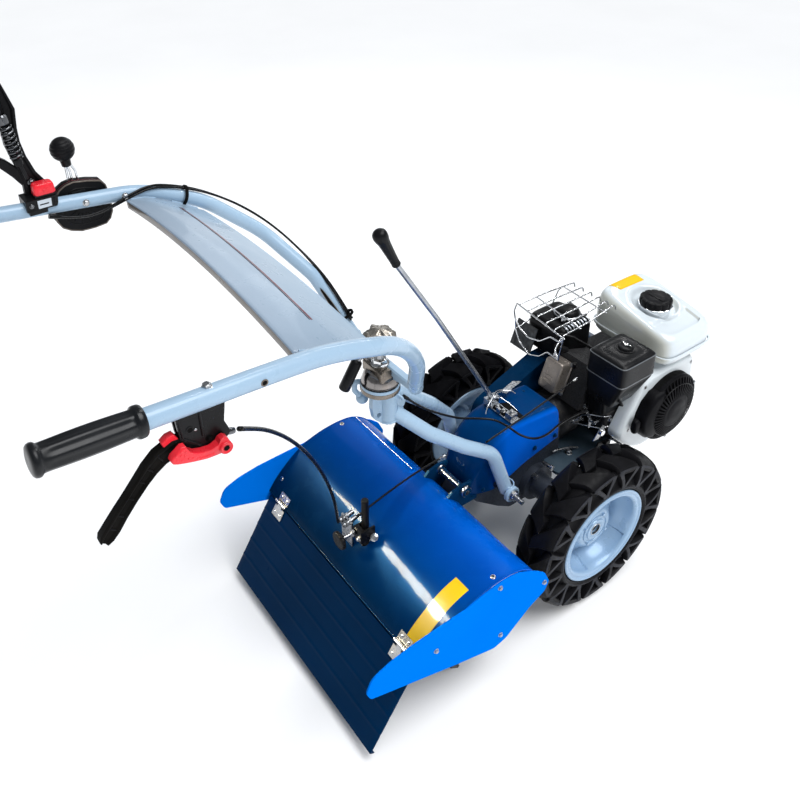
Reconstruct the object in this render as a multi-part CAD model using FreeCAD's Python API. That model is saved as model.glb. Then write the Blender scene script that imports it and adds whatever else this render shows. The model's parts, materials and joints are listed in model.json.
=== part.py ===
import FreeCAD, Part
import math, os

V = FreeCAD.Vector
os.makedirs("parts", exist_ok=True)

# ---------------------------------------------------------------------------
# Driving dimensions, millimetres.  X to the machine's right, Y forward,
# Z up, floor at Z = 0, origin under the middle of the whole machine.
# The working frame below has Y = 0 on the wheel axle; OY moves it so that
# the origin lies under the middle of the overall length.
# ---------------------------------------------------------------------------
OY = 329.0                 # axle line ahead of the origin
WHEEL_R = 200.0            # 4.00-8 size wheel over the lugs
TRACK = 222.0              # middle of each tyre from the centre plane
TYRE_W = 88.0
RIM_IN = -12.0             # wheel disc plane, inboard of the tyre's middle
RIM_R = 121.0              # rim flange radius
AXLE_Z = 200.0

HOOD_HW = 288.0            # outer faces of the hood's side plates
SIDE_T = 3.0
SHEET_T = 2.5
FLAP_HW = 276.0

ROTOR_Y = -355.0           # tine rotor axis
ROTOR_Z = 160.0
TINE_R = 143.0
TINE_HW = 250.0            # half of the working width

SPUR_X = 20.0              # depth spur
SPUR_Y = -473.0
SPUR_R = 8.0

SWIVEL_Y = -417.0          # vertical swivel axis of the handlebar
SWIVEL_Z = 664.0
BAR_OD = 26.5              # handlebar tube
MAST_OD = 31.0             # mast tubes
GRIP_R = 18.0

CRANK_Y = 299.0            # engine crankshaft
CRANK_Z = 353.0


def P(x, y, z):
    return V(x, y + OY, z)


nodes = {}


def put(name, shape):
    nodes[name] = shape


def solid_of(s):
    if len(s.Solids) == 1:
        return s.Solids[0]
    return s


# ----------------------------- helpers -------------------------------------
def rounded(points, radii, closed):
    """Wire of straight runs joined by tangent arcs of the given radii."""
    n = len(points)
    if not isinstance(radii, (list, tuple)):
        radii = [radii] * n
    ends = []
    for i in range(n):
        b = points[i]
        if not closed and i in (0, n - 1):
            ends.append((b, None, b))
            continue
        a = points[i - 1]
        c = points[(i + 1) % n]
        u = a.sub(b)
        w = c.sub(b)
        lu, lw = u.Length, w.Length
        u.normalize()
        w.normalize()
        ang = u.getAngle(w)
        r = radii[i]
        if r <= 0 or abs(math.pi - ang) < 1e-3:
            ends.append((b, None, b))
            continue
        t = r / math.tan(ang / 2)
        lim = 0.48 * min(lu, lw)
        if t > lim:
            t = lim
            r = t * math.tan(ang / 2)
        bis = u.add(w)
        bis.normalize()
        ctr = b.add(bis.multiply(r / math.sin(ang / 2)))
        p1 = b.add(V(u).multiply(t))
        p2 = b.add(V(w).multiply(t))
        m = b.sub(ctr)
        m.normalize()
        mid = ctr.add(m.multiply(r))
        ends.append((p1, mid, p2))
    edges = []
    rng = range(n) if closed else range(n)
    for i in rng:
        p1, mid, p2 = ends[i]
        if mid is not None:
            edges.append(Part.Arc(p1, mid, p2).toShape())
        if closed or i < n - 1:
            q = ends[(i + 1) % n][0]
            if p2.distanceToPoint(q) > 1e-6:
                edges.append(Part.LineSegment(p2, q).toShape())
    return Part.Wire(edges)


def tube(points, radii, od):
    """Solid rod of diameter od along straight runs and tangent arcs."""
    w = rounded(points, radii, False)
    d = points[1].sub(points[0])
    c = Part.Wire([Part.makeCircle(od / 2.0, points[0], d)])
    s = w.makePipeShell([c], True, False)
    if s.ShapeType != "Solid":
        s = solid_of(s)
    return s


def prism_x(pts, x0, x1, r=0):
    w = rounded([P(x0, y, z) for y, z in pts], r, True)
    return Part.Face(w).extrude(V(x1 - x0, 0, 0))


def prism_y(pts, y0, y1, r=0):
    w = rounded([P(x, y0, z) for x, z in pts], r, True)
    return Part.Face(w).extrude(V(0, y1 - y0, 0))


def prism_z(pts, z0, z1, r=0):
    w = rounded([P(x, y, z0) for x, y in pts], r, True)
    return Part.Face(w).extrude(V(0, 0, z1 - z0))


def box(x0, x1, y0, y1, z0, z1, r=0):
    b = Part.makeBox(x1 - x0, y1 - y0, z1 - z0, P(x0, y0, z0))
    if r > 0:
        b = b.makeFillet(r, b.Edges)
    return b


def cyl(p, d, r, h):
    return Part.makeCylinder(r, h, p, d)


def rod(a, b, r):
    d = b.sub(a)
    return Part.makeCylinder(r, d.Length, a, d)


def turned_x(profile, y, z):
    """Revolve an (x, radius) outline about the axis parallel to X at y, z."""
    w = Part.makePolygon([P(x, y, z + r) for x, r in profile] + [P(profile[0][0], y, z + profile[0][1])])
    return Part.Face(w).revolve(P(0, y, z), V(1, 0, 0), 360)


def turned_z(profile, x, y):
    """Revolve a (radius, z) outline about a vertical axis."""
    w = Part.makePolygon([P(x + r, y, z) for r, z in profile] + [P(x + profile[0][0], y, profile[0][1])])
    return Part.Face(w).revolve(P(x, y, 0), V(0, 0, 1), 360)


def fuse(parts):
    s = parts[0]
    if len(parts) > 1:
        s = s.fuse(parts[1:])
        s = s.removeSplitter()
    return s


def group(parts):
    return Part.makeCompound(parts)


def rot_x(s, y, z, deg):
    t = s.copy()
    t.rotate(P(0, y, z), V(1, 0, 0), deg)
    return t


# ----------------------------- wheels --------------------------------------
def wheel(sign, side):
    def mt(pts):
        return [(sign * (TRACK + x), r) for x, r in pts]

    def mx(pts):
        return [(sign * (TRACK + RIM_IN + x), r) for x, r in pts]

    hw = TYRE_W / 2
    tyre = turned_x(mt([(-hw + 12, 108.5), (-hw + 3, 124), (-hw, 150), (-hw + 1, 170), (-hw + 4, 186), (-hw + 12, 194),
                        (-hw + 24, WHEEL_R - 1.5), (0, WHEEL_R), (hw - 24, WHEEL_R - 1.5), (hw - 12, 194),
                        (hw - 4, 186), (hw - 1, 170), (hw, 150), (hw - 3, 124), (hw - 10, 108.5)]), 0, AXLE_Z)
    # one-piece pressed rim: barrel with a well, outer flange, dished disc
    barrel = turned_x(mx([(-28, 119), (-25.5, 121), (-23, 119), (-22, 109), (-18, 105), (-14, 104), (-10, 92),
                          (14, 92), (20, 104), (38, 105), (46, 109), (49, 119), (51, RIM_R), (53.5, RIM_R), (54.5, 118),
                          (52, 105), (44, 100.5), (25, 99.5), (18, 87.5), (-13, 87.5), (-18, 99.5), (-21, 100.5),
                          (-26, 104.5), (-28, 112)]), 0, AXLE_Z)
    disc = turned_x(mx([(-10, 90), (-6, 90), (2, 74), (8, 66), (22, 50), (26, 44), (26, 17), (22, 17), (22, 42),
                        (16, 48), (4, 63), (-4, 72)]), 0, AXLE_Z)
    hub = turned_x(mx([(-98, 27), (-20, 27), (-14, 34), (24, 34), (26, 26), (26, 13), (-98, 13)]), 0, AXLE_Z)
    rim = fuse([barrel, disc, hub])
    put("tyre_" + side, tyre.cut(rim))
    # half shaft through the hub with its cross bolt
    shaft = cyl(P(sign * 111, 0, AXLE_Z), V(sign, 0, 0), 12.7, 128)
    bolt = cyl(P(sign * 127, 0, AXLE_Z - 36), V(0, 0, 1), 5, 72)
    hd = cyl(P(sign * 127, 0, AXLE_Z + 28), V(0, 0, 1), 8, 7)
    rim = rim.cut(cyl(P(sign * 127, 0, AXLE_Z - 60), V(0, 0, 1), 5.2, 120))
    put("rim_" + side, group([rim, fuse([shaft, bolt, hd]).cut(rim)]))


wheel(-1, "left")
wheel(1, "right")

# ----------------------------- transmission --------------------------------
case = prism_x([(76, 225), (78, 262), (70, 352), (30, 386), (-110, 386), (-178, 352), (-196, 300), (-186, 238),
                (-110, 176), (-70, 150), (30, 150), (66, 178)], -44, 44, 16)
housing_l = cyl(P(-106, 0, AXLE_Z), V(1, 0, 0), 30, 70)
housing_r = cyl(P(36, 0, AXLE_Z), V(1, 0, 0), 30, 70)
flange_l = cyl(P(-62, 0, AXLE_Z), V(1, 0, 0), 46, 20)
flange_r = cyl(P(42, 0, AXLE_Z), V(1, 0, 0), 46, 20)
lug = cyl(P(-69.5, -136, 281), V(1, 0, 0), 14, 139)
put("gearbox_case", fuse([case, housing_l, housing_r, flange_l, flange_r, lug]))

# blue pressed cover over the transmission: flat top, sloping flanks, rounded tail
cover_o = prism_x([(46, 408), (-88, 418), (-150, 404), (-196, 358), (-214, 300), (-208, 268), (-150, 268), (-60, 300), (46, 322)],
                  -67, 67, [4, 60, 60, 60, 40, 6, 20, 40, 4])
flank = prism_y([(-40, 432), (40, 432), (55, 398), (63, 330), (66, 250), (-66, 250), (-63, 330), (-55, 398)], -230, 60,
                [0, 0, 22, 30, 0, 0, 30, 22])
cover = cover_o.common(flank).cut(cyl(P(-80, -136, 281), V(1, 0, 0), 14.4, 160))
core = prism_x([(78, 225), (82, 262), (74, 356), (30, 390), (-112, 390), (-182, 356), (-200, 300), (-190, 236), (-110, 172)],
               -46, 46, 14)
put("gearbox_cover", solid_of(cover.cut(core)))

# shift gate on the cover's top: plate and pivot of the gear lever
gate = fuse([box(-44, 44, -92, -66, 417.5, 421, 0), box(-42, -26, -96, -64, 421, 440, 3), box(22, 40, -90, -70, 421, 436, 3)])
LEV0 = (-34, -80, 438)
LEV1 = (-34, -352, 882)
LEV2 = (-34, -388, 953)
lever = tube([P(*LEV0), P(-34, -250, 722), P(*LEV1), P(*LEV2)], [0, 150, 150, 0], 11)
put("gear_lever", fuse([lever, gate]))
gd = P(*LEV2).sub(P(*LEV1))
gd.normalize()
g0 = P(*LEV1)
grip = Part.makeCone(8, 12, 74, g0, gd)
bulb = Part.makeSphere(14.5, g0.add(V(gd).multiply(80)))
put("gear_lever_grip", fuse([grip, bulb]).cut(lever))

# belt guard on the left, from the input shaft up to the engine's pulley
guard = prism_x([(-58, 300), (-42, 348), (24, 376), (134, 415), (300, 418), (352, 392), (366, 353), (352, 314),
                 (300, 292), (150, 264), (20, 248), (-44, 258)], -128, -80, [30, 30, 60, 60, 60, 50, 60, 50, 60, 60, 60, 30])
put("belt_guard", guard)

# engine bed: bent plate bolted to the front of the gearbox case
bed = prism_z([(-74, 50), (104, 20), (86, 236), (82, 404), (-74, 404)], 236, 244, [10, 18, 30, 14, 14])
web_l = box(-60, -52, 50, 330, 214, 236, 0)
web_r = box(52, 60, 50, 330, 214, 236, 0)
nose = box(-60, 60, 79, 90, 205, 236, 0)
put("engine_bed", fuse([bed, web_l, web_r, nose]).cut(nodes["gearbox_case"]))

# ----------------------------- engine --------------------------------------
crank = prism_x([(212, 244.2), (392, 244.2), (402, 300), (396, 421), (262, 421), (222, 384), (198, 290)], -78, 116,
                [8, 8, 20, 20, 30, 30, 20])
barrel = rot_x(box(-40, 57, CRANK_Y - 178, CRANK_Y - 60, CRANK_Z - 54, CRANK_Z + 56, 0), CRANK_Y, CRANK_Z, -20)
put("engine_block", fuse([crank, barrel]))
vc = rot_x(box(-54, 30, CRANK_Y - 216, CRANK_Y - 179, CRANK_Z - 46, CRANK_Z + 50, 9), CRANK_Y, CRANK_Z, -20)
put("valve_cover", vc)

shroud = fuse([cyl(P(116.5, CRANK_Y, CRANK_Z), V(1, 0, 0), 100, 33),
               prism_x([(222, 350), (228, 440), (258, 462), (392, 458), (398, 350)], 116.5, 149.5, [0, 20, 20, 20, 0]),
               prism_x([(216, 296), (236, 250), (360, 250), (384, 296)], 116.5, 149.5, [0, 16, 16, 0])])
shroud.translate(V(0, 4.5, 2))
put("fan_shroud", shroud)
rs = turned_x([(149.8, 89), (172, 89), (184, 84), (191, 74), (191, 0), (149.8, 0)], CRANK_Y, CRANK_Z)
neck = prism_x([(204, 330), (196, 352), (204, 374), (240, 384), (240, 320)], 149.8, 180, [0, 14, 0, 0, 0])
sh = prism_x([(180, 330), (194, 334), (194, 370), (180, 374), (174, 352)], 156, 174, [5, 4, 4, 5, 10])
starter = fuse([rs, neck, sh])
starter.translate(V(0, 4.5, 2))
put("recoil_starter", starter)

# fuel tank: top slopes down towards the fan side, seam flange round its foot
tank_b = prism_y([(-62, 476), (162, 476), (166, 546), (-50, 588), (-62, 560)], 262, 433, 0)
tank = tank_b.makeFillet(20, tank_b.Edges)
rim_t = prism_z([(-66, 257), (168, 257), (168, 438), (-66, 438)], 496, 502, 24)
filler = cyl(P(58, 338, 545), V(0, 0, 1), 34, 29)
put("fuel_tank", fuse([tank, rim_t, filler]))
put("tank_cap", fuse([cyl(P(58, 338, 574.2), V(0, 0, 1), 30, 9), cyl(P(58, 338, 583), V(0, 0, 1), 33, 11)]))

ac = box(60, 165, 111, 225, 420, 549, 0)
ac = ac.makeFillet(16, ac.Edges)
ac_low = box(66, 114, 128, 196, 372, 440, 8)
put("air_cleaner", fuse([ac, ac_low, cyl(P(112, 168, 548), V(0, 0, 1), 17, 9)]))

carb = fuse([box(72, 113, 146, 194, 322, 371.5, 5), cyl(P(96, 172, 300), V(0, 0, 1), 17, 26), box(104, 140, 176, 188, 300, 348, 3)])
put("carburettor", carb)

muf = box(-160, -42, 147, 256, 424, 515, 0)
muf = muf.makeFillet(10, muf.Edges)
ex_pipe = tube([P(-64, 172, 428), P(-64, 172, 396), P(-38, 180, 384)], [0, 12, 0], 24)
shield = prism_x([(116, 424), (119, 423), (142, 488), (139, 489)], -178, -112, 0)
put("muffler", fuse([muf, ex_pipe, shield, box(-158, -132, 128, 150, 458, 462, 0)]).cut(nodes["engine_block"]))

# wire guard over the muffler: lengthwise bars on two cross bars, with legs
GX0, GX1, GY0, GY1, GZ = -128, 14, 79, 256, 576
bars = []
for i in range(6):
    x = GX0 + (GX1 - GX0) * i / 5.0
    bars.append(tube([P(x, GY0, GZ - 60), P(x, GY0, GZ), P(x, GY1, GZ), P(x, GY1, GZ - 14)], [0, 9, 6, 0], 4.2))
for y in (GY0 + 24, GY1 - 30):
    bars.append(rod(P(GX0 - 6, y, GZ - 4), P(GX1 + 6, y, GZ - 4), 2.1))
bars.append(rod(P(GX0 - 5, GY0, GZ - 34), P(GX1 + 5, GY0, GZ - 34), 2.1))
bars.append(rod(P(GX0 - 5, GY0, GZ - 60), P(GX1 + 5, GY0, GZ - 60), 2.1))
for x in (GX0, GX1):
    bars.append(rod(P(x, GY0, GZ - 60), P(-54 if x > -60 else -148, 148, GZ - 74), 2.1))
guard_w = bars[0]
for b in bars[1:]:
    guard_w = guard_w.fuse(b)
put("muffler_guard", guard_w.cut(nodes["muffler"]))

# ----------------------------- tiller drive --------------------------------
drive = prism_x([(-186, 330), (-236, 250), (-318, 204), (-404, 186), (-404, 130), (-330, 110), (-250, 150), (-186, 236)],
                -21, 21, [0, 30, 20, 46, 46, 30, 30, 0])
drive = fuse([drive, cyl(P(-30, ROTOR_Y, ROTOR_Z), V(1, 0, 0), 42, 60)])
put("tiller_drive_case", drive.cut(nodes["gearbox_case"]).cut(nodes["gearbox_cover"]))

# rotor: hexagonal-section shaft as a round, with four flanges
rotor_parts = []
for s in (-1, 1):
    a, b = (32.0, TINE_HW - 12)
    x0 = a if s > 0 else -b
    rotor_parts.append(cyl(P(x0, ROTOR_Y, ROTOR_Z), V(1, 0, 0), 17, b - a))
    fl = [cyl(P(s * 34 if s > 0 else -46, ROTOR_Y, ROTOR_Z), V(1, 0, 0), 34, 12)]
    for fx in (96, 166, 236):
        x = s * fx
        fl.append(cyl(P(x - 3, ROTOR_Y, ROTOR_Z), V(1, 0, 0), 52, 6))
    rotor_parts[-1] = fuse([rotor_parts[-1]] + fl)
put("rotor_shaft", group(rotor_parts))


def tine(x, side, ang):
    """Curved blade: flat shank bolted to a flange, foot turned along the axis."""
    t = 6.0
    shank = Part.Face(rounded([P(x, ROTOR_Y - 15, ROTOR_Z + 24), P(x, ROTOR_Y + 15, ROTOR_Z + 24),
                               P(x, ROTOR_Y + 20, ROTOR_Z + 84), P(x, ROTOR_Y + 4, ROTOR_Z + 128),
                               P(x, ROTOR_Y - 22, ROTOR_Z + 134), P(x, ROTOR_Y - 14, ROTOR_Z + 84)],
                              [4, 4, 30, 12, 10, 30], True)).extrude(V(side * t, 0, 0))
    foot = Part.Face(rounded([P(x, ROTOR_Y - 22, ROTOR_Z + 134), P(x, ROTOR_Y + 4, ROTOR_Z + 128),
                              P(x, ROTOR_Y + 5, ROTOR_Z + 133.5), P(x, ROTOR_Y - 20, ROTOR_Z + 140)],
                             [0, 0, 0, 0], True)).extrude(V(side * 34, 0, 0))
    s = shank.fuse(foot)
    s.rotate(P(0, ROTOR_Y, ROTOR_Z), V(1, 0, 0), ang)
    return s


for s, side in ((-1, "left"), (1, "right")):
    blades = []
    for k, fx in enumerate((96, 166, 236)):
        for j in range(2):
            if fx == 236:
                sd = -1
            else:
                sd = 1 if j == 0 else -1
            xf = s * fx + s * sd * 3.2
            blades.append(tine(xf, s * sd, 180 * j + 60 * k + (30 if s > 0 else 0) + (8 if fx == 236 else 0)))
    put("tines_" + side, group(blades))

# ----------------------------- hood ----------------------------------------
shell_prof = [(-536, 211), (-520, 233), (-500, 254), (-472, 278), (-445, 297), (-416, 309), (-382, 317.5), (-344, 321),
              (-315, 319.5), (-293, 314), (-266, 298), (-242, 272), (-226, 238)]


def offset_profile(pts, d):
    out = []
    for i, (y, z) in enumerate(pts):
        a = pts[max(i - 1, 0)]
        b = pts[min(i + 1, len(pts) - 1)]
        ty, tz = b[0] - a[0], b[1] - a[1]
        l = math.hypot(ty, tz)
        out.append((y + d * tz / l, z - d * ty / l))
    return out


inner_prof = offset_profile(shell_prof, SHEET_T)


def curve_x(x, pts):
    c = Part.BSplineCurve()
    c.interpolate([P(x, y, z) for y, z in pts])
    return c.toShape()


SHX = HOOD_HW - SIDE_T - 0.2
eo = curve_x(-SHX, shell_prof)
ei = curve_x(-SHX, inner_prof[::-1])
w = Part.Wire([eo, Part.LineSegment(P(-SHX, *shell_prof[-1]), P(-SHX, *inner_prof[-1])).toShape(), ei,
               Part.LineSegment(P(-SHX, *inner_prof[0]), P(-SHX, *shell_prof[0])).toShape()])
shell = Part.Face(w).extrude(V(2 * SHX, 0, 0))
slot = cyl(P(SPUR_X, SPUR_Y, 200), V(0, 0, 1), SPUR_R + 3, 160)
notch = box(-26, 26, -262, -200, 200, 262, 0)
shell = shell.cut(slot).cut(notch)
put("hood_shell", shell)

side_prof = [(-664, 247), (-650, 279), (-610, 293), (-560, 300), (-500, 302), (-462, 303), (-432, 303), (-400, 311),
             (-382, 314.5), (-344, 318), (-316, 316.5), (-294, 311), (-268, 296), (-238, 276), (-216, 256), (-200, 222), (-210, 197),
             (-250, 176), (-312, 125), (-344, 117), (-438, 147), (-561, 190), (-654, 223)]
side_r = [18, 30, 60, 60, 60, 30, 30, 40, 20, 20, 20, 20, 30, 20, 20, 16, 18, 30, 24, 24, 60, 60, 16]
side_l = prism_x(side_prof, -HOOD_HW, -HOOD_HW + SIDE_T, side_r)
side_rr = prism_x(side_prof, HOOD_HW - SIDE_T, HOOD_HW, side_r)
put("hood_side_left", side_l)
put("hood_side_right", side_rr)

# bracket and pin joining the hood to the gearbox
# solid filling the space under the hood's outer skin, used to seat fittings on it
ew = curve_x(-320, shell_prof)
uw = Part.Wire([ew, Part.LineSegment(P(-320, *shell_prof[-1]), P(-320, -226, 90)).toShape(),
                Part.LineSegment(P(-320, -226, 90), P(-320, -536, 90)).toShape(),
                Part.LineSegment(P(-320, -536, 90), P(-320, *shell_prof[0])).toShape()])
under = Part.Face(uw).extrude(V(640, 0, 0))
# bracket: two cheeks from the cover's tail to the hood's front slope, with a pin
hpin = fuse([cyl(P(-38, -229, 305), V(1, 0, 0), 8, 96), cyl(P(58, -229, 305), V(1, 0, 0), 11, 5)])
ck = [(-280, 300), (-262, 316), (-232, 322), (-190, 318), (-190, 258), (-240, 258)]
hb = fuse([prism_x(ck, -34, -28, [0, 6, 8, 0, 0, 0]), prism_x(ck, 46, 52, [0, 6, 8, 0, 0, 0]), hpin])
hb = hb.cut(under).cut(nodes["gearbox_cover"]).cut(nodes["gearbox_case"]).cut(nodes["tiller_drive_case"])
put("hood_bracket", max(hb.Solids, key=lambda q: q.Volume))

# ----------------------------- depth spur ----------------------------------
foot = prism_x([(-520, 26), (-512, 8), (-492, 0), (-448, 0), (-436, 6), (-426, 22), (-431, 26), (-443, 13), (-452, 8), (-488, 8), (-504, 15), (-513, 29)],
               SPUR_X - 16, SPUR_X + 16, [0, 14, 20, 20, 14, 0, 0, 8, 8, 14, 8, 0])
bar = cyl(P(SPUR_X, SPUR_Y, 6), V(0, 0, 1), SPUR_R, 389)
put("depth_spur", fuse([foot, bar]))
clamp = prism_z([(4, -496), (36, -496), (36, -452), (29.5, -452), (29.5, -483), (10.5, -483), (10.5, -452), (4, -452)], 262, 326, 0).cut(under)
put("depth_clamp", fuse([clamp, cyl(P(10, -495, 306), V(0, -1, 0), 4, 29), cyl(P(10, -523, 306), V(0, -1, 0), 16, 15)]))

# cable anchor on the hood with its two adjusters
adj1 = cyl(P(-24, -508.5, 318.5), V(0, 1, 0.2), 5, 36)
adj2 = cyl(P(-8, -510, 318.7), V(0, 1, 0.2), 5, 34)
put("cable_anchor", fuse([box(-34, 3.8, -497, -493, 240, 326, 0).cut(under), adj1, adj2]))

# ----------------------------- rear flap and hinges ------------------------
HY, HZ = -539.6, 216.2
fd = (-113 / 216.0, -184 / 216.0)          # down along the flap
fn = (-0.852, 0.523)                       # outward normal (rear and up)
top = (-540.5, 206.5)
L = 213.0
bot = (top[0] + fd[0] * L, top[1] + fd[1] * L)
flap = prism_x([top, (top[0] - fn[0] * SHEET_T, top[1] - fn[1] * SHEET_T), (bot[0] - fn[0] * SHEET_T, bot[1] - fn[1] * SHEET_T), bot],
               -FLAP_HW, FLAP_HW, 0)
lip = prism_x([bot, (bot[0] - fn[0] * 12, bot[1] - fn[1] * 12), (bot[0] - fn[0] * 12 - fd[0] * 2.5, bot[1] - fn[1] * 12 - fd[1] * 2.5),
               (bot[0] - fd[0] * 2.5, bot[1] - fd[1] * 2.5)], -FLAP_HW, FLAP_HW, 0)
put("rear_flap", fuse([flap, lip]))
fixed, moving = [], []
for s in (-1, 1):
    x0 = s * 227 - 18
    # leaf on the hood
    sd = (16 / 27.2, 22 / 27.2)
    sn = (-22 / 27.2, 16 / 27.2)
    a = (shell_prof[0][0] + sd[0] * 3 + sn[0] * 0.3, shell_prof[0][1] + sd[1] * 3 + sn[1] * 0.3)
    leaf = prism_x([a, (a[0] + sd[0] * 22, a[1] + sd[1] * 22), (a[0] + sd[0] * 22 + sn[0] * 2, a[1] + sd[1] * 22 + sn[1] * 2),
                    (a[0] + sn[0] * 2, a[1] + sn[1] * 2)], x0, x0 + 36, 0)
    k1 = cyl(P(x0, HY, HZ), V(1, 0, 0), 4, 10)
    k2 = cyl(P(x0 + 26, HY, HZ), V(1, 0, 0), 4, 10)
    leaf = leaf.cut(under).cut(cyl(P(x0 + 9.4, HY, HZ), V(1, 0, 0), 6, 17.2))
    fixed.append(fuse([leaf, k1.cut(under), k2.cut(under)]))
    b = (top[0] + fd[0] * 2 + fn[0] * 0.0, top[1] + fd[1] * 2)
    leaf2 = prism_x([b, (b[0] + fd[0] * 26, b[1] + fd[1] * 26), (b[0] + fd[0] * 26 + fn[0] * 2, b[1] + fd[1] * 26 + fn[1] * 2),
                     (b[0] + fn[0] * 2, b[1] + fn[1] * 2)], x0, x0 + 36, 0)
    kk = cyl(P(x0 + 10.6, HY, HZ), V(1, 0, 0), 4, 14.8)
    bridge = prism_x([(HY - 3, HZ - 1), (HY + 1, HZ - 3.4), (b[0] + fd[0] * 6 + 0.6, b[1] + fd[1] * 6), (b[0] + fd[0] * 6 + fn[0] * 2, b[1] + fd[1] * 6 + fn[1] * 2)],
                     x0 + 10.6, x0 + 25.4, 0)
    moving.append(fuse([leaf2, kk, bridge]).cut(nodes["rear_flap"]))
put("hood_hinges", group(fixed))
put("flap_hinges", group(moving))

# ----------------------------- mast ----------------------------------------
mast_l = tube([P(-1, -383, 626), P(-34, -262, 510), P(-76, -172, 404), P(-87, -136, 281)], [0, 120, 45, 0], MAST_OD)
mast_r = tube([P(4, -390, 578), P(40, -322, 508), P(62, -248, 450), P(77, -176, 402), P(87, -136, 281)], [0, 60, 80, 60, 0], MAST_OD)
neck_m = cyl(P(0, -399, 562), V(0, 0, 1), 19, 86)
ear = prism_x([(-439, 627), (-434, 641), (-381, 632), (-358, 597), (-363, 577), (-388, 573), (-404, 559), (-418, 562), (-435, 579),
               (-440, 606)], -6, 6, [5, 5, 12, 12, 12, 14, 10, 10, 10, 20])
ear_hole = cyl(P(-30, -425, 586), V(1, 0, 0), 5.5, 60)
ear = ear.cut(ear_hole)
mast_l = mast_l.cut(nodes["gearbox_cover"]).cut(nodes["gearbox_case"])
mast_r = mast_r.cut(nodes["gearbox_cover"]).cut(nodes["gearbox_case"])
put("mast_tube_left", mast_l.cut(neck_m).cut(ear))
put("mast_tube_right", mast_r.cut(neck_m).cut(ear).cut(mast_l))
lock_lever = fuse([tube([P(-24, -432, 654), P(-38, -450, 652), P(-40, -450, 630), P(-36, -436, 608)], [0, 8, 12, 0], 11),
                   Part.makeSphere(12.5, P(-36, -435, 607))])
put("mast_head", fuse([neck_m, ear, cyl(P(0, SWIVEL_Y, 646), V(0, 0, 1), 38, 17), lock_lever]))
studs = []
for s in (-1, 1):
    studs.append(fuse([cyl(P(s * 66, -136, 281), V(s, 0, 0), 6, 74), cyl(P(s * 104.5, -136, 281), V(s, 0, 0), 19, 4),
                       cyl(P(s * 108, -136, 281), V(s, 0, 0), 10, 9)]))
studs_cut = [st.cut(mast_l).cut(mast_r).cut(lug) for st in studs]
put("mast_studs", group([max(st.Solids, key=lambda q: q.Volume) for st in studs_cut]))

# ----------------------------- handlebar -----------------------------------
dome = turned_z([(0, 663.8), (36, 663.8), (37, 667), (30, 688), (18, 698), (0, 700)], 0, SWIVEL_Y)
cross = fuse([box(-100, 100, -412, -394, 688, 706, 0), box(-30, 30, -436, -394, 680, 706, 0)])
spindle = cyl(P(0, SWIVEL_Y, 690), V(0, 0, 1), 8, 52)
nut = cyl(P(0, SWIVEL_Y, 699), V(0, 0, 1), 15, 16)
put("swivel_head", fuse([dome, cross, spindle, nut]))
knob = turned_z([(0, 742), (20, 742), (34, 752), (35, 766), (26, 782), (10, 787), (0, 787)], 0, SWIVEL_Y)
put("clamp_knob", knob)
hnd = tube([P(-18, -424, 706), P(-21, -436, 722), P(-22, -452, 716), P(-24, -476, 674)], [0, 8, 8, 0], 9)
gripr = rod(P(-22.5, -455, 711), P(-24.6, -485, 658), 11)
put("locking_handle", fuse([hnd.cut(dome).cut(nut).cut(cross), gripr]))


def bar_points(s):
    return [P(s * 317.4, -1090, 1074), P(s * 302, -718, 1040), P(s * 284, -611, 997), P(s * 241, -516, 919), P(s * 159, -456, 837),
            P(s * 96, -406, 707)]


BAR_RADII = [0, 260, 180, 140, 70, 0]
bar_hole = cyl(P(280, -819, 1049.2), V(1, 0, 0), 3.25, 60)
for s, side in ((-1, "left"), (1, "right")):
    b = tube(bar_points(s), BAR_RADII, BAR_OD)
    put("handlebar_" + side, b.cut(cross).cut(bar_hole))

# sheet panel across the two tubes, crowned between them, lips folded down
PAN = [(-752.6, 1041, 277, 21), (-722, 1034, 285, 21), (-690, 1022, 283, 19), (-654, 1004, 277, 17), (-619, 984, 270, 16)]   # y, side z, half width, crown


def pan_z(y, x):
    for (y0, z0, h0, c0), (y1, z1, h1, c1) in zip(PAN[:-1], PAN[1:]):
        if y0 <= y <= y1 + 1e-9:
            t = (y - y0) / (y1 - y0)
            h = h0 + (h1 - h0) * t
            return z0 + (z1 - z0) * t + (c0 + (c1 - c0) * t) * (1 - (x / h) ** 2)


grid = []
for (y, z, h, c) in PAN:
    grid.append([P(h * k / 6.0, y, z + c * (1 - (k / 6.0) ** 2)) for k in range(-6, 7)])
bs = Part.BSplineSurface()
bs.interpolate(grid)
sheet = bs.toShape().extrude(V(0, 0, -SHEET_T))
sheet = solid_of(sheet)


def lip_bar(row, y0, y1, drop):
    y, z, h, c = PAN[row]
    upper = [(h * k / 8.0, z + c * (1 - (k / 8.0) ** 2) - 0.6) for k in range(-8, 9)]
    lower = [(x * 0.985, q - drop) for x, q in upper[::-1]]
    return prism_y(upper + lower, y0, y1, 0)


panel = fuse([sheet, lip_bar(0, -752.6, -750.1, 15), lip_bar(4, -621.5, -619, 14)])
panel = panel.cut(nodes["handlebar_left"]).cut(nodes["handlebar_right"])
put("handlebar_panel", max(panel.Solids, key=lambda q: q.Volume))

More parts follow.
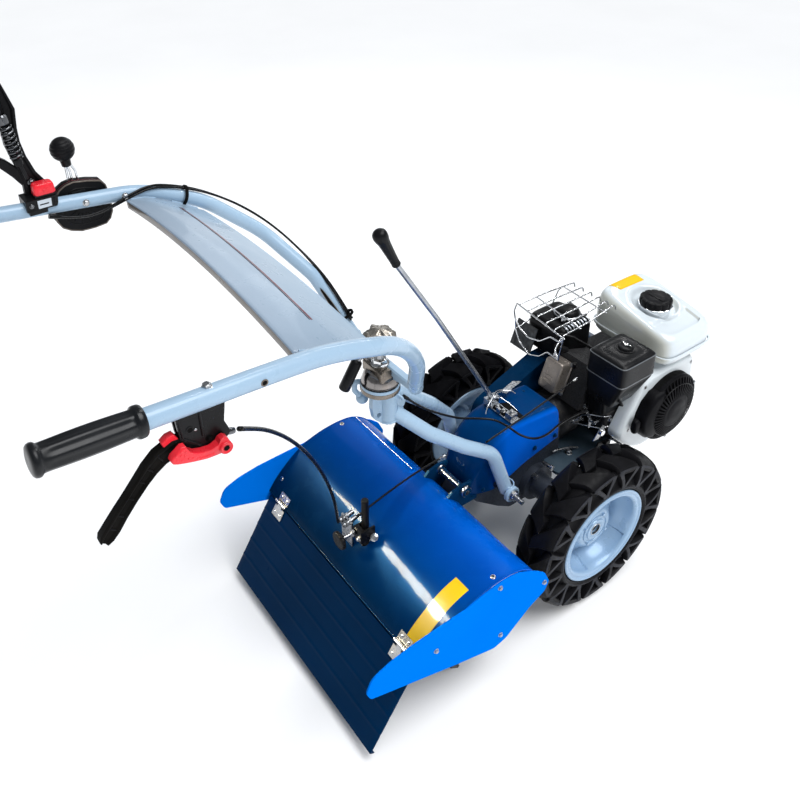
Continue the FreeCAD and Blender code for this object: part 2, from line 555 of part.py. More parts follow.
grips = []
for s, side in ((-1, "left"), (1, "right")):
    a = P(s * 317.6, -1095.5, 1074.4)
    b = P(s * 312.4, -968, 1062.9)
    d = b.sub(a)
    u = V(d)
    u.normalize()
    half = d.Length / 2
    g = fuse([Part.makeCone(GRIP_R - 1, GRIP_R, half, a, d), Part.makeCone(GRIP_R, GRIP_R - 1, half, a.add(V(u).multiply(half)), d),
              Part.makeCylinder(GRIP_R + 1.5, 9, a, d), Part.makeCylinder(GRIP_R + 1.5, 9, b.sub(V(u).multiply(9)), d)])
    g = g.cut(nodes["handlebar_" + side])
    grips.append(max(g.Solids, key=lambda q: q.Volume))
put("grips", group(grips))

# right lever set: clamp under the tube, long lever, red latch
rb = prism_x([(-935, 1056), (-871, 1050), (-876, 1017), (-869, 999), (-879, 987), (-890, 983), (-907, 995), (-924, 1008), (-932, 1017)], 298, 318,
             [3, 3, 8, 6, 5, 6, 10, 8, 8])
rb = rb.cut(nodes["handlebar_right"]).cut(cyl(P(290, -919, 1026), V(1, 0, 0), 3.2, 40))
ferr = rod(P(304, -884, 993), P(303.6, -858, 985), 4.5)
rb = fuse([rb, ferr])
rl = prism_x([(-926, 1018), (-942, 1019), (-959, 1013), (-974, 1001), (-992, 984), (-1016, 959), (-1045, 926), (-1042, 913), (-1035, 909),
              (-1018, 922), (-991, 956), (-971, 977), (-952, 988), (-934, 995), (-915, 992)], 303, 316,
             [4, 10, 20, 30, 60, 60, 5, 4, 4, 60, 60, 20, 20, 10, 4]).cut(rb)
put("clutch_lever_right", max(rl.Solids, key=lambda q: q.Volume))
latch_r = fuse([prism_x([(-886, 1000), (-874, 990), (-878, 980), (-895, 981), (-916, 983), (-935, 986), (-949, 996), (-947, 1008), (-928, 1010),
                         (-904, 999)], 319, 330, [6, 6, 5, 10, 20, 20, 5, 5, 10, 10]),
                cyl(P(318.2, -883, 990), V(1, 0, 0), 8.5, 14)])
tab_r = prism_x([(-954, 1021), (-938, 1027), (-933, 1018), (-951, 1009)], 304.5, 314.5, [3, 3, 2, 2]).cut(rl).cut(rb)

# left lever set: clamp, tall dead-man lever with its side arm, red catch
lb = fuse([prism_x([(-917, 1060), (-867, 1060), (-863, 1079), (-917, 1079)], -332, -291, [4, 4, 4, 4]),
           box(-328, -290, -914, -884, 1050, 1064, 3)])
lb = lb.cut(nodes["handlebar_left"])
put("lever_brackets", group([rb, max(lb.Solids, key=lambda q: q.Volume)]))
ll = fuse([prism_x([(-869, 1079.2), (-870, 1092), (-883, 1114), (-892, 1143), (-896, 1195), (-892, 1223), (-903, 1266), (-917, 1271), (-915, 1226),
                    (-920, 1195), (-914, 1143), (-906, 1112), (-908, 1079.2)], -332, -318, [2, 10, 40, 60, 60, 40, 6, 6, 40, 60, 60, 20, 2]),
           prism_x([(-896, 1112), (-910, 1136), (-928, 1154), (-950, 1166), (-955, 1154), (-933, 1142), (-919, 1130), (-908, 1096)], -331, -319,
                   [4, 20, 30, 4, 4, 20, 20, 4])])
put("clutch_lever_left", ll)
catch_l = box(-315, -293, -899, -864, 1079.2, 1102, 5)
put("lever_latches", group([latch_r, max(tab_r.Solids, key=lambda q: q.Volume), catch_l.cut(ll)]))

# selector on the left tube: drum housing, forked rod and ball knob
drum = prism_x([(-866, 1044), (-853, 1072), (-827, 1080), (-776, 1069), (-768, 1044), (-765, 1007), (-782, 985), (-828, 985), (-861, 1001),
                (-870, 1028)], -345, -322.5, [14, 16, 20, 14, 16, 20, 20, 24, 20, 16])
sel = fuse([drum, box(-323.5, -300, -836, -810, 1036, 1064, 3)]).cut(nodes["handlebar_left"])
put("selector_housing", max(sel.Solids, key=lambda q: q.Volume))
fork = fuse([tube([P(-334, -821, 1072), P(-333, -824, 1098), P(-331, -830, 1126)], [0, 20, 0], 8)])
ball = Part.makeSphere(21, P(-331, -830, 1138))
put("selector_lever", fuse([fork, ball]).cut(nodes["selector_housing"]))

# ----------------------------- control cables ------------------------------
def cable(pts, od):
    n = len(pts)
    rr = [0] * n
    for i in range(1, n - 1):
        u = pts[i - 1].sub(pts[i])
        w2 = pts[i + 1].sub(pts[i])
        turn = math.pi - u.getAngle(w2)
        rr[i] = 0.45 * min(u.Length, w2.Length) / math.tan(turn / 2)
    s = tube(pts, rr, od)
    length = rounded(pts, rr, False).Length
    ratio = s.Volume / (math.pi * od * od / 4 * length)
    print("cable od %.1f length %.0f mm, radii %s, volume ratio %.3f" % (od, length, [round(q) for q in rr[1:-1]], ratio))
    return s


A_PTS = [P(303, -852, 983), P(258.1, -808.2, 929.7), P(217.1, -764.8, 872.7), P(179.7, -723.2, 812), P(145.5, -683.8, 748), P(113.9,
         -647, 681.2), P(84.4, -613.1, 612), P(56.4, -582.4, 540.7), P(29.4, -555.1, 467.6), P(2.8, -531.6, 393.1), P(-24, -512, 317.5)]
put("cable_right", cable(A_PTS, 6.5))
B_PTS = [P(-8, -474, 324), P(-8, -440, 334), P(-6, -396, 348), P(-2, -346, 364), P(4, -296, 378), P(8, -252, 384)]
cab_b = cable(B_PTS, 4.5)
C_PTS = [P(14, -367, 608), P(14, -330, 566), P(12, -291, 531), P(9, -250, 498), P(5, -208, 466), P(6, -162, 444), P(26, -128, 438), P(58, -118, 436),
         P(92, -113, 430), P(113, -88, 421), P(111, -46, 412), P(98, -2, 406), P(90, 48, 400), P(90, 98, 393)]
cab_c = cable(C_PTS, 5.0)
D_PTS = [P(78, -200, 447), P(74, -140, 450), P(71, -82, 454), P(66, -24, 457), P(61, 34, 461), P(57, 92, 467)]
put("control_cables", group([cab_b, cab_c, cable(D_PTS, 4.0)]))
# pair of cables along the left tube's outer side
E1 = [P(-298.2, -877.3, 1038.4), P(-292.4, -835.3, 1024.2), P(-290.8, -790.5, 1025.9), P(-285.9, -748, 1039.2), P(-287.6, -703.5,
      1047.4), P(-288.6, -660.4, 1035.3), P(-284.7, -618.7, 1018.4), P(-277.9, -579.7, 996.9), P(-265.1, -544.1, 972.4), P(-248.3,
      -512.7, 944.8), P(-226.4, -486.4, 915.5), P(-198.4, -466.5, 886.5), P(-165.5, -452.5, 859), P(-138, -439, 826.1), P(-119,
      -425.1, 787.7), P(-98, -414.1, 749.5)]
E2 = [P(-293.7, -876.9, 1041.2), P(-287.6, -835.2, 1026.7), P(-286.5, -791.3, 1029.1), P(-285.3, -749.8, 1044.2), P(-291.7, -703.5,
      1050.9), P(-293.8, -659.4, 1036.4), P(-290.1, -618.3, 1018.7), P(-283.1, -579, 995.4), P(-270.1, -543.4, 970.6), P(-253.2,
      -511.4, 942.9), P(-230.9, -484.3, 913.4), P(-202.2, -463.9, 883.7), P(-168.7, -448.7, 856.9), P(-141.4, -434.8, 826), P(-121.9,
      -420.5, 787.3), P(-100.2, -409.3, 750.6)]
E = [cable(E1, 4.2), cable(E2, 4.2)]
put("cables_left", group(E))

# ----------------------------- output --------------------------------------
total = None
for f in os.listdir("parts"):
    if f.endswith(".step") and f[:-5] not in nodes:
        os.remove("parts/" + f)
for name, s in nodes.items():
    ok = s.isValid()
    n = len(s.Solids)
    bb = s.BoundBox
    print("%-22s valid %s solids %d  x %.0f..%.0f y %.0f..%.0f z %.0f..%.0f  vol %.0f cm3" % (
        name, ok, n, bb.XMin, bb.XMax, bb.YMin - OY, bb.YMax - OY, bb.ZMin, bb.ZMax, s.Volume / 1000))
    s.exportStep("parts/%s.step" % name)
    total = bb if total is None else total.united(bb)
print("nodes", len(nodes), "total", total)
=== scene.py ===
import bpy, bmesh, math, json, random
from mathutils import Vector, Matrix, Quaternion, noise

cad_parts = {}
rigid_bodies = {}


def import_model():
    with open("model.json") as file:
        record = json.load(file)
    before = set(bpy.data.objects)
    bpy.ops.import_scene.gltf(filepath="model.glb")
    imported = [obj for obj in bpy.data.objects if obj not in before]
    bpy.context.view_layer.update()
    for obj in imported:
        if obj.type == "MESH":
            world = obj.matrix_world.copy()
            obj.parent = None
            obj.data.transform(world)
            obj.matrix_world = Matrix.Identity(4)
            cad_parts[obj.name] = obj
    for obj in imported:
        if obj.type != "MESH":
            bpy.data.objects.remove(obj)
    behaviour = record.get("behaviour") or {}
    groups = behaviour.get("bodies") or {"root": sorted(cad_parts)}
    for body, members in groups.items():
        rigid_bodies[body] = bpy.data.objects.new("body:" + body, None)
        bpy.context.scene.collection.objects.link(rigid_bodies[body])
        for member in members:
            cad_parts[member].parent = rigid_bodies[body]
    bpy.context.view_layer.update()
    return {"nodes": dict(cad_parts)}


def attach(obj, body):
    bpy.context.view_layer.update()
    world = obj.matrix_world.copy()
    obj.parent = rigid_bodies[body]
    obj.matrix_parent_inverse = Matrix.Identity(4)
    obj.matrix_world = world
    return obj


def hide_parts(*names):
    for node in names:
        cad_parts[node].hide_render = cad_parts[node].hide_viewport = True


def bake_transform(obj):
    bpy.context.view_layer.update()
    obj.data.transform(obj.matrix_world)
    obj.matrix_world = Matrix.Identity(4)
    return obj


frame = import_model()
OY = 329.0
random.seed(7)


def P(x, y, z):
    return Vector((x / 1000.0, (y + OY) / 1000.0, z / 1000.0))


# ===========================================================================
# materials
# ===========================================================================
def nodes_of(name):
    m = bpy.data.materials.new(name)
    m.use_nodes = True
    nt = m.node_tree
    for n in list(nt.nodes):
        nt.nodes.remove(n)
    out = nt.nodes.new("ShaderNodeOutputMaterial")
    bs = nt.nodes.new("ShaderNodeBsdfPrincipled")
    nt.links.new(bs.outputs[0], out.inputs[0])
    tc = nt.nodes.new("ShaderNodeTexCoord")
    return m, nt, bs, tc.outputs["Object"]


def N(nt, kind, **kw):
    n = nt.nodes.new(kind)
    for k, v in kw.items():
        if k.startswith("i_"):
            n.inputs[k[2:].replace("_", " ")].default_value = v
        else:
            setattr(n, k, v)
    return n


def noise_tex(nt, co, scale, detail=3.0, rough=0.55, dist=0.0, stretch=None):
    if stretch is not None:
        mp = N(nt, "ShaderNodeMapping")
        mp.inputs["Scale"].default_value = stretch
        nt.links.new(co, mp.inputs[0])
        co = mp.outputs[0]
    n = N(nt, "ShaderNodeTexNoise")
    n.inputs["Scale"].default_value = scale
    n.inputs["Detail"].default_value = detail
    n.inputs["Roughness"].default_value = rough
    n.inputs["Distortion"].default_value = dist
    nt.links.new(co, n.inputs["Vector"])
    return n.outputs["Fac"]


def ramp(nt, fac, stops):
    r = N(nt, "ShaderNodeValToRGB")
    while len(r.color_ramp.elements) > 2:
        r.color_ramp.elements.remove(r.color_ramp.elements[-1])
    for i, (p, c) in enumerate(stops):
        if i >= len(r.color_ramp.elements):
            r.color_ramp.elements.new(p)
        e = r.color_ramp.elements[i]
        e.position = p
        e.color = (c[0], c[1], c[2], 1.0) if isinstance(c, (tuple, list)) else (c, c, c, 1.0)
    nt.links.new(fac, r.inputs[0])
    return r.outputs[0]


def mixc(nt, fac, a, b, blend="MIX"):
    m = N(nt, "ShaderNodeMix", data_type="RGBA", blend_type=blend)
    if isinstance(fac, float):
        m.inputs[0].default_value = fac
    else:
        nt.links.new(fac, m.inputs[0])
    for k, v in ((6, a), (7, b)):
        if isinstance(v, (tuple, list)):
            m.inputs[k].default_value = (v[0], v[1], v[2], 1.0)
        else:
            nt.links.new(v, m.inputs[k])
    return m.outputs[2]


def bump(nt, chain, bs):
    prev = None
    for h, strength, dist in chain:
        b = N(nt, "ShaderNodeBump")
        b.inputs["Strength"].default_value = strength
        b.inputs["Distance"].default_value = dist
        nt.links.new(h, b.inputs["Height"])
        if prev is not None:
            nt.links.new(prev, b.inputs["Normal"])
        prev = b.outputs[0]
    nt.links.new(prev, bs.inputs["Normal"])


def maprange(nt, v, a, b, c, d):
    m = N(nt, "ShaderNodeMapRange")
    for k, val in zip(("From Min", "From Max", "To Min", "To Max"), (a, b, c, d)):
        m.inputs[k].default_value = val
    nt.links.new(v, m.inputs[0])
    return m.outputs[0]


def paint(name, col, dark, rough=0.22, coat=0.6, peel=0.10, dust=0.10, dust_col=(0.55, 0.53, 0.50), metallic=0.0, scratch=0.35, spec=0.25, stint=None):
    """Sprayed enamel: faint cloudiness, orange peel, fine scratches, settled dust."""
    m, nt, bs, co = nodes_of(name)
    cloud = noise_tex(nt, co, 6.0, 4.0)
    c = ramp(nt, cloud, [(0.30, dark), (0.62, col)])
    speck = noise_tex(nt, co, 420.0, 2.0)
    c = mixc(nt, maprange(nt, speck, 0.60, 0.75, 0.0, 0.10), c, tuple(min(1.0, v * 1.6 + 0.02) for v in col))
    # settled dust, more on faces that look up
    geo = N(nt, "ShaderNodeNewGeometry")
    sep = N(nt, "ShaderNodeSeparateXYZ")
    nt.links.new(geo.outputs["Normal"], sep.inputs[0])
    up = maprange(nt, sep.outputs[2], 0.2, 1.0, 0.0, 1.0)
    dn = maprange(nt, noise_tex(nt, co, 38.0, 6.0, 0.7), 0.45, 0.78, 0.0, dust)
    dm = N(nt, "ShaderNodeMath", operation="MULTIPLY")
    nt.links.new(up, dm.inputs[0])
    nt.links.new(dn, dm.inputs[1])
    c = mixc(nt, dm.outputs[0], c, dust_col)
    # hairline scratches
    s1 = noise_tex(nt, co, 30.0, 2.0, 0.5, 0.4, (1.0, 22.0, 22.0))
    s2 = noise_tex(nt, co, 26.0, 2.0, 0.5, 0.4, (20.0, 1.2, 20.0))
    sm = N(nt, "ShaderNodeMath", operation="MAXIMUM")
    nt.links.new(s1, sm.inputs[0])
    nt.links.new(s2, sm.inputs[1])
    sc = maprange(nt, sm.outputs[0], 0.735, 0.80, 0.0, scratch)
    c = mixc(nt, sc, c, tuple(min(1.0, v * 1.4 + 0.05) for v in col))
    nt.links.new(c, bs.inputs["Base Color"])
    rg = maprange(nt, noise_tex(nt, co, 17.0, 5.0), 0.3, 0.75, rough * 0.75, rough * 1.45)
    ra = N(nt, "ShaderNodeMath", operation="ADD")
    ra.use_clamp = True
    nt.links.new(rg, ra.inputs[0])
    nt.links.new(sc, ra.inputs[1])
    nt.links.new(ra.outputs[0], bs.inputs["Roughness"])
    bs.inputs["Metallic"].default_value = metallic
    bs.inputs["Specular IOR Level"].default_value = spec
    if stint is not None:
        bs.inputs["Specular Tint"].default_value = (stint[0], stint[1], stint[2], 1.0)
    bs.inputs["Coat Weight"].default_value = coat
    bs.inputs["Coat Roughness"].default_value = 0.06
    bump(nt, [(noise_tex(nt, co, 260.0, 2.0), peel, 0.0004), (noise_tex(nt, co, 14.0, 2.0), 0.12, 0.0015)], bs)
    return m


def metal(name, col, rough=0.28, brushed=(1.0, 1.0, 1.0), grain=160.0, tint=(0.62, 0.60, 0.52), tint_amt=0.25, strength=0.12, metallic=1.0, dark=0.6):
    m, nt, bs, co = nodes_of(name)
    g = noise_tex(nt, co, grain, 3.0, 0.6, 0.0, brushed)
    cl = noise_tex(nt, co, 22.0, 5.0, 0.6)
    c = ramp(nt, cl, [(0.28, tuple(v * dark for v in col)), (0.60, col)])
    c = mixc(nt, maprange(nt, noise_tex(nt, co, 55.0, 3.0), 0.5, 0.75, 0.0, tint_amt), c, tint)
    nt.links.new(c, bs.inputs["Base Color"])
    nt.links.new(maprange(nt, g, 0.3, 0.7, rough * 0.7, rough * 1.5), bs.inputs["Roughness"])
    bs.inputs["Metallic"].default_value = metallic
    bump(nt, [(g, strength, 0.0003)], bs)
    return m


def plastic(name, col, rough=0.45, grain=900.0, strength=0.25, dust=0.03, light=1.8, spec=0.28, coat=0.0):
    m, nt, bs, co = nodes_of(name)
    cl = noise_tex(nt, co, 12.0, 5.0, 0.6)
    c = ramp(nt, cl, [(0.30, tuple(v * 0.7 for v in col)), (0.65, tuple(min(1.0, v * light) for v in col))])
    geo = N(nt, "ShaderNodeNewGeometry")
    sep = N(nt, "ShaderNodeSeparateXYZ")
    nt.links.new(geo.outputs["Normal"], sep.inputs[0])
    up = maprange(nt, sep.outputs[2], 0.1, 1.0, 0.0, 1.0)
    dn = maprange(nt, noise_tex(nt, co, 60.0, 6.0, 0.7), 0.42, 0.75, 0.0, dust)
    dm = N(nt, "ShaderNodeMath", operation="MULTIPLY")
    nt.links.new(up, dm.inputs[0])
    nt.links.new(dn, dm.inputs[1])
    c = mixc(nt, dm.outputs[0], c, (0.42, 0.40, 0.37))
    nt.links.new(c, bs.inputs["Base Color"])
    nt.links.new(maprange(nt, noise_tex(nt, co, 30.0, 4.0), 0.3, 0.7, rough * 0.8, rough * 1.25), bs.inputs["Roughness"])
    bs.inputs["Specular IOR Level"].default_value = spec
    bs.inputs["Coat Weight"].default_value = coat
    vor = N(nt, "ShaderNodeTexVoronoi")
    vor.inputs["Scale"].default_value = grain
    nt.links.new(co, vor.inputs["Vector"])
    bump(nt, [(vor.outputs["Distance"], strength, 0.00025)], bs)
    return m


def rubber(name, col, rough=0.62, dirt=0.25):
    m, nt, bs, co = nodes_of(name)
    cl = noise_tex(nt, co, 18.0, 6.0, 0.65)
    c = ramp(nt, cl, [(0.30, tuple(v * 0.6 for v in col)), (0.68, tuple(v * 1.9 for v in col))])
    dn = maprange(nt, noise_tex(nt, co, 45.0, 6.0, 0.7), 0.52, 0.80, 0.0, dirt)
    c = mixc(nt, dn, c, (0.10, 0.085, 0.065))
    nt.links.new(c, bs.inputs["Base Color"])
    nt.links.new(maprange(nt, noise_tex(nt, co, 70.0, 4.0), 0.3, 0.7, rough * 0.75, rough * 1.2), bs.inputs["Roughness"])
    bs.inputs["Specular IOR Level"].default_value = 0.08
    bump(nt, [(noise_tex(nt, co, 700.0, 3.0), 0.25, 0.0004), (noise_tex(nt, co, 90.0, 3.0), 0.18, 0.0008)], bs)
    return m


def grade(m, axis, stops, axis2=None, stops2=None):
    """Multiply the paint's colour by ramps along one or two directions of the part, darker towards one end: painted
    shade.
    """
    nt = m.node_tree
    bs = [n for n in nt.nodes if n.type == "BSDF_PRINCIPLED"][0]
    co = [n for n in nt.nodes if n.type == "TEX_COORD"][0].outputs["Object"]
    src = bs.inputs["Base Color"].links[0].from_socket
    sep = N(nt, "ShaderNodeSeparateXYZ")
    nt.links.new(co, sep.inputs[0])
    for ax, st in ((axis, stops), (axis2, stops2)):
        if ax is None:
            continue
        lo, hi = st[0][0], st[-1][0]
        r = ramp(nt, maprange(nt, sep.outputs["XYZ".index(ax)], lo, hi, 0.0, 1.0), [((p - lo) / (hi - lo), c) for p, c in st])
        src = mixc(nt, 1.0, src, r, "MULTIPLY")
    nt.links.new(src, bs.inputs["Base Color"])
    return m


M = {}
M["blue"] = paint("paint_blue", (0.0, 0.062, 0.330), (0.0, 0.055, 0.295), rough=0.24, coat=0.02, peel=0.16, dust=0.004, scratch=0.05, spec=0.05, stint=(0.0, 0.35, 1.0))
M["blue_hood"] = paint("paint_blue_hood", (0.0, 1.0, 1.0), (0.0, 0.92, 0.92), rough=0.24, coat=0.045, peel=0.16, dust=0.0, scratch=0.0, spec=0.05, stint=(0.0, 0.35, 1.0))
# painted shade and painted light: the hood's blue is darkened towards its rear (Y) and its left side (X), and lifted
# past its own tone on the right, copying how the light falls across it
grade(M["blue_hood"], "Y", [(-0.205, (0.0, 0.022, 0.068)), (-0.161, (0.0, 0.027, 0.105)), (-0.136, (0.0, 0.035, 0.150)), (-0.098, (0.0, 0.045, 0.220)), (-0.071, (0.0, 0.046, 0.250)), (-0.041, (0.0, 0.049, 0.280)), (-0.011, (0.0, 0.056, 0.330)), (0.025, (0.0, 0.078, 0.420))],
      "X", [(-0.33, (0.66, 0.66, 0.62)), (-0.10, (0.86, 0.86, 0.83)), (0.10, (1.0, 1.0, 1.0)), (0.33, (1.14, 1.10, 1.14))])
M["blue_cover"] = paint("paint_blue_cover", (0.0, 0.054, 0.285), (0.0, 0.046, 0.250), rough=0.20, coat=0.04, peel=0.14, dust=0.004, scratch=0.05, spec=0.08, stint=(0.0, 0.35, 1.0))
# painted light and painted shade: faces turned to +X on the front part of the cover are multiplied up to twice as
# bright, all other faces are darkened
def flank_painted_light(m, lo, hi):
    nt = m.node_tree
    bs = [n for n in nt.nodes if n.type == "BSDF_PRINCIPLED"][0]
    src = bs.inputs["Base Color"].links[0].from_socket
    geo = N(nt, "ShaderNodeNewGeometry")
    sep = N(nt, "ShaderNodeSeparateXYZ")
    nt.links.new(geo.outputs["Normal"], sep.inputs[0])
    f = maprange(nt, sep.outputs[0], 0.25, 0.85, 0.0, 1.0)
    pos = N(nt, "ShaderNodeSeparateXYZ")
    nt.links.new([n for n in nt.nodes if n.type == "TEX_COORD"][0].outputs["Object"], pos.inputs[0])
    g = N(nt, "ShaderNodeMath", operation="MULTIPLY")
    nt.links.new(f, g.inputs[0])
    nt.links.new(maprange(nt, pos.outputs[1], 0.165, 0.215, 0.0, 1.0), g.inputs[1])
    f = g.outputs[0]
    nt.links.new(mixc(nt, 1.0, src, ramp(nt, f, [(0.0, lo), (1.0, hi)]), "MULTIPLY"), bs.inputs["Base Color"])
    return m


def warm_painted_reflection(m, tone):
    """Painted reflection: a faint warm tint multiplied onto the faces turned to the silencer (-Y), for warm light
    thrown back onto them.
    """
    nt = m.node_tree
    bs = [n for n in nt.nodes if n.type == "BSDF_PRINCIPLED"][0]
    src = bs.inputs["Base Color"].links[0].from_socket
    geo = N(nt, "ShaderNodeNewGeometry")
    sep = N(nt, "ShaderNodeSeparateXYZ")
    nt.links.new(geo.outputs["Normal"], sep.inputs[0])
    f = maprange(nt, sep.outputs[1], -0.35, -0.85, 0.0, 1.0)
    nt.links.new(mixc(nt, 1.0, src, ramp(nt, f, [(0.0, (1.0, 1.0, 1.0)), (1.0, tone)]), "MULTIPLY"), bs.inputs["Base Color"])


M["tank"] = paint("paint_tank", (0.66, 0.72, 0.76), (0.62, 0.68, 0.72), rough=0.16, coat=0.7, peel=0.05, dust=0.02, dust_col=(0.45, 0.41, 0.34), scratch=0.05)
# painted reflection: warm tint on the tank's faces turned to the silencer
warm_painted_reflection(M["tank"], (0.92, 0.86, 0.74))
# painted light on the cover's right flank, painted shade on its top and tail
flank_painted_light(M["blue_cover"], (0.6, 0.62, 0.46), (1.0, 2.0, 2.1))
M["panel"] = paint("paint_panel", (0.315, 0.445, 0.580), (0.290, 0.415, 0.545), rough=0.30, coat=0.25, peel=0.10, dust=0.02, dust_col=(0.46, 0.45, 0.44), scratch=0.10)
# painted shade: the panel's paint is darkened and warmed towards its rear, higher end
grade(M["panel"], "Y", [(-0.62, (0.86, 0.80, 0.76)), (-0.42, (0.84, 0.76, 0.74)), (-0.20, (1.02, 1.0, 0.97))])
# painted light: a brighter copy of the blue paint for the side plates, which face the right-hand lamp
M["blue_painted_light_side"] = paint("paint_blue_side", (0.0, 0.140, 0.640), (0.0, 0.132, 0.605), rough=0.40, coat=0.0, peel=0.10, dust=0.002, scratch=0.04, spec=0.0, stint=(0.0, 0.35, 1.0))
# painted shade: a much darker copy of the blue paint for the rear flap, whose faces turn away from the light
M["blue_flap_painted_shade"] = paint("paint_blue_flap", (0.0, 0.022, 0.074), (0.0, 0.019, 0.064), rough=0.36, coat=0.006, peel=0.16, dust=0.003, scratch=0.04, spec=0.04, stint=(0.0, 0.40, 1.0))
# painted shade: a dark copy of the blue paint for the belt guard, hood bracket and cover bolts, which sit in shade
M["blue_dk"] = paint("paint_blue_dark", (0.001, 0.024, 0.072), (0.001, 0.020, 0.060), rough=0.30, coat=0.02, peel=0.18, dust=0.006, scratch=0.08, spec=0.06, stint=(0.05, 0.45, 1.0))
M["blue_grey"] = paint("paint_blue_grey", (0.315, 0.445, 0.580), (0.290, 0.415, 0.545), rough=0.26, coat=0.35, peel=0.10, dust=0.02, dust_col=(0.46, 0.45, 0.44), scratch=0.10)
M["silver"] = paint("paint_silver", (0.29, 0.43, 0.60), (0.25, 0.38, 0.54), rough=0.30, coat=0.3, peel=0.14, metallic=0.15, dust=0.03, dust_col=(0.40, 0.40, 0.40), scratch=0.12)
M["white"] = paint("paint_white", (0.66, 0.71, 0.74), (0.61, 0.66, 0.69), rough=0.18, coat=0.7, peel=0.05, dust=0.05, dust_col=(0.45, 0.41, 0.34), scratch=0.08)
M["black"] = paint("paint_black", (0.0045, 0.0045, 0.0052), (0.0030, 0.0030, 0.0036), rough=0.34, coat=0.02, peel=0.2, dust=0.01, scratch=0.06, spec=0.14)
M["bed"] = paint("paint_bed", (0.050, 0.080, 0.110), (0.036, 0.060, 0.082), rough=0.40, coat=0.05, peel=0.12, dust=0.04, scratch=0.15, spec=0.2)
M["cast"] = metal("engine_cast", (0.034, 0.034, 0.037), rough=0.5, grain=300.0, strength=0.5, tint=(0.10, 0.09, 0.08), tint_amt=0.5, metallic=0.6)
M["casebl"] = metal("cast_case", (0.045, 0.055, 0.075), rough=0.5, grain=260.0, strength=0.5, tint=(0.05, 0.06, 0.08), tint_amt=0.5, metallic=0.3)
M["valve"] = metal("valve_cover_metal", (0.310, 0.273, 0.242), rough=0.34, grain=260.0, strength=0.06, tint=(0.24, 0.21, 0.19), tint_amt=0.2, metallic=0.75, dark=0.88)
M["zinc"] = metal("zinc_steel", (0.46, 0.47, 0.49), rough=0.26, grain=220.0, tint=(0.50, 0.46, 0.36), tint_amt=0.35, strength=0.15)
M["steel"] = metal("bright_steel", (0.50, 0.52, 0.55), rough=0.24, brushed=(1.0, 14.0, 14.0), grain=120.0, tint=(0.34, 0.33, 0.31), tint_amt=0.25)
M["chrome"] = metal("chrome_wire", (0.86, 0.87, 0.89), rough=0.12, grain=120.0, tint=(0.6, 0.58, 0.55), tint_amt=0.15, strength=0.05, dark=0.8)
M["foil"] = metal("bright_cap", (0.40, 0.365, 0.32), rough=0.30, grain=60.0, tint=(0.26, 0.22, 0.17), tint_amt=0.6, strength=0.6, dark=0.45)
M["blade"] = metal("blade_steel", (0.055, 0.055, 0.06), rough=0.5, grain=140.0, strength=0.4, tint=(0.10, 0.06, 0.04), tint_amt=0.3, metallic=0.6)
# dark brown: painted shade and reflection on the panel's lips; also used on a bush ring and the selector's rim
M["brown"] = paint("edge_brown", (0.13, 0.105, 0.085), (0.10, 0.08, 0.065), rough=0.30, coat=0.4, dust=0.03)
M["tyre"] = rubber("tyre_rubber", (0.0042, 0.0042, 0.0050), 0.46, 0.01)
M["tyre_edge"] = rubber("tyre_rubber_worn", (0.016, 0.017, 0.021), 0.50, 0.06)
M["grip"] = plastic("grip_rubber", (0.0050, 0.0056, 0.0068), rough=0.30, grain=500.0, strength=0.04, dust=0.0, spec=0.28)
M["plastic"] = plastic("black_plastic", (0.0050, 0.0050, 0.0058), rough=0.36, dust=0.008, spec=0.10)
# painted shade: a darker copy of the tyre rubber for the far (left) wheel, which stands in shade
M["tyre_far"] = rubber("tyre_rubber_far", (0.0028, 0.0028, 0.0034), 0.60, 0.0)
M["tyre_far"].node_tree.nodes["Principled BSDF"].inputs["Specular IOR Level"].default_value = 0.02
M["starter_black"] = plastic("starter_black", (0.0038, 0.0038, 0.0046), rough=0.42, grain=900.0, strength=0.12, dust=0.0, spec=0.05)
M["cast_dk"] = metal("engine_cast_dark", (0.022, 0.022, 0.024), rough=0.70, grain=300.0, strength=0.5, tint=(0.03, 0.028, 0.025), tint_amt=0.4, metallic=0.15)
M["lever_black"] = plastic("lever_black", (0.0042, 0.0038, 0.0034), rough=0.55, grain=900.0, strength=0.12, dust=0.0, spec=0.05)
M["plastic_fine"] = plastic("black_plastic_fine", (0.0046, 0.0048, 0.0056), rough=0.30, grain=1400.0, strength=0.12, dust=0.008, spec=0.15)
M["red"] = plastic("red_plastic", (0.78, 0.020, 0.035), rough=0.30, light=1.15, dust=0.03, strength=0.1, coat=0.3)
M["cable"] = plastic("cable_jacket", (0.0030, 0.0030, 0.0034), rough=0.26, grain=600.0, strength=0.08, dust=0.0, spec=0.20)
M["yellow"] = paint("label_yellow", (0.82, 0.50, 0.003), (0.76, 0.45, 0.003), rough=0.35, coat=0.15, peel=0.03, dust=0.01, scratch=0.05, spec=0.1)
M["dome"] = metal("bearing_dome", (0.30, 0.28, 0.27), rough=0.16, grain=90.0, tint=(0.16, 0.12, 0.09), tint_amt=0.5, strength=0.05)
M["brownmetal"] = metal("brown_metal", (0.24, 0.21, 0.18), rough=0.25, grain=120.0, tint=(0.12, 0.09, 0.06), tint_amt=0.4)
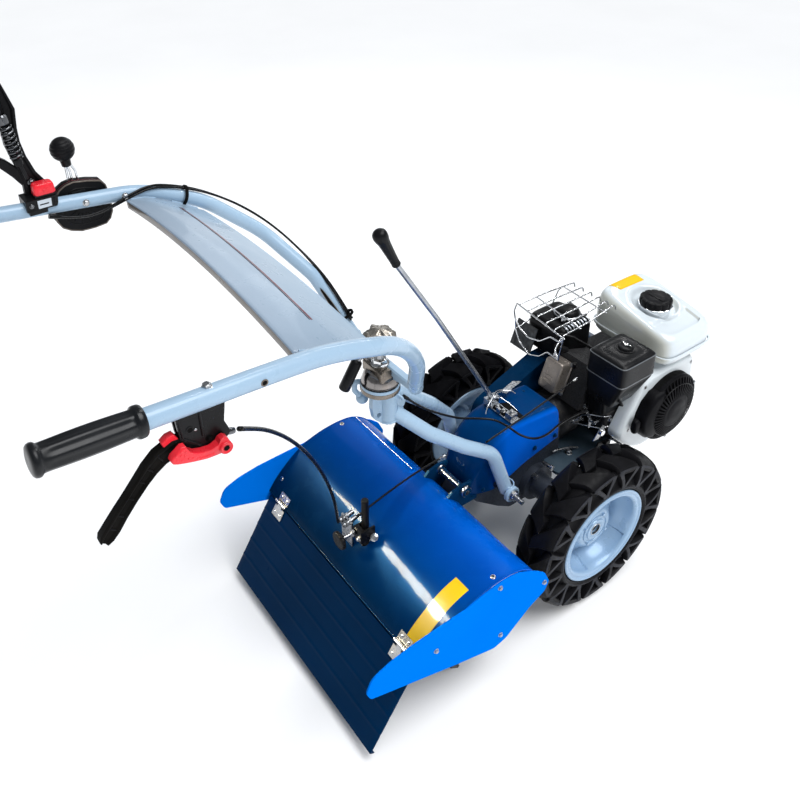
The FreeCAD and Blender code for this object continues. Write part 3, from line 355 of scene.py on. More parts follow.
# painted highlight: light grey for the air cleaner's seam bands, where the lid's edges catch the light
M["seam"] = plastic("seam_light", (0.10, 0.11, 0.12), rough=0.25, light=1.3, dust=0.0, spec=0.5)
M["louvre"] = metal("louvre_lip", (0.62, 0.66, 0.72), rough=0.3, grain=150.0)
M["deflect"] = metal("deflector_grey", (0.085, 0.090, 0.095), rough=0.50, grain=120.0, tint=(0.10, 0.09, 0.08), tint_amt=0.4)
M["rust"] = metal("heat_steel", (0.16, 0.12, 0.09), rough=0.5, grain=160.0, tint=(0.20, 0.08, 0.03), tint_amt=0.6, metallic=0.7)
M["dkchrome"] = metal("dark_chrome", (0.16, 0.165, 0.175), rough=0.16, grain=140.0, tint=(0.05, 0.05, 0.05), tint_amt=0.3, strength=0.05)
M["dkred"] = paint("stripe_dark", (0.16, 0.015, 0.020), (0.13, 0.012, 0.016), rough=0.3, coat=0.3, peel=0.03, dust=0.02)
# near-black: painted shade in bores, holes, slots and under the starter's vanes, and plain black on some bands, bolts
# and rings
M["dark"] = plastic("deep_shadow", (0.0015, 0.0015, 0.0015), rough=0.7, dust=0.0, spec=0.1)
M["brass"] = metal("brass", (0.72, 0.52, 0.26), rough=0.25, grain=200.0)
# painted highlight: light blue-grey metal for the thin line along the hood's front bend
M["glint"] = metal("bend_line", (0.55, 0.62, 0.72), rough=0.35, grain=300.0, tint=(0.10, 0.16, 0.30), tint_amt=0.8, strength=0.3, dark=0.4)
M["paper"] = paint("plate_grey", (0.60, 0.66, 0.72), (0.5, 0.56, 0.62), rough=0.35, coat=0.2, dust=0.02)

CADMAT = {
    "gearbox_case": "casebl", "gearbox_cover": "blue_cover", "gear_lever": "steel", "gear_lever_grip": "plastic_fine", "belt_guard": "blue_dk",
    "engine_bed": "bed", "engine_block": "cast_dk", "valve_cover": "valve", "fan_shroud": "white", "recoil_starter": "plastic",
    "fuel_tank": "white", "tank_cap": "plastic", "air_cleaner": "plastic_fine", "carburettor": "cast", "muffler": "black",
    "muffler_guard": "chrome", "tiller_drive_case": "casebl", "rotor_shaft": "blade", "tines_left": "blade", "tines_right": "blade",
    "hood_shell": "blue_hood", "hood_side_left": "blue_painted_light_side", "hood_side_right": "blue_painted_light_side", "hood_bracket": "blue_dk", "depth_spur": "zinc",
    "depth_clamp": "black", "cable_anchor": "zinc", "rear_flap": "blue_flap_painted_shade", "hood_hinges": "zinc", "flap_hinges": "zinc",
    "mast_tube_left": "blue_grey", "mast_tube_right": "blue_grey", "mast_head": "blue_grey", "mast_studs": "zinc",
    "swivel_head": "foil", "clamp_knob": "foil", "locking_handle": "plastic", "handlebar_left": "blue_grey",
    "handlebar_right": "blue_grey", "handlebar_panel": "panel", "grips": "grip", "clutch_lever_right": "plastic",
    "lever_brackets": "plastic_fine", "clutch_lever_left": "plastic", "lever_latches": "red", "selector_housing": "plastic",
    "selector_lever": "plastic", "cable_right": "cable", "control_cables": "cable", "cables_left": "cable",
    "tyre_left": "tyre", "tyre_right": "tyre", "rim_left": "silver", "rim_right": "silver"}
for n, o in frame["nodes"].items():
    mm = M[CADMAT[n]]
    if not o.material_slots:
        o.data.materials.append(mm)
    for s in o.material_slots:
        s.material = mm


# ===========================================================================
# geometry builder
# ===========================================================================
class B:
    def __init__(self):
        self.v, self.f, self.m, self.mats, self.sm = [], [], [], [], []

    def add(self, verts, faces, mat, smooth=True):
        if mat not in self.mats:
            self.mats.append(mat)
        k = self.mats.index(mat)
        o = len(self.v)
        self.v.extend([tuple(v) for v in verts])
        for f in faces:
            self.f.append([i + o for i in f])
            self.m.append(k)
            self.sm.append(smooth)

    # ---- primitives (points already in metres, part frame)
    def tube(self, pts, r, mat, n=16, cap=True, closed=False):
        pts = [Vector(p) for p in pts]
        k = len(pts)
        rs = r if isinstance(r, (list, tuple)) else [r] * k
        tang = []
        for i in range(k):
            if closed:
                t = pts[(i + 1) % k] - pts[i - 1]
            else:
                t = pts[min(i + 1, k - 1)] - pts[max(i - 1, 0)]
            tang.append(t.normalized())
        up = Vector((0, 0, 1)) if abs(tang[0].z) < 0.9 else Vector((1, 0, 0))
        a = tang[0].cross(up).normalized()
        verts, faces = [], []
        for i in range(k):
            if i:
                q = tang[i - 1].rotation_difference(tang[i])
                a = (q @ a).normalized()
            b = tang[i].cross(a).normalized()
            for j in range(n):
                th = 2 * math.pi * j / n
                verts.append(pts[i] + (a * math.cos(th) + b * math.sin(th)) * rs[i])
        last = k if closed else k - 1
        for i in range(last):
            i2 = (i + 1) % k
            for j in range(n):
                j2 = (j + 1) % n
                faces.append([i * n + j, i * n + j2, i2 * n + j2, i2 * n + j])
        if cap and not closed:
            faces.append([j for j in range(n)][::-1])
            faces.append([(k - 1) * n + j for j in range(n)])
        self.add(verts, faces, mat)

    def lathe(self, prof, org, axis, mat, n=48, mod=None, closed=True):
        """prof: (along, radius) in mm, closed outline unless closed=False."""
        axis = Vector(axis).normalized()
        up = Vector((0, 0, 1)) if abs(axis.z) < 0.9 else Vector((0, 1, 0))
        a = axis.cross(up).normalized()
        b = axis.cross(a).normalized()
        verts, faces = [], []
        k = len(prof)
        for i, (x, r) in enumerate(prof):
            for j in range(n):
                th = 2 * math.pi * j / n
                dx, dr = mod(i, th, x, r) if mod else (0.0, 0.0)
                verts.append(org + axis * ((x + dx) / 1000.0) + (a * math.cos(th) + b * math.sin(th)) * (max(r + dr, 0.0) / 1000.0))
        rng = k if closed else k - 1
        for i in range(rng):
            i2 = (i + 1) % k
            for j in range(n):
                j2 = (j + 1) % n
                faces.append([i * n + j, i2 * n + j, i2 * n + j2, i * n + j2])
        self.add(verts, faces, mat)

    def loft(self, rings, mat, cap=True):
        n = len(rings[0])
        verts = [p for r in rings for p in r]
        faces = []
        for i in range(len(rings) - 1):
            for j in range(n):
                j2 = (j + 1) % n
                faces.append([i * n + j, i * n + j2, (i + 1) * n + j2, (i + 1) * n + j])
        if cap:
            faces.append([j for j in range(n)][::-1])
            faces.append([(len(rings) - 1) * n + j for j in range(n)])
        self.add(verts, faces, mat)

    def prism(self, poly, axis, a0, a1, mat):
        """poly of 2-D points in mm (other two axes in x,y,z order), extruded along axis, working frame."""
        def mk(u, v, a):
            return {"x": P(a, u, v), "y": P(u, a, v), "z": P(u, v, a)}[axis]
        n = len(poly)
        verts = [mk(u, v, a0) for u, v in poly] + [mk(u, v, a1) for u, v in poly]
        faces = [list(range(n))[::-1], [n + i for i in range(n)]]
        for i in range(n):
            j = (i + 1) % n
            faces.append([i, j, n + j, n + i])
        self.add(verts, faces, mat)

    def box(self, c, size, mat, rot=None):
        """c centre in m, size mm, rot a 3x3 matrix."""
        h = [s / 2000.0 for s in size]
        R = rot or Matrix.Identity(3)
        vs = [c + R @ Vector((sx * h[0], sy * h[1], sz * h[2])) for sx in (-1, 1) for sy in (-1, 1) for sz in (-1, 1)]
        fs = [[0, 1, 3, 2], [4, 6, 7, 5], [0, 4, 5, 1], [2, 3, 7, 6], [0, 2, 6, 4], [1, 5, 7, 3]]
        self.add(vs, fs, mat)

    def ngon(self, c, d, r, h, n, mat, phase=0.0, r2=None):
        d = Vector(d).normalized()
        up = Vector((0, 0, 1)) if abs(d.z) < 0.9 else Vector((1, 0, 0))
        a = d.cross(up).normalized()
        b = d.cross(a).normalized()
        r2 = r if r2 is None else r2
        vs = []
        for rr, o in ((r, 0.0), (r2, h)):
            for j in range(n):
                th = 2 * math.pi * (j + phase) / n
                vs.append(c + d * (o / 1000.0) + (a * math.cos(th) + b * math.sin(th)) * (rr / 1000.0))
        fs = [list(range(n))[::-1], [n + i for i in range(n)]]
        for i in range(n):
            j = (i + 1) % n
            fs.append([i, j, n + j, n + i])
        self.add(vs, fs, mat)

    def hexbolt(self, c, d, af, h, mat, washer=1.9, flange=True, stud=0.0):
        """hex head standing on point c along d; af across flats in mm."""
        d = Vector(d).normalized()
        r = af / math.sqrt(3)
        if flange:
            self.lathe([(0, 0.01), (0, r * 1.25), (washer * 0.6, r * 1.22), (washer, r * 1.02), (washer, 0.01)], c, d, mat, 24)
        self.ngon(c + d * (washer / 1000.0 * 0.9), d, r, h * 0.8, 6, mat)
        self.ngon(c + d * ((washer * 0.9 + h * 0.8) / 1000.0), d, r * 0.97, h * 0.2, 6, mat, 0.0, r * 0.80)
        self.lathe([(0, 0.01), (0, r * 0.72), (0.35, r * 0.68), (0.35, 0.01)], c + d * ((washer * 0.9 + h) / 1000.0), d, mat, 18)
        if stud > 0:
            prof = [(0, 0.01)]
            x = 0.0
            rr = af * 0.30
            while x < stud:
                prof += [(x, rr), (x + 0.5, rr * 0.88), (x + 1.0, rr)]
                x += 1.0
            prof += [(stud + 0.6, rr * 0.8), (stud + 0.6, 0.01)]
            self.lathe(prof, c + d * ((washer * 0.9 + h) / 1000.0), d, mat, 14)

    def dome(self, c, d, r, h, mat, n=18):
        prof = [(0, 0.01), (0, r)]
        for k in range(1, 6):
            t = k / 6.0 * math.pi / 2
            prof.append((h * math.sin(t), r * math.cos(t)))
        prof.append((h, 0.01))
        self.lathe(prof, c, d, mat, n)

    def ball(self, c, r, mat, n=24, k=14):
        prof = []
        for i in range(k + 1):
            t = math.pi * i / k
            prof.append((-r * math.cos(t), max(r * math.sin(t), 0.01)))
        self.lathe(prof, c, (0, 0, 1), mat, n, closed=False)

    def spring(self, a, b, r, wire, turns, mat, n=8):
        d = b - a
        L = d.length
        d.normalize()
        up = Vector((0, 0, 1)) if abs(d.z) < 0.9 else Vector((1, 0, 0))
        u = d.cross(up).normalized()
        w = d.cross(u).normalized()
        pts = []
        k = int(turns * 14)
        for i in range(k + 1):
            th = 2 * math.pi * turns * i / k
            pts.append(a + d * (L * i / k) + (u * math.cos(th) + w * math.sin(th)) * (r / 1000.0))
        self.tube(pts, wire / 2000.0, mat, n)

    def done(self, name, body, slot=None, replaces=(), bevel=0.0, angle=38.0, weld=False, subsurf=0):
        me = bpy.data.meshes.new(name)
        me.from_pydata(self.v, [], self.f)
        for k in self.mats:
            me.materials.append(M[k])
        for p, k, s in zip(me.polygons, self.m, self.sm):
            p.material_index = k
            p.use_smooth = s
        bm = bmesh.new()
        bm.from_mesh(me)
        if weld:
            bmesh.ops.remove_doubles(bm, verts=bm.verts, dist=1e-6)
        bmesh.ops.dissolve_degenerate(bm, dist=1e-7, edges=bm.edges)
        bmesh.ops.recalc_face_normals(bm, faces=bm.faces)
        bm.to_mesh(me)
        bm.free()
        me.set_sharp_from_angle(angle=math.radians(angle))
        ob = bpy.data.objects.new(name, me)
        bpy.context.scene.collection.objects.link(ob)
        if bevel > 0:
            bv = ob.modifiers.new("bevel", "BEVEL")
            bv.width = bevel
            bv.segments = 2
            bv.limit_method = "ANGLE"
            bv.angle_limit = math.radians(angle)
            bv.harden_normals = False
        if subsurf:
            ss = ob.modifiers.new("sub", "SUBSURF")
            ss.levels = subsurf
            ss.render_levels = subsurf
        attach(ob, body)
        if replaces:
            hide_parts(*replaces)
        return ob


def steel_bend(pts, radii, step=10.0):
    """Points in mm along a stiff steel rod or tube bent on a former (frame tubes, levers, guard wires)."""
    pts = [Vector(p) for p in pts]
    if not isinstance(radii, (list, tuple)):
        radii = [0] + [radii] * (len(pts) - 2) + [0]
    out = [pts[0]]
    for i in range(1, len(pts) - 1):
        b = pts[i]
        u = (pts[i - 1] - b)
        w = (pts[i + 1] - b)
        lu, lw = u.length, w.length
        u.normalize()
        w.normalize()
        ang = u.angle(w)
        r = radii[i]
        if r <= 0 or abs(math.pi - ang) < 1e-3:
            out.append(b)
            continue
        t = r / math.tan(ang / 2)
        lim = 0.48 * min(lu, lw)
        if t > lim:
            t = lim
            r = t * math.tan(ang / 2)
        c = b + (u + w).normalized() * (r / math.sin(ang / 2))
        p1, p2 = b + u * t, b + w * t
        a0, a1 = p1 - c, p2 - c
        th = a0.angle(a1)
        k = max(3, int(math.degrees(th) / step) + 1)
        for j in range(k + 1):
            s = j / k
            out.append(c + (a0 * math.sin((1 - s) * th) + a1 * math.sin(s * th)) / math.sin(th))
    out.append(pts[-1])
    return out


def W(pts):
    """working-frame mm tuples to part-frame metres"""
    return [P(*p) for p in pts]


def rod_pts(pts, radii):
    return [P(p.x, p.y, p.z) for p in steel_bend(pts, radii)]


# ===========================================================================
# wheels
# ===========================================================================
AX = 200.0


def wheel(s, side):
    body = "wheel_" + side
    org = P(s * 222.0, 0, AX)

    def at(x, r, phi):
        """x from the tyre middle outwards, r radius, phi angle in the wheel's plane"""
        return P(s * (222.0 + x), r * math.cos(phi), AX + r * math.sin(phi))

    # --- carcass
    t = B()
    prof = [(31, 109), (34.5, 117), (37.5, 122.5), (40.5, 124.5), (42.0, 127), (43.0, 130.5), (42.4, 134.5), (37.5, 138.5), (33.6, 145), (31.6, 156), (30.6, 168), (29.0, 176),
            (25.5, 180.0), (19, 182.0), (9, 183.4), (0, 184.0)]
    full = prof + [(-x, r) for x, r in prof[:-1][::-1]]
    inner = [(-29, 110), (-30, 122), (-27, 150), (-20, 168), (0, 172), (20, 168), (27, 150), (30, 122), (29, 110)]
    t.lathe([(s * x, r) for x, r in full] + [(s * x, r) for x, r in inner], org, (1, 0, 0), "tyre" if s > 0 else "tyre_far", 144)
    # --- traction lugs: a foot rising from the sidewall ring, bending over the shoulder, sweeping to the middle
    st = [(43.2, 175.5, 27, 170, 0.012, 58.0, 60.0), (43.6, 181, 25, 171, 0.020, 66.0, 67.0), (42.6, 185.5, 23, 174, 0.030, 68.0, 69.0),
          (39.5, 190.5, 21, 175, 0.044, 68.0, 69.0), (32.5, 195.0, 19, 176, 0.072, 60.0, 64.0), (23.0, 197.8, 16, 176.5, 0.115, 49.0, 55.0), (10.0, 199.5, 8, 177, 0.175, 40.0, 46.0),
          (-5.0, 200.0, -4, 178, 0.250, 32.0, 38.0)]
    NL = 15
    for half in (1, -1):
        for k in range(NL):
            base = 2 * math.pi * (k + (0.0 if half > 0 else 0.5)) / NL + (0.05 if s > 0 else 0.11)
            rings = []
            for (xo, ro, xi, ri, dphi, wt, wb) in st:
                ph = base + dphi
                a = wt / 2.0 / ro
                b2 = wb / 2.0 / ri
                xm, rm = xi + (xo - xi) * 0.78, ri + (ro - ri) * 0.78
                c2 = (wt * 0.86 + wb * 0.14) / 2.0 / rm
                rings.append([at(half * xo, ro, ph - a * 0.90), at(half * xo, ro, ph + a * 0.90), at(half * xm, rm, ph + c2), at(half * xi, ri, ph + b2),
                              at(half * xi, ri, ph - b2), at(half * xm, rm, ph - c2)])
            t.loft(rings, "tyre" if s > 0 else "tyre_far")
            # two diverging feet from the bead up to the block, like a truss
            for sg in (-1, 1):
                foot = []
                for (xo, ro, f, wd) in ((42.8, 131.0, 0.016, 5.2), (43.8, 142.0, 0.034, 4.8), (44.3, 155.0, 0.072, 4.9), (44.4, 168.0, 0.114, 5.6), (44.2, 177.0, 0.140, 6.8), (43.4, 183.5, 0.150, 7.6)):
                    ph = base + 0.02 * (ro - 131.0) / 52.0 + sg * f
                    w1, w2 = wd / ro, (wd * 1.7) / ro
                    foot.append([at(half * xo, ro, ph - w1), at(half * xo, ro, ph + w1), at(half * (xo - 4.0), ro - 0.6, ph + w1 * 1.25), at(half * (xo - 14.5), ro - 1.0, ph + w2),
                                 at(half * (xo - 14.5), ro - 1.0, ph - w2), at(half * (xo - 4.0), ro - 0.6, ph - w1 * 1.25)])
                t.loft(foot, "tyre" if s > 0 else "tyre_far")
                cap_ = []
                for (xo, ro, f, wd) in ((43.1, 131.5, 0.016, 4.6), (44.1, 142.0, 0.034, 4.2), (44.6, 155.0, 0.072, 4.3), (44.7, 168.0, 0.114, 5.0), (44.5, 177.0, 0.140, 6.2), (43.7, 183.5, 0.150, 7.0)):
                    ph = base + 0.02 * (ro - 131.0) / 52.0 + sg * f
                    w1 = wd / ro
                    cap_.append([at(half * xo, ro, ph - w1), at(half * xo, ro, ph + w1), at(half * (xo - 1.2), ro, ph + w1), at(half * (xo - 1.2), ro, ph - w1)])
                # painted shade: on the far wheel the ridge caps take the plain, darker rubber instead of the worn one
                t.loft(cap_, "tyre_edge" if s > 0 else "tyre")
            # worn band along the block's outer edge; on the far wheel it takes the plain, darker rubber, painted shade
            band = []
            for (xo, ro) in ((43.9, 180.6), (43.5, 183.2), (42.9, 185.8)):
                ph = base + 0.018 + 0.012 * (ro - 180.0) / 6.0
                w1 = 31.0 / ro
                band.append([at(half * xo, ro, ph - w1 + 2 * w1 * q / 8.0) for q in range(9)] + [at(half * (xo - 1.4), ro - 0.4, ph + w1 - 2 * w1 * q / 8.0) for q in range(9)])
            t.loft(band, "tyre_edge" if s > 0 else "tyre")
        # bead and mid sidewall rings
        for (xr, rr, w) in ((43.6, 130.8, 1.2), (41.2, 124.9, 0.8)):
            t.lathe([(s * half * (xr - w), rr - w), (s * half * xr, rr - w * 0.5), (s * half * xr, rr + w * 0.5), (s * half * (xr - w), rr + w)], org, (1, 0, 0), "tyre_edge", 144)
    t.done("tyre_moulded_" + side, body, "tyre_rubber", ["tyre_" + side], bevel=0.0011, angle=34)

    # --- rim
    g = B()
    org_r = P(s * 210.0, 0, AX)
    th0 = math.radians(-34.0 - 180.0)

    def facet(th, sgn=1.0):
        u = ((th * (1 if s > 0 else 1) - th0) / (2 * math.pi) * 5.0) % 1.0
        return u

    barrel = [(-28, 119), (-25.5, 121), (-23, 119), (-22, 109), (-18, 105), (-14, 104), (-10, 92), (14, 92), (20, 104), (38, 105), (46, 109), (48.5, 117.5), (50.6, 120.8),
              (52.4, 121), (53.9, 119.8), (54.5, 117.8), (53.6, 115.0), (52.2, 114.0), (51.6, 111.6), (52.4, 109.6), (52.6, 107.4), (51.4, 104.6), (48.6, 102.4), (45.6, 101.2), (42, 100.4), (36, 99.4), (28, 97.6), (20, 94.2), (12, 90.4), (6, 88.2),
              (0, 87.4), (-13, 87.4), (-18, 99.4), (-21, 100.4), (-26, 104.4), (-28, 112)]

    def mod_b(i, th, x, r):
        if 86 < r < 101 and x > -14 and barrel[i][1] < 101 and 23 < i < 32:
            u = facet(th)
            dr = 2.6 * (u - 0.5)
            edge = math.exp(-((min(u, 1 - u)) / 0.020) ** 2)
            return 0.0, dr * (1.2 if r > 92 else 0.8) + 1.6 * edge
        return 0.0, 0.0

    g.lathe([(s * x, r) for x, r in barrel], org_r, (1, 0, 0), "silver", 200, lambda i, th, x, r: (0.0, mod_b(i, th, abs(x) if x * s > 0 else -abs(x), r)[1]))
    disc = [(-10, 89), (-6, 89), (-2, 80.5), (2, 74), (5, 69.5), (8, 66), (11, 61.5), (14.5, 57.5), (19, 53.5), (22, 50.5), (24.6, 47.4), (26, 44), (26.2, 41), (25.6, 38.5), (26.0, 36), (26, 17), (22, 17), (22, 42), (16, 48), (4, 63), (-4, 72)]

    def mod_d(i, th, x, r):
        if 1 < i < 12:
            u = facet(th)
            fade = math.sin(math.pi * min(1.0, max(0.0, (r - 42.0) / 40.0)))
            edge = math.exp(-((min(u, 1 - u)) / 0.030) ** 2)
            return s * (-(3.4 * (u - 0.5)) * fade - 2.4 * edge * fade), 0.0
        return 0.0, 0.0

    g.lathe([(s * x, r) for x, r in disc], org_r, (1, 0, 0), "silver", 200, mod_d)
    hub = [(-98, 27), (-20, 27), (-14, 34), (21, 34), (23.8, 33.0), (25.0, 30.0), (26.5, 27.5), (29, 26.2), (29, 19), (27.8, 17.4), (27.8, 15.5), (26, 13), (-98, 13)]
    g.lathe([(s * x, r) for x, r in hub], org_r, (1, 0, 0), "silver", 64)
    # weld bead between hub and disc
    pts = [P(s * (210 + 26.4), 35.3 * math.cos(a), AX + 35.3 * math.sin(a)) for a in [2 * math.pi * k / 60 for k in range(60)]]
    rr = [(1.7 + 0.35 * math.sin(k * 2.1)) / 1000.0 for k in range(60)]
    g.tube(pts, rr, "silver", 8, closed=True)
    # studs and nuts on the hub's plate
    for k in range(4):
        a = math.radians(150.0 + 90.0 * k)
        c = P(s * 236.0, 42.0 * math.cos(a) * 0.93, AX + 42.0 * math.sin(a) * 0.93)
        g.hexbolt(c, (s, 0, 0), 8.0, 3.4, "silver", 1.0)
    # tyre valve
    a = math.radians(62.0)
    c = P(s * 226.0, 97.0 * math.cos(a), AX + 97.0 * math.sin(a))
    if s < 0:
        g.lathe([(0, 0.01), (0, 4.2), (5, 4.0), (7, 3.0), (20, 2.8), (20.5, 3.4), (27, 3.2), (28, 2.2), (28, 0.01)], c, (s * 0.82, -0.57 * math.cos(a), -0.57 * math.sin(a)), "plastic", 20)
    # half shaft end, its bore filled with a near-black plug as painted shade, its bright chamfer, cross bolt
    g.lathe([(s * -99, 0.01), (s * -99, 12.7), (s * 19.5, 12.7), (s * 20.5, 11.7), (s * 20.5, 0.01)], org_r, (1, 0, 0), "dark", 48)
    g.lathe([(s * 26.2, 13.2), (s * 27.6, 15.4), (s * 28.6, 15.0), (s * 28.6, 13.0), (s * 24, 12.9)], org_r, (1, 0, 0), "zinc", 64)
    g.hexbolt(P(s * 127, 0, AX + 27.5), (0, 0, 1), 13, 6.0, "zinc", 1.5)
    g.tube([P(s * 127, 0, AX - 34), P(s * 127, 0, AX + 30)], 0.0048, "zinc", 20)
    g.ngon(P(s * 127, 0, AX - 28), (0, 0, -1), 8.0, 6.5, 6, "zinc")
    g.done("rim_pressed_" + side, body, "paint_silver", ["rim_" + side], bevel=0.0, angle=30)


wheel(-1, "left")
wheel(1, "right")


# ===========================================================================
# handlebar: panel, grips, right lever set, left lever set, selector
# ===========================================================================
PAN = [(-752.6, 1041, 277, 21), (-722, 1034, 285, 21), (-690, 1022, 283, 19), (-654, 1004, 277, 17), (-619, 984, 270, 16)]
TB = [(-1090, 1074, 317.4), (-718, 1040, 302), (-611, 997, 284), (-516, 919, 241), (-456, 837, 159), (-406, 707, 96)]


def pan_at(y, u):
    """u from -1 to 1 across the panel; smooth through the five stations"""
    ks = PAN
    y = min(max(y, ks[0][0]), ks[-1][0])
    for i in range(len(ks) - 1):
        if ks[i][0] <= y <= ks[i + 1][0] + 1e-9:
            t = (y - ks[i][0]) / (ks[i + 1][0] - ks[i][0])
            p0 = ks[max(i - 1, 0)]
            p1, p2 = ks[i], ks[i + 1]
            p3 = ks[min(i + 2, len(ks) - 1)]

            def cr(a, b2, c, d):
                return 0.5 * ((2 * b2) + (-a + c) * t + (2 * a - 5 * b2 + 4 * c - d) * t * t + (-a + 3 * b2 - 3 * c + d) * t ** 3)
            z, h, c = [cr(p0[k], p1[k], p2[k], p3[k]) if 0 < i < len(ks) - 2 else p1[k] + (p2[k] - p1[k]) * t for k in (1, 2, 3)]
            return z, h, c


pb = B()
NU, NV = 60, 28
rows = []
for j in range(NV + 1):
    y = PAN[0][0] + (PAN[-1][0] - PAN[0][0]) * j / NV
    z, h, c = pan_at(y, 0)
    rows.append([(h * (2 * i / NU - 1), y, z + c * (1 - (2 * i / NU - 1) ** 2)) for i in range(NU + 1)])
# rolled lips front and rear, following the sheet's edge
def lip_rows(base, ysgn, drop):
    out = []
    for k in range(1, 6):
        a = math.radians(18 * k)
        out.append([(x, y + ysgn * 2.2 * math.sin(a), z - 2.2 * (1 - math.cos(a))) for x, y, z in base])
    out.append([(x * 0.992, y + ysgn * 2.2, z - drop) for x, y, z in base])
    return out


rear = lip_rows(rows[0], -1, 14.0)
front = lip_rows(rows[-1], 1, 13.0)
allrows = [r for r in rear[::-1]] + rows + front
top = [P(*p) for r in allrows for p in r]
nrow, ncol = len(allrows), NU + 1
faces = []
for j in range(nrow - 1):
    for i in range(ncol - 1):
        faces.append([j * ncol + i, j * ncol + i + 1, (j + 1) * ncol + i + 1, (j + 1) * ncol + i])
me = bpy.data.meshes.new("panel_sheet")
me.from_pydata(top, [], faces)
me.materials.append(M["panel"])
me.materials.append(M["brown"])
# painted shade and painted reflection: the rows along the turned-down lips take a dark brown instead of the panel paint
for k, p in enumerate(me.polygons):
    p.use_smooth = True
    j = k // (ncol - 1)
    if j < 1 or j >= nrow - 2:
        p.material_index = 1
ob = bpy.data.objects.new("panel_sheet", me)
bpy.context.scene.collection.objects.link(ob)
sol = ob.modifiers.new("thick", "SOLIDIFY")
sol.thickness = 0.0022
sol.offset = -1.0
sol.use_even_offset = True
bv = ob.modifiers.new("bevel", "BEVEL")
bv.width = 0.0006
bv.segments = 2
bv.limit_method = "ANGLE"
bv.angle_limit = math.radians(50)
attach(ob, "handlebar")
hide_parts("handlebar_panel")

# thin two-colour pin line across the panel
pl = B()
def on_panel(x, y, up=0.25):
    z, h, c = pan_at(y, 0)
    return P(x, y, z + c * (1 - (x / h) ** 2) + up)


for (off, wd, mat, up) in ((0.0, 1.5, "dkred", 0.22), (3.4, 0.8, "dark", 0.2)):
    vs, fs = [], []
    n = 60
    for i in range(n + 1):
        x = -229 + (213 + 229) * i / n
        y = -676 - 10 * i / n - off
        vs += [on_panel(x, y + wd, up), on_panel(x, y - wd, up), on_panel(x, y - wd, up - 0.6), on_panel(x, y + wd, up - 0.6)]
    for i in range(n):
        a = i * 4
        for k in range(4):
            k2 = (k + 1) % 4
            fs.append([a + k, a + k2, a + 4 + k2, a + 4 + k])
    fs.append([3, 2, 1, 0])
    fs.append([n * 4, n * 4 + 1, n * 4 + 2, n * 4 + 3])
    pl.add(vs, fs, mat)
pl.done("panel_pin_line", "handlebar", "paint_black")

# ---- grips: fluted moulded rubber over the tube, closed ball end
def gripper(s, side):
    a = P(s * 317.6, -1095.5, 1074.4)
    b = P(s * 312.4, -968, 1062.9)
    d = (b - a)
    L = d.length * 1000.0
    d.normalize()
    g = B()
    prof = [(0.8, 0.01), (0.6, 8), (0.9, 13), (2.0, 16.8), (3.8, 18.6), (6.5, 19.4), (9.0, 19.2), (10.8, 18.0), (12.0, 16.8), (14.0, 16.5)]
    k = 22
    for i in range(1, k):
        x = 14.0 + (L - 28.0) * i / k
        bulge = 16.7 + 1.15 * math.sin(math.pi * i / k)
        prof.append((x, bulge))
    prof += [(L - 14.0, 16.6), (L - 12.4, 17.0), (L - 11.0, 18.6), (L - 9.0, 19.4), (L - 5.0, 19.4), (L - 2.6, 19.0), (L - 1.0, 18.0), (L - 0.2, 16.2), (L - 0.2, 13.6), (L - 3.0, 13.3), (L - 3.0, 0.01)]
    n1, n2 = 10, 10 + k + 1

    def flute(i, th, x, r):
        if 9 < i < 9 + k + 1:
            f = 0.5 + 0.5 * math.cos(8 * th)
            e = min(1.0, (i - 9) / 2.0, (9 + k + 1 - i) / 2.0)
            return 0.0, -1.5 * f * e
        return 0.0, 0.0

    g.lathe(prof, a, d, "grip", 180, flute)
    g.done("grip_" + side, "handlebar", "grip_rubber", ["grips"] if s > 0 else [], angle=50)


gripper(1, "right")
gripper(-1, "left")

# ---- bare tube details: cross bolt hole bush, top bolt, welds, studs on the left tube
hb_ = B()
hb_.hexbolt(P(307.0, -887, 1066.6), (0.02, -0.09, 1.0), 10, 4.6, "zinc", 1.6)
hb_.lathe([(0, 3.3), (0, 5.2), (0.5, 5.0), (0.5, 3.3)], P(319.4, -819, 1049.2), (1, 0, 0), "brown", 24)
hb_.hexbolt(P(-294.0, -819, 1049.2), (1, 0, 0), 9, 3.4, "zinc", 1.4)
hb_.hexbolt(P(-290.3, -751, 1043.0), (1, 0, 0), 9, 4.0, "zinc", 1.6)
# painted shade: a near-black disc in the bush's hole
hb_.lathe([(0, 0.01), (0, 3.4), (0.35, 3.4), (0.35, 0.01)], P(319.45, -819, 1049.2), (1, 0, 0), "dark", 24)
hb_.done("bar_bolts", "handlebar", "zinc_steel", bevel=0.0002)
wl = B()
for s in (-1, 1):
    for yy0, yy1 in ((-746, -700), (-672, -628)):
        pts, rr = [], []
        n = 30
        for i in range(n + 1):
            y = yy0 + (yy1 - yy0) * i / n
            z, h, c = pan_at(y, 0)
            pts.append(P(s * (h - 1.5), y, z + 0.4 + 0.3 * math.sin(i * 1.9)))
            rr.append((1.7 + 0.45 * math.sin(i * 2.7)) / 1000.0)
        wl.tube(pts, rr, "blue_grey", 8)
    pts, rr = [], []
    for i in range(41):
        a = 2 * math.pi * i / 40
        c = P(s * 97.5, -407.5, 709)
        pts.append(c + Vector((s * 0.0, 0.0142 * math.cos(a), 0.0142 * math.sin(a))))
        rr.append((2.0 + 0.5 * math.sin(i * 2.3)) / 1000.0)
    wl.tube(pts, rr, "blue_grey", 8, cap=False, closed=False)
wl.done("bar_welds", "handlebar", "paint_blue_grey", angle=60)

# ---- right lever set
rb = B()
poly = [(-935, 1056), (-905, 1054), (-871, 1050), (-873, 1034), (-876, 1017), (-869, 999), (-879, 987), (-890, 983), (-898, 988), (-907, 995), (-916, 1002), (-924, 1008), (-932, 1017)]


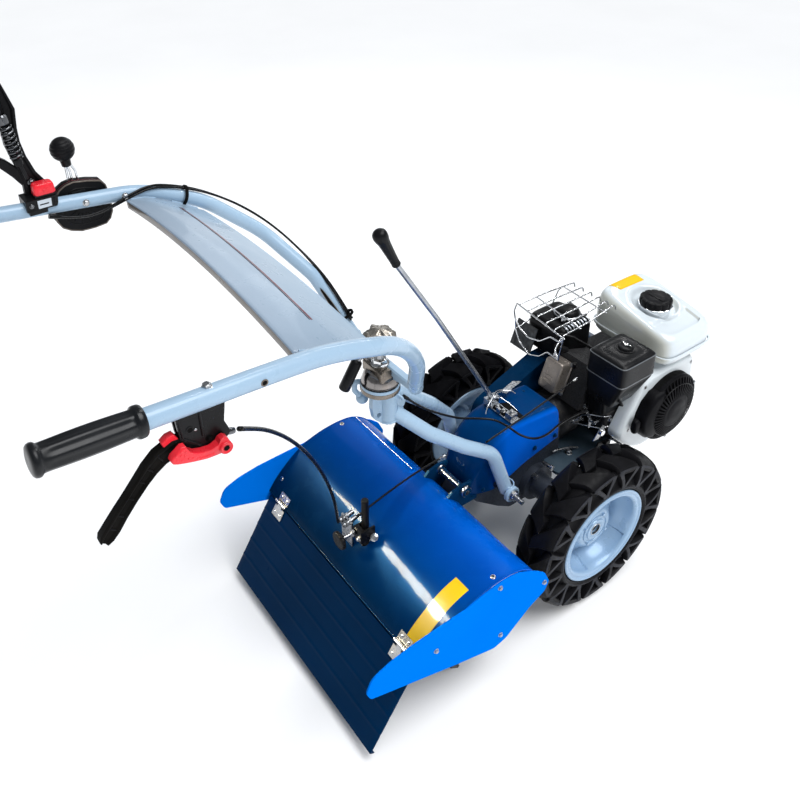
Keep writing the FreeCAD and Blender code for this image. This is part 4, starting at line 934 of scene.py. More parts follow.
def plate(b, poly, x0, x1, mat, hole=None, n=24):
    """prism along x; the optional hole (y, z, r) is not used, no hole is cut"""
    b.prism(poly, "x", x0, x1, mat)


plate(rb, poly, 299.0, 303.2, "plastic_fine")
plate(rb, poly, 312.8, 317.0, "plastic_fine")
rb.prism([(-935, 1056), (-905, 1054), (-871, 1050), (-873, 1040), (-905, 1042), (-934, 1044)], "x", 298, 318, "plastic_fine")
rb.prism([(-873, 1050), (-871, 1050), (-875, 1017), (-868.6, 999), (-879, 986.6), (-882, 989), (-872.5, 999), (-879, 1017)], "x", 300, 316, "plastic_fine")
# moulded ribs round the outline and down the middle
rb.tube(W([(317.4, -930, 1050), (317.4, -876, 1046)]), 0.0013, "plastic_fine", 10)
rb.tube(W([(317.6, -905, 1052), (317.6, -904, 1010)]), 0.0018, "plastic_fine", 10)
rb.tube(W([(317.4, -931, 1048), (317.4, -929, 1018), (317.4, -908, 998)]), 0.0013, "plastic_fine", 10)
# through hole with a lighter bush in the outer plate; the hole is a near-black disc, painted shade
rb.lathe([(-0.4, 3.3), (-0.4, 5.4), (0.7, 5.2), (0.7, 3.3)], P(317, -919, 1026), (1, 0, 0), "plastic_fine", 28)
rb.lathe([(0, 0.01), (0, 3.25), (0.45, 3.25), (0.45, 0.01)], P(316.9, -919, 1026), (1, 0, 0), "dark", 24)
rb.dome(P(317.0, -912, 1023), (1, 0, 0), 2.2, 1.0, "zinc", 14)
rb.prism([(-934, 1012), (-915, 1010), (-892, 1004), (-882, 996), (-884, 983), (-900, 978.5), (-918, 984), (-932, 996)], "x", 301, 315, "plastic_fine")
rb.hexbolt(P(317, -897, 1002), (1, 0, 0), 7, 2.6, "dark", 0.9)
# cable ferrule and adjuster with its lock nut
rb.lathe([(0, 0.01), (0, 4.4), (2, 4.5), (9, 4.5), (9.4, 4.0), (13, 4.0), (13.4, 4.5), (22, 4.4), (26, 3.9), (26.8, 3.4), (26.8, 0.01)], P(304, -884, 993), (-0.014, 0.953, -0.303), "dkchrome", 28)
rb.ngon(P(303.9, -877, 990.8), (-0.014, 0.953, -0.303), 6.2, 3.6, 6, "dkchrome")
rb.done("bracket_right", "handlebar", "black_plastic", ["lever_brackets"], bevel=0.0007)

rl = B()
# long lever: pressed channel, open to the rear side, wider blade at the end
path = [(-920, 1004, 25), (-940, 1006.5, 26), (-958, 1000, 24), (-972, 989.5, 21), (-984, 977.5, 18.5), (-1000, 960.5, 17.5), (-1016, 943.0, 18.5), (-1028, 928.5, 20.0), (-1037, 919.0, 19.0), (-1041.5, 913.5, 12.0)]
rings = []
for i, (y, z, w) in enumerate(path):
    a = path[max(i - 1, 0)]
    c = path[min(i + 1, len(path) - 1)]
    ty, tz = c[0] - a[0], c[1] - a[1]
    l = math.hypot(ty, tz)
    ny, nz = -tz / l, ty / l          # across the lever, towards the upper rear edge
    h = w / 2.0
    x0, x1, e = 303.2, 315.8, 2.2
    up = [(x0, 1.0), (x1 - 1.6, 1.0), (x1, 0.80), (x1 - 1.2, 0.52), (x1 - 3.2, 0.34), (x1 - 3.2, -0.34), (x1 - 1.2, -0.52), (x1, -0.80), (x1 - 1.6, -1.0), (x0, -1.0)]
    rings.append([P(x, y - ny * h * f, z - nz * h * f) for x, f in up])
rl.loft(rings, "lever_black")
# transverse ribs inside the channel
for t in (2, 3, 4, 5, 6, 7):
    y, z, w = path[t]
    a, c = path[t - 1], path[t + 1]
    ty, tz = c[0] - a[0], c[1] - a[1]
    l = math.hypot(ty, tz)
    ny, nz = -tz / l, ty / l
    rl.tube([P(313.0, y - ny * w * 0.36, z - nz * w * 0.36), P(313.0, y + ny * w * 0.36, z + nz * w * 0.36)], 0.0010, "plastic", 8)
rl.done("lever_right", "handlebar", "black_plastic", ["clutch_lever_right"], bevel=0.0008, angle=30)

rr_ = B()
outl = [(-891, 998.5), (-888, 1003.5), (-883, 1005.2), (-878.4, 1001.5), (-876.4, 994), (-877.6, 986), (-882, 982.4), (-890, 983.0), (-899, 983.4), (-908, 984.4), (-918, 987.0), (-928, 990.0), (-938, 993.5), (-945.5, 996.5), (-950, 999), (-951.5, 1003), (-948.5, 1008),
        (-942, 1012), (-936, 1016.5), (-931, 1015.5), (-928, 1007.5), (-921, 1000.5), (-912, 997.2), (-901, 995.2)]
rings = []
cy, cz = -912, 993.5
for (x, k) in ((319.0, 0.93), (320.2, 1.0), (328.0, 1.0), (329.4, 0.95), (330.0, 0.86)):
    rings.append([P(x, cy + (y - cy) * (1 - (1 - k) * 0.35), cz + (z - cz) * k) for y, z in outl])
rr_.loft(rings, "red")
rr_.lathe([(-1.6, 0.01), (-1.6, 8.4), (12.6, 8.5), (13.4, 7.9), (13.6, 7.0), (12.8, 5.6), (12.4, 4.0), (12.4, 0.01)], P(319.5, -883, 990), (1, 0, 0), "red", 40)
rr_.dome(P(332.0, -883, 990), (1, 0, 0), 3.6, 0.9, "dark")
rr_.lathe([(0, 3.7), (0, 4.6), (0.35, 4.5), (0.35, 3.7)], P(331.6, -883, 990), (1, 0, 0), "dark", 28)
# raised knurl dimples on the latch's thumb end and along its back
for (y, z) in ((-944, 1002), (-939, 1006), (-944, 1009), (-938, 999), (-934, 1003.5), (-938, 1012), (-930, 997.5), (-925, 995.5), (-932.5, 1009)):
    rr_.dome(P(330.0, y, z), (1, 0, 0), 1.45, 1.0, "red", 12)
rr_.tube(W([(329.9, -898, 987.6), (329.9, -910, 989), (329.9, -920, 991.5)]), 0.0011, "red", 8)
# second catch tab beside the lever's pivot
rr_.loft([[P(x, -943.5 + (y + 943.5) * k, 1018.7 + (z - 1018.7) * k) for y, z in ((-954, 1021), (-946, 1026.5), (-938, 1027), (-933, 1018), (-942, 1012.5), (-951, 1009))]
          for x, k in ((304.5, 0.9), (305.5, 1.0), (313.5, 1.0), (314.5, 0.9))], "red")
# left catch: rounded block with three grip grooves and a pin
cc = []
for (z, k) in ((1084.0, 1.02), (1086, 1.06), (1096.5, 1.0), (1100.5, 0.93), (1102, 0.80)):
    ring = []
    for j in range(24):
        a = 2 * math.pi * (j + 0.5) / 24
        ca, sa = math.cos(a), math.sin(a)
        ex = 0.42
        ring.append(P(-304 + 11 * k * math.copysign(abs(ca) ** ex, ca), -881.5 + 17.5 * k * math.copysign(abs(sa) ** ex, sa), z))
    cc.append(ring)
rr_.loft(cc, "red")
for y in (-889, -881.5, -874):
    rr_.tube(W([(-312.5, y, 1101.6), (-295.5, y, 1101.6)]), 0.0011, "red", 8)
rr_.prism([(-884, 1089), (-877, 1089), (-877, 1095.5), (-884, 1095.5)], "x", -293.0, -291.9, "red")
rr_.done("red_catches", "handlebar", "red_plastic", ["lever_latches"], bevel=0.0006, angle=40)

# ---- left lever set
lb = B()
poly = [(-917, 1060), (-867, 1060), (-864.5, 1066), (-863, 1079), (-880, 1079.2), (-917, 1079)]
lb.prism(poly, "x", -332, -291, "plastic_fine")
lb.prism([(-914, 1054), (-884, 1054), (-884, 1062), (-914, 1062)], "x", -328, -290, "plastic_fine")
lb.prism([(-899, 1078.5), (-865, 1078.5), (-865, 1087), (-899, 1087)], "x", -313, -294.5, "plastic_fine")
# worn steel plate with a slot on its inner face, a bolt and a thin rod
lb.prism([(-898, 1063), (-876, 1063), (-875, 1076.6), (-898, 1077)], "x", -291.0, -289.7, "paper")
# painted shade: the slot is a near-black strip laid on the plate
lb.prism([(-895, 1068.6), (-880, 1068.6), (-880, 1070.6), (-895, 1070.6)], "x", -290.2, -289.4, "dark")
lb.hexbolt(P(-290.8, -908, 1070), (1, 0, 0), 6, 2.6, "dkchrome", 0.8)
lb.tube(W([(-290.6, -870, 1064), (-290.6, -870, 1076)]), 0.0011, "plastic_fine", 8)
lb.done("bracket_left", "handlebar", "black_plastic", [], bevel=0.0010)

ll = B()
cen = [(-888.5, 1079.4, 19.4), (-889, 1092, 19.0), (-894.5, 1112, 12.5), (-903, 1143, 11.5), (-908, 1170, 12.2), (-908, 1195, 12.6), (-903.5, 1226, 12.0), (-907, 1250, 8.6), (-910, 1268.0, 6.6)]
rings = []
for i, (y, z, h) in enumerate(cen):
    a = cen[max(i - 1, 0)]
    c = cen[min(i + 1, len(cen) - 1)]
    ty, tz = c[0] - a[0], c[1] - a[1]
    l = math.hypot(ty, tz)
    ny, nz = tz / l, -ty / l
    up = [(-331.8, 0.86), (-330.6, 1.0), (-320.0, 1.0), (-318.4, 0.88), (-318.2, 0.62), (-321.4, 0.40), (-321.4, -0.40), (-318.2, -0.62), (-318.4, -0.88), (-320.0, -1.0), (-330.6, -1.0), (-331.8, -0.86)]
    rings.append([P(x, y + ny * h * f, z + nz * h * f) for x, f in up])
ll.loft(rings, "plastic")
arm = [(-902, 1103, 9), (-914, 1121, 8.5), (-930, 1140, 8.0), (-944, 1152, 7.4), (-952.5, 1160, 6.2)]
rings = []
for i, (y, z, h) in enumerate(arm):
    a = arm[max(i - 1, 0)]
    c = arm[min(i + 1, len(arm) - 1)]
    ty, tz = c[0] - a[0], c[1] - a[1]
    l = math.hypot(ty, tz)
    ny, nz = tz / l, -ty / l
    rings.append([P(x, y + ny * h * f, z + nz * h * f) for x, f in ((-330.8, 0.8), (-329.6, 1.0), (-321.0, 1.0), (-319.4, 0.8), (-319.4, -0.8), (-321.0, -1.0), (-329.6, -1.0), (-330.8, -0.8))])
ll.loft(rings, "plastic")
# bright return spring with its end hooks, pivot bolt, and a bushed pin
ll.spring(P(-307.0, -909, 1150), P(-307.0, -916, 1206), 9.4, 3.4, 7, "dkchrome")
ll.tube(W([(-309, -901, 1112), (-307, -906, 1134), (-307, -909, 1150)]), 0.0030, "plastic_fine", 10)
ll.lathe([(0, 0.01), (0, 7.0), (2, 8.6), (8, 9.0), (14, 8.6), (17, 6.4), (17, 0.01)], P(-307, -916.4, 1209), (0, -0.11, 1), "dkchrome", 28)
ll.tube(W([(-307, -918, 1224), (-309, -919, 1236), (-314, -918, 1242), (-320, -917, 1243)]), 0.0028, "plastic_fine", 10)
ll.lathe([(0, 0.01), (0, 6.4), (4, 7.0), (10, 7.0), (12, 5.4), (12, 0.01)], P(-307, -908.0, 1139), (0, -0.11, 1), "plastic_fine", 24)
ll.hexbolt(P(-318.3, -894, 1100), (1, 0, 0), 9, 4.0, "dkchrome", 1.2)
ll.lathe([(0, 0.01), (0, 5.6), (3.5, 5.6), (3.5, 4.0), (7.5, 4.0), (7.5, 0.01)], P(-319.0, -906, 1174), (1, 0, 0), "plastic_fine", 24)
ll.lathe([(0, 0.01), (0, 5.0), (3.0, 5.0), (3.0, 0.01)], P(-318.6, -905.5, 1194), (1, 0, 0), "plastic_fine", 20)
ll.tube(W([(-316.4, -905.5, 1188), (-316.4, -907, 1200), (-316.4, -906, 1214)]), 0.0016, "plastic_fine", 8)
ll.done("lever_left", "handlebar", "black_plastic", ["clutch_lever_left"], bevel=0.0008, angle=30)

# ---- selector: ribbed drum with a rolled rim, chrome fork, ribbed ball
sd = B()
dp = [(-866, 1044), (-861, 1060), (-853, 1071), (-841, 1077.6), (-827, 1080), (-800, 1075.6), (-778, 1069.4), (-771, 1060), (-768.4, 1044), (-766.4, 1024), (-767, 1007), (-773, 994), (-782, 986.4), (-804, 984.4), (-828, 985.4), (-846, 991.6), (-860, 1001), (-867, 1014), (-869.4, 1028)]
dcy, dcz = -817.0, 1031.0
rings = []
for (x, k) in ((-344.8, 0.90), (-344.2, 0.97), (-341.5, 1.0), (-333, 1.0), (-332.4, 0.965), (-328.6, 0.965), (-328.0, 1.0), (-325.0, 1.0), (-323.0, 0.985), (-322.5, 0.95)):
    rings.append([P(x, dcy + (y - dcy) * k, dcz + (z - dcz) * k) for y, z in dp])
sd.loft(rings, "plastic")
edge = [P(-323.0, dcy + (y - dcy) * 0.975, dcz + (z - dcz) * 0.975) for y, z in dp]
sd.tube(edge, 0.0015, "brown", 8, closed=True)
sd.tube([p + Vector((-0.0065, 0, 0)) for p in edge], 0.0011, "dkred", 8, closed=True)
edge2 = [P(-322.6, dcy + (y - dcy) * 0.72, dcz + (z - dcz) * 0.72) for y, z in dp]
sd.tube(edge2, 0.0009, "plastic_fine", 8, closed=True)
for k in range(14):
    a = 2 * math.pi * k / 14
    sd.tube([P(-322.4, dcy + 14 * math.cos(a), dcz + 13 * math.sin(a)), P(-322.4, dcy + 33 * math.cos(a), dcz + 31 * math.sin(a))], 0.0010, "plastic_fine", 6)
sd.prism([(-836, 1036), (-810, 1036), (-810, 1064), (-836, 1064)], "x", -323.5, -316.0, "plastic_fine")
sd.done("selector_drum", "handlebar", "black_plastic", ["selector_housing"], bevel=0.0006, angle=32)
sf = B()
for off in (-5.4, -1.4, 4.6):
    sf.tube([P(p.x, p.y, p.z) for p in steel_bend([(-334, -821 + off * 1.7, 1068), (-333.4, -822.6 + off * 1.5, 1096), (-332, -827 + off * 0.7, 1112), (-331, -829.6 + off * 0.3, 1124)], [0, 16, 16, 0])], 0.0023, "chrome", 12)
sf.lathe([(0, 0.01), (0, 7.2), (1.0, 8.2), (11, 9.0), (13.6, 8.6), (13.6, 0.01)], P(-331.4, -828.0, 1107.6), (0.02, -0.10, 1), "plastic_fine", 28)
prof = [(-20.6, 0.01), (-20.4, 4.8), (-18.6, 8.0), (-16.8, 9.2)]
for k in range(6, 32):
    t = math.pi * k / 34.0
    groove = 1.0 if (k % 4 == 1 and 9 < k < 27) else 0.0
    prof.append((-20.8 * math.cos(t), 20.8 * math.sin(t) - 0.9 * groove))
prof += [(20.2, 4.0), (20.6, 0.01)]
sf.lathe(prof, P(-331, -830, 1138), (0.03, -0.10, 1), "plastic", 48)
sf.done("selector_ball", "handlebar", "black_plastic", ["selector_lever"], angle=32)

# ---- bands that hold the pair of cables to the left tube
bd = B()
def tube_axis(s, y):
    pts = [Vector((s * x, yy, z)) for yy, z, x in TB]
    for a, b2 in zip(pts[:-1], pts[1:]):
        if a.y <= y <= b2.y:
            t = (y - a.y) / (b2.y - a.y)
            return a + (b2 - a) * t, (b2 - a).normalized()


for (cx, cy2, cz2, d) in ((-284.5, -646, 1012.5, (0.11, 0.90, -0.42)), (-110.5, -424.5, 757.0, (0.30, 0.25, -0.92))):
    d = Vector(d).normalized()
    c = P(cx, cy2, cz2)
    u = d.cross(Vector((0, 0, 1))).normalized()
    v = d.cross(u).normalized()
    ring = []
    for k in range(40):
        a = 2 * math.pi * k / 40
        # egg outline: tube plus the two cables on its upper outer side
        px, pz = math.cos(a), math.sin(a)
        r = 14.4 + 8.0 * max(0.0, px * -0.55 * (1 if True else 1) - pz * 0.80) ** 4
        ring.append(c + (u * px + v * pz) * (r / 1000.0))
    for off in (-2.0, 0.0, 2.0):
        bd.tube([q + d * (off / 1000.0) for q in ring], 0.00125, "dark", 8, closed=True)
bd.done("cable_bands", "handlebar", "black_plastic", angle=60)


# ---- right tube of the handlebar: long open bend down to the cross bar
HB = [(317.4, -1090, 1074), (313.5, -995, 1065.3), (309.7, -903, 1056.9), (305.8, -811, 1048.5), (302.6, -735, 1039.6), (299.6, -683, 1026.6), (296, -645, 1013.0), (288, -619.4, 999.4), (277, -592.3, 980.8), (262, -562.8, 953.6), (240, -530.2, 914.3), (208, -496.1, 860.7),
      (168, -465.2, 799.5), (128, -435.4, 741.0), (96, -406, 704)]
hp = []
for i in range(len(HB) - 1):
    q = [Vector(HB[max(i - 1, 0)]), Vector(HB[i]), Vector(HB[i + 1]), Vector(HB[min(i + 2, len(HB) - 1)])]
    for j in range(14):
        t = j / 14.0
        v = 0.5 * ((2 * q[1]) + (-q[0] + q[2]) * t + (2 * q[0] - 5 * q[1] + 4 * q[2] - q[3]) * t * t + (-q[0] + 3 * q[1] - 3 * q[2] + q[3]) * t ** 3)
        hp.append(P(v.x, v.y, v.z))
hp.append(P(*HB[-1]))
rt_ = B()
rt_.tube(hp, 0.01325, "blue_grey", 56)
rt_.done("tube_bent_right", "handlebar", "paint_blue_grey", ["handlebar_right"], angle=60)


# ===========================================================================
# hood, flap, hinges, depth spur, cable anchor
# ===========================================================================
SHELL = [(-536, 211), (-520, 233), (-500, 254), (-472, 278), (-445, 297), (-416, 309), (-382, 317.5), (-344, 321), (-315, 319.5), (-293, 314), (-266, 298), (-242, 272), (-226, 238)]


def shell_at(t):
    """t runs 0..12 along the hood's section; smooth through its points; returns y, z and outward normal"""
    i = min(max(int(t), 0), len(SHELL) - 2)
    f = t - i
    p0, p1, p2, p3 = SHELL[max(i - 1, 0)], SHELL[i], SHELL[i + 1], SHELL[min(i + 2, len(SHELL) - 1)]

    def cr(a, b2, c, d):
        return 0.5 * ((2 * b2) + (-a + c) * f + (2 * a - 5 * b2 + 4 * c - d) * f * f + (-a + 3 * b2 - 3 * c + d) * f ** 3)

    def dcr(a, b2, c, d):
        return 0.5 * ((-a + c) + 2 * (2 * a - 5 * b2 + 4 * c - d) * f + 3 * (-a + 3 * b2 - 3 * c + d) * f * f)
    y, z = cr(p0[0], p1[0], p2[0], p3[0]), cr(p0[1], p1[1], p2[1], p3[1])
    ty, tz = dcr(p0[0], p1[0], p2[0], p3[0]), dcr(p0[1], p1[1], p2[1], p3[1])
    l = math.hypot(ty, tz)
    return y, z, -tz / l, ty / l


def shell_by_y(yv):
    lo, hi = 0.0, 12.0
    for _ in range(40):
        m = (lo + hi) / 2
        if shell_at(m)[0] < yv:
            lo = m
        else:
            hi = m
    return shell_at(lo)


hd = B()
for (x, yv) in ((-272, -333), (271, -348), (-269, -509), (269, -505)):
    y, z, ny, nz = shell_by_y(yv)
    hd.lathe([(0, 0.01), (0, 5.6), (0.7, 5.5), (1.0, 4.6), (2.2, 4.2), (2.6, 3.0), (2.6, 0.01)], P(x, y + ny * 0.3, z + nz * 0.3), (0, ny, nz), "zinc", 20)
    # painted shade: a near-black hexagon on each screw head stands in for its socket
    hd.ngon(P(x, y + ny * 2.8, z + nz * 2.8), (0, ny, nz), 2.4, 0.5, 6, "dark")
for (yv, zv) in ((-344, 303.5), (-215, 228), (-502, 239), (-330, 150)):
    for s in (-1, 1):
        hd.hexbolt(P(s * 288.1, yv, zv), (s, 0, 0), 8, 3.0, "zinc", 1.0)
hd.done("hood_screws", "chassis", "zinc_steel", bevel=0.0002)

# folded seam strips: where the skin's turned edge is spot welded inside each side plate
hw_ = B()
for s in (-1, 1):
    pts = []
    for k in range(61):
        y, z, ny, nz = shell_at(12.0 * k / 60)
        pts.append(P(s * 284.2, y + ny * 0.2, z + nz * 0.2))
    hw_.tube(pts, 0.0014, "blue_hood", 8)
y, z, ny, nz = SHELL[0][0], SHELL[0][1], -0.8, 0.58
hw_.tube([P(-284, y - 0.4, z - 0.6), P(284, y - 0.4, z - 0.6)], 0.0018, "blue_hood", 10)
hw_.done("hood_seams", "chassis", "paint_blue", angle=60)

# plain sticker on the hood's right side, blank
st_ = B()
def sticker(b, xa, xb, ya, yb, mat, skew=0.0, lift=0.35):
    n = 26
    vs, fs = [], []
    for i in range(n + 1):
        yv = ya + (yb - ya) * i / n
        y, z, ny, nz = shell_by_y(yv)
        sk = skew * i / n
        for x in (xa + sk, xb + sk):
            vs.append(P(x, y + ny * lift, z + nz * lift))
        for x in (xb + sk, xa + sk):
            vs.append(P(x, y - ny * 0.2, z - nz * 0.2))
    for i in range(n):
        a = i * 4
        for k in range(4):
            k2 = (k + 1) % 4
            fs.append([a + k, a + k2, a + 4 + k2, a + 4 + k])
    fs.append([3, 2, 1, 0])
    fs.append([n * 4, n * 4 + 1, n * 4 + 2, n * 4 + 3])
    b.add(vs, fs, mat)


sticker(st_, 225, 262, -402, -529, "yellow", -1.0)
st_.done("blank_sticker_hood", "chassis", "paint_white")

# ---- rear flap: pressed sheet with shallow ribs along the hinge line and a folded foot
fd = Vector((-113 / 216.0, -184 / 216.0))
fn = Vector((-0.852, 0.523))
FT = Vector((-540.5, 206.5))
FLAPW, FLEN = 276.0, 213.0
ribs = (34, 78, 122, 166)
rows = []
# rolled upper edge: it turns about the hinge line inside the hood and keeps the slit closed when the flap swings up
for (deg, r) in ((-5, 11.5), (-12, 11.5), (-19, 11.5), (-26, 11.5), (-33, 11.5), (-40, 11.5), (-47, 11.5), (-54, 11.5), (-61, 11.5), (-68, 11.5), (-74, 11.4), (-79, 11.2), (-84, 10.8)):
    rows.append((-539.6 + r * math.cos(math.radians(deg)), 216.2 + r * math.sin(math.radians(deg))))
for k in range(86):
    sdist = FLEN * k / 85.0
    h = 0.0
    for r in ribs:
        h += 1.0 * math.exp(-((sdist - r) / 3.4) ** 2)
    h -= 1.0
    q = FT + fd * sdist + fn * h
    rows.append((q.x, q.y))
for k in range(1, 7):
    a = math.radians(15 * k)
    q = FT + fd * (FLEN + 2.4 * math.sin(a) - 2.4) + fn * (-1.0 - 2.4 * (1 - math.cos(a)))
    rows.append((q.x, q.y))
q = FT + fd * FLEN + fn * (-12)
rows.append((q.x, q.y))
xs = [-FLAPW + 2 * FLAPW * i / 40 for i in range(41)]
verts = [P(x, y, z) for (y, z) in rows for x in xs]
faces = [[j * 41 + i, j * 41 + i + 1, (j + 1) * 41 + i + 1, (j + 1) * 41 + i] for j in range(len(rows) - 1) for i in range(40)]
me = bpy.data.meshes.new("flap_sheet")
me.from_pydata(verts, [], faces)
me.materials.append(M["blue_flap_painted_shade"])
for p in me.polygons:
    p.use_smooth = True
ob = bpy.data.objects.new("flap_sheet", me)
bpy.context.scene.collection.objects.link(ob)
# the sheet's thickness goes inwards
nrm = me.polygons[0].normal
inward = nrm.y * fn.x + nrm.z * fn.y > 0
sol = ob.modifiers.new("thick", "SOLIDIFY")
sol.thickness = 0.0020
sol.offset = -1.0 if inward else 1.0
bv = ob.modifiers.new("bevel", "BEVEL")
bv.width = 0.0005
bv.segments = 2
bv.limit_method = "ANGLE"
bv.angle_limit = math.radians(50)
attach(ob, "flap")
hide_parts("rear_flap")

# ---- strap hinges: rivets, knuckle lines
hr = B()
hm = B()
sdv = Vector((16 / 27.2, 22 / 27.2))
snv = Vector((-22 / 27.2, 16 / 27.2))
for s in (-1, 1):
    x0 = s * 227 - 18
    a = Vector(SHELL[0]) + sdv * 3 + snv * 0.3
    for dx in (8, 28):
        c = a + sdv * 13 + snv * 1.9
        hr.dome(P(x0 + dx, c.x, c.y), (0, snv.x, snv.y), 4.2, 2.0, "steel")
    hr.tube(W([(x0 - 1.5, -539.6, 216.2), (x0 + 9.6, -539.6, 216.2)]), 0.0033, "steel", 14)
    hr.tube(W([(x0 + 26.4, -539.6, 216.2), (x0 + 37.5, -539.6, 216.2)]), 0.0033, "steel", 14)
    b2 = FT + fd * 2
    for dx in (8, 28):
        c = b2 + fd * 17 + fn * 1.9
        hm.dome(P(x0 + dx, c.x, c.y), (0, fn.x, fn.y), 4.2, 2.0, "steel")
hr.done("hinge_rivets_hood", "chassis", "zinc_steel")
hm.done("hinge_rivets_flap", "flap", "zinc_steel")

# ---- depth spur: bar with stop holes, dark paint
ds = B()
prof = [(0, 0.01), (0, 7.2), (0.8, 8.0), (387.4, 8.0), (389.0, 6.8), (389.0, 0.01)]
ds.lathe(prof, P(20, -473, 6), (0, 0, 1), "black", 40)
# painted shade: the stop holes are near-black discs on the bar
for z in range(120, 380, 30):
    ds.lathe([(0, 0.01), (0, 3.0), (0.25, 2.8), (0.25, 0.01)], P(20, -481.0, z), (0, -1, 0), "dark", 16)
foot = [(-520, 26), (-516, 16), (-512, 8), (-503, 3), (-492, 0), (-448, 0), (-441, 1.6), (-436, 6), (-430, 13), (-426, 22), (-431, 26), (-436, 18), (-443, 12), (-452, 8.6), (-488, 8.6), (-498, 11), (-505, 16), (-513, 29)]
ds.prism(foot, "x", 4, 36, "black")
ds.done("spur_bar", "spur", "zinc_steel", ["depth_spur"], bevel=0.0006, angle=34)

dc = B()
dc.prism([(6, -494), (34, -494), (34, -458), (29.5, -458), (29.5, -483), (10.5, -483), (10.5, -458), (6, -458)], "z", 290, 322, "black")
dc.lathe([(0, 0.01), (0, 4.0), (28, 4.0), (28, 0.01)], P(10, -495.5, 306), (0, -1, 0), "zinc", 20)
dc.ngon(P(10, -496.2, 306), (0, -1, 0), 8.2, 5.4, 6, "zinc")
dc.lathe([(0, 0.01), (0, 9.0), (2.4, 9.2), (4.0, 13.8), (5.4, 19.4), (7.6, 20.6), (11.6, 20.6), (13.8, 19.2), (14.9, 15.6), (14.9, 6.0), (14.2, 4.4), (14.2, 0.01)], P(10, -522.6, 306), (0, -1, 0), "plastic", 84,
         lambda i, th, x, r: (0.0, -1.3 * max(0.0, math.cos(14 * th)) if r > 18.5 else 0.0))
dc.hexbolt(P(26, -494.2, 300), (0, -1, 0), 8, 4.0, "zinc", 1.2)
dc.hexbolt(P(41, -466, 300), (0.5, -0.5, 0.7), 12, 6.0, "chrome", 2.0)
dc.tube([P(33, -462, 300), P(44, -462, 300)], 0.0040, "zinc", 14)
dc.done("spur_clamp", "chassis", "paint_black", ["depth_clamp"], bevel=0.0007)

ca = B()
for (x, y, z, L) in ((-24, -508.5, 318.5, 36), (-8, -510, 318.7, 34)):
    d = Vector((0, 1, 0.2)).normalized()
    o = P(x, y, z)
    prof = [(0, 0.01), (0.0, 3.2), (1.2, 4.6)]
    k = 2.2
    while k < L - 3:
        prof += [(k, 4.95), (k + 0.55, 4.35), (k + 1.1, 4.95)]
        k += 1.1
    prof += [(L - 1.2, 4.6), (L, 3.4), (L, 0.01)]
    ca.lathe(prof, o, d, "zinc", 24)
    ca.ngon(o + d * 0.0060, d, 7.4, 4.6, 6, "zinc")
    ca.ngon(o + d * 0.0172, d, 7.4, 4.6, 6, "zinc", 0.3)
    ca.lathe([(0, 3.2), (0, 6.6), (0.5, 6.8), (5.0, 6.8), (5.5, 6.2), (5.5, 3.2)], o + d * 0.0, d, "zinc", 28, lambda i, th, x, r: (0.0, 0.22 * math.cos(24 * th) if r > 6 else 0.0))
ca.hexbolt(P(-15, -492.6, 300), (0, 1, 0), 8, 3.6, "zinc", 1.0)
ca.done("adjusters", "chassis", "zinc_steel", bevel=0.0002)


# ---- bend line along the front top of the hood: a thin light tube varying in thickness over its length, a painted highlight where the bend catches the light
bl = B()
pts, rr = [], []
for i in range(90):
    x = -284 + 222 * i / 89.0
    k = 0.5 + 0.5 * math.sin(i * 1.7) * math.sin(i * 0.61 + 0.7)
    y, z, ny, nz = shell_by_y(-284.5 + 0.5 * math.sin(i * 0.4))
    pts.append(P(x, y + ny * 0.1, z + nz * 0.1))
    rr.append((0.35 + 0.75 * k) / 1000.0)
bl.tube(pts, rr, "glint", 8)
bl.done("hood_bend_line", "chassis", "paint_blue", angle=60)



# ===========================================================================
# engine
# ===========================================================================
def sq_ring(cx, cy, hx, hy, z, ex=0.36, n=64, zf=None):
    out = []
    for j in range(n):
        a = 2 * math.pi * (j + 0.5) / n
        ca, sa = math.cos(a), math.sin(a)
        x = cx + hx * math.copysign(abs(ca) ** ex, ca)
        y = cy + hy * math.copysign(abs(sa) ** ex, sa)
        out.append(P(x, y, zf(x, y) if zf else z))
    return out


def ztop(x):
    return 588.0 - (x + 50.0) * 42.0 / 216.0


# ---- fuel tank
tk = B()
CX, CY, HX, HY = 50.0, 347.5, 112.0, 85.5
CAPX, CAPY = 58.0, 338.0
n = 120
rings = []
for (zz, ins) in ((477, 14), (477.6, 8), (480, 3.5), (485, 0.8), (492, 0.0), (497, 0.0)):
    rings.append(sq_ring(CX, CY, HX - ins, HY - ins, zz, 0.34, n))
for f, ins in ((0.06, 0.0), (0.30, 0.0), (0.50, 0.2), (0.66, 0.9), (0.78, 2.3), (0.87, 4.8), (0.93, 8.2), (0.97, 12.6), (0.99, 17.5)):
    rings.append(sq_ring(CX, CY, HX - ins, HY - ins, 0, 0.34 + ins * 0.004, n, lambda x, y, f=f: 497 + (ztop(x) - 497) * f))
tk.loft(rings, "tank", cap=False)
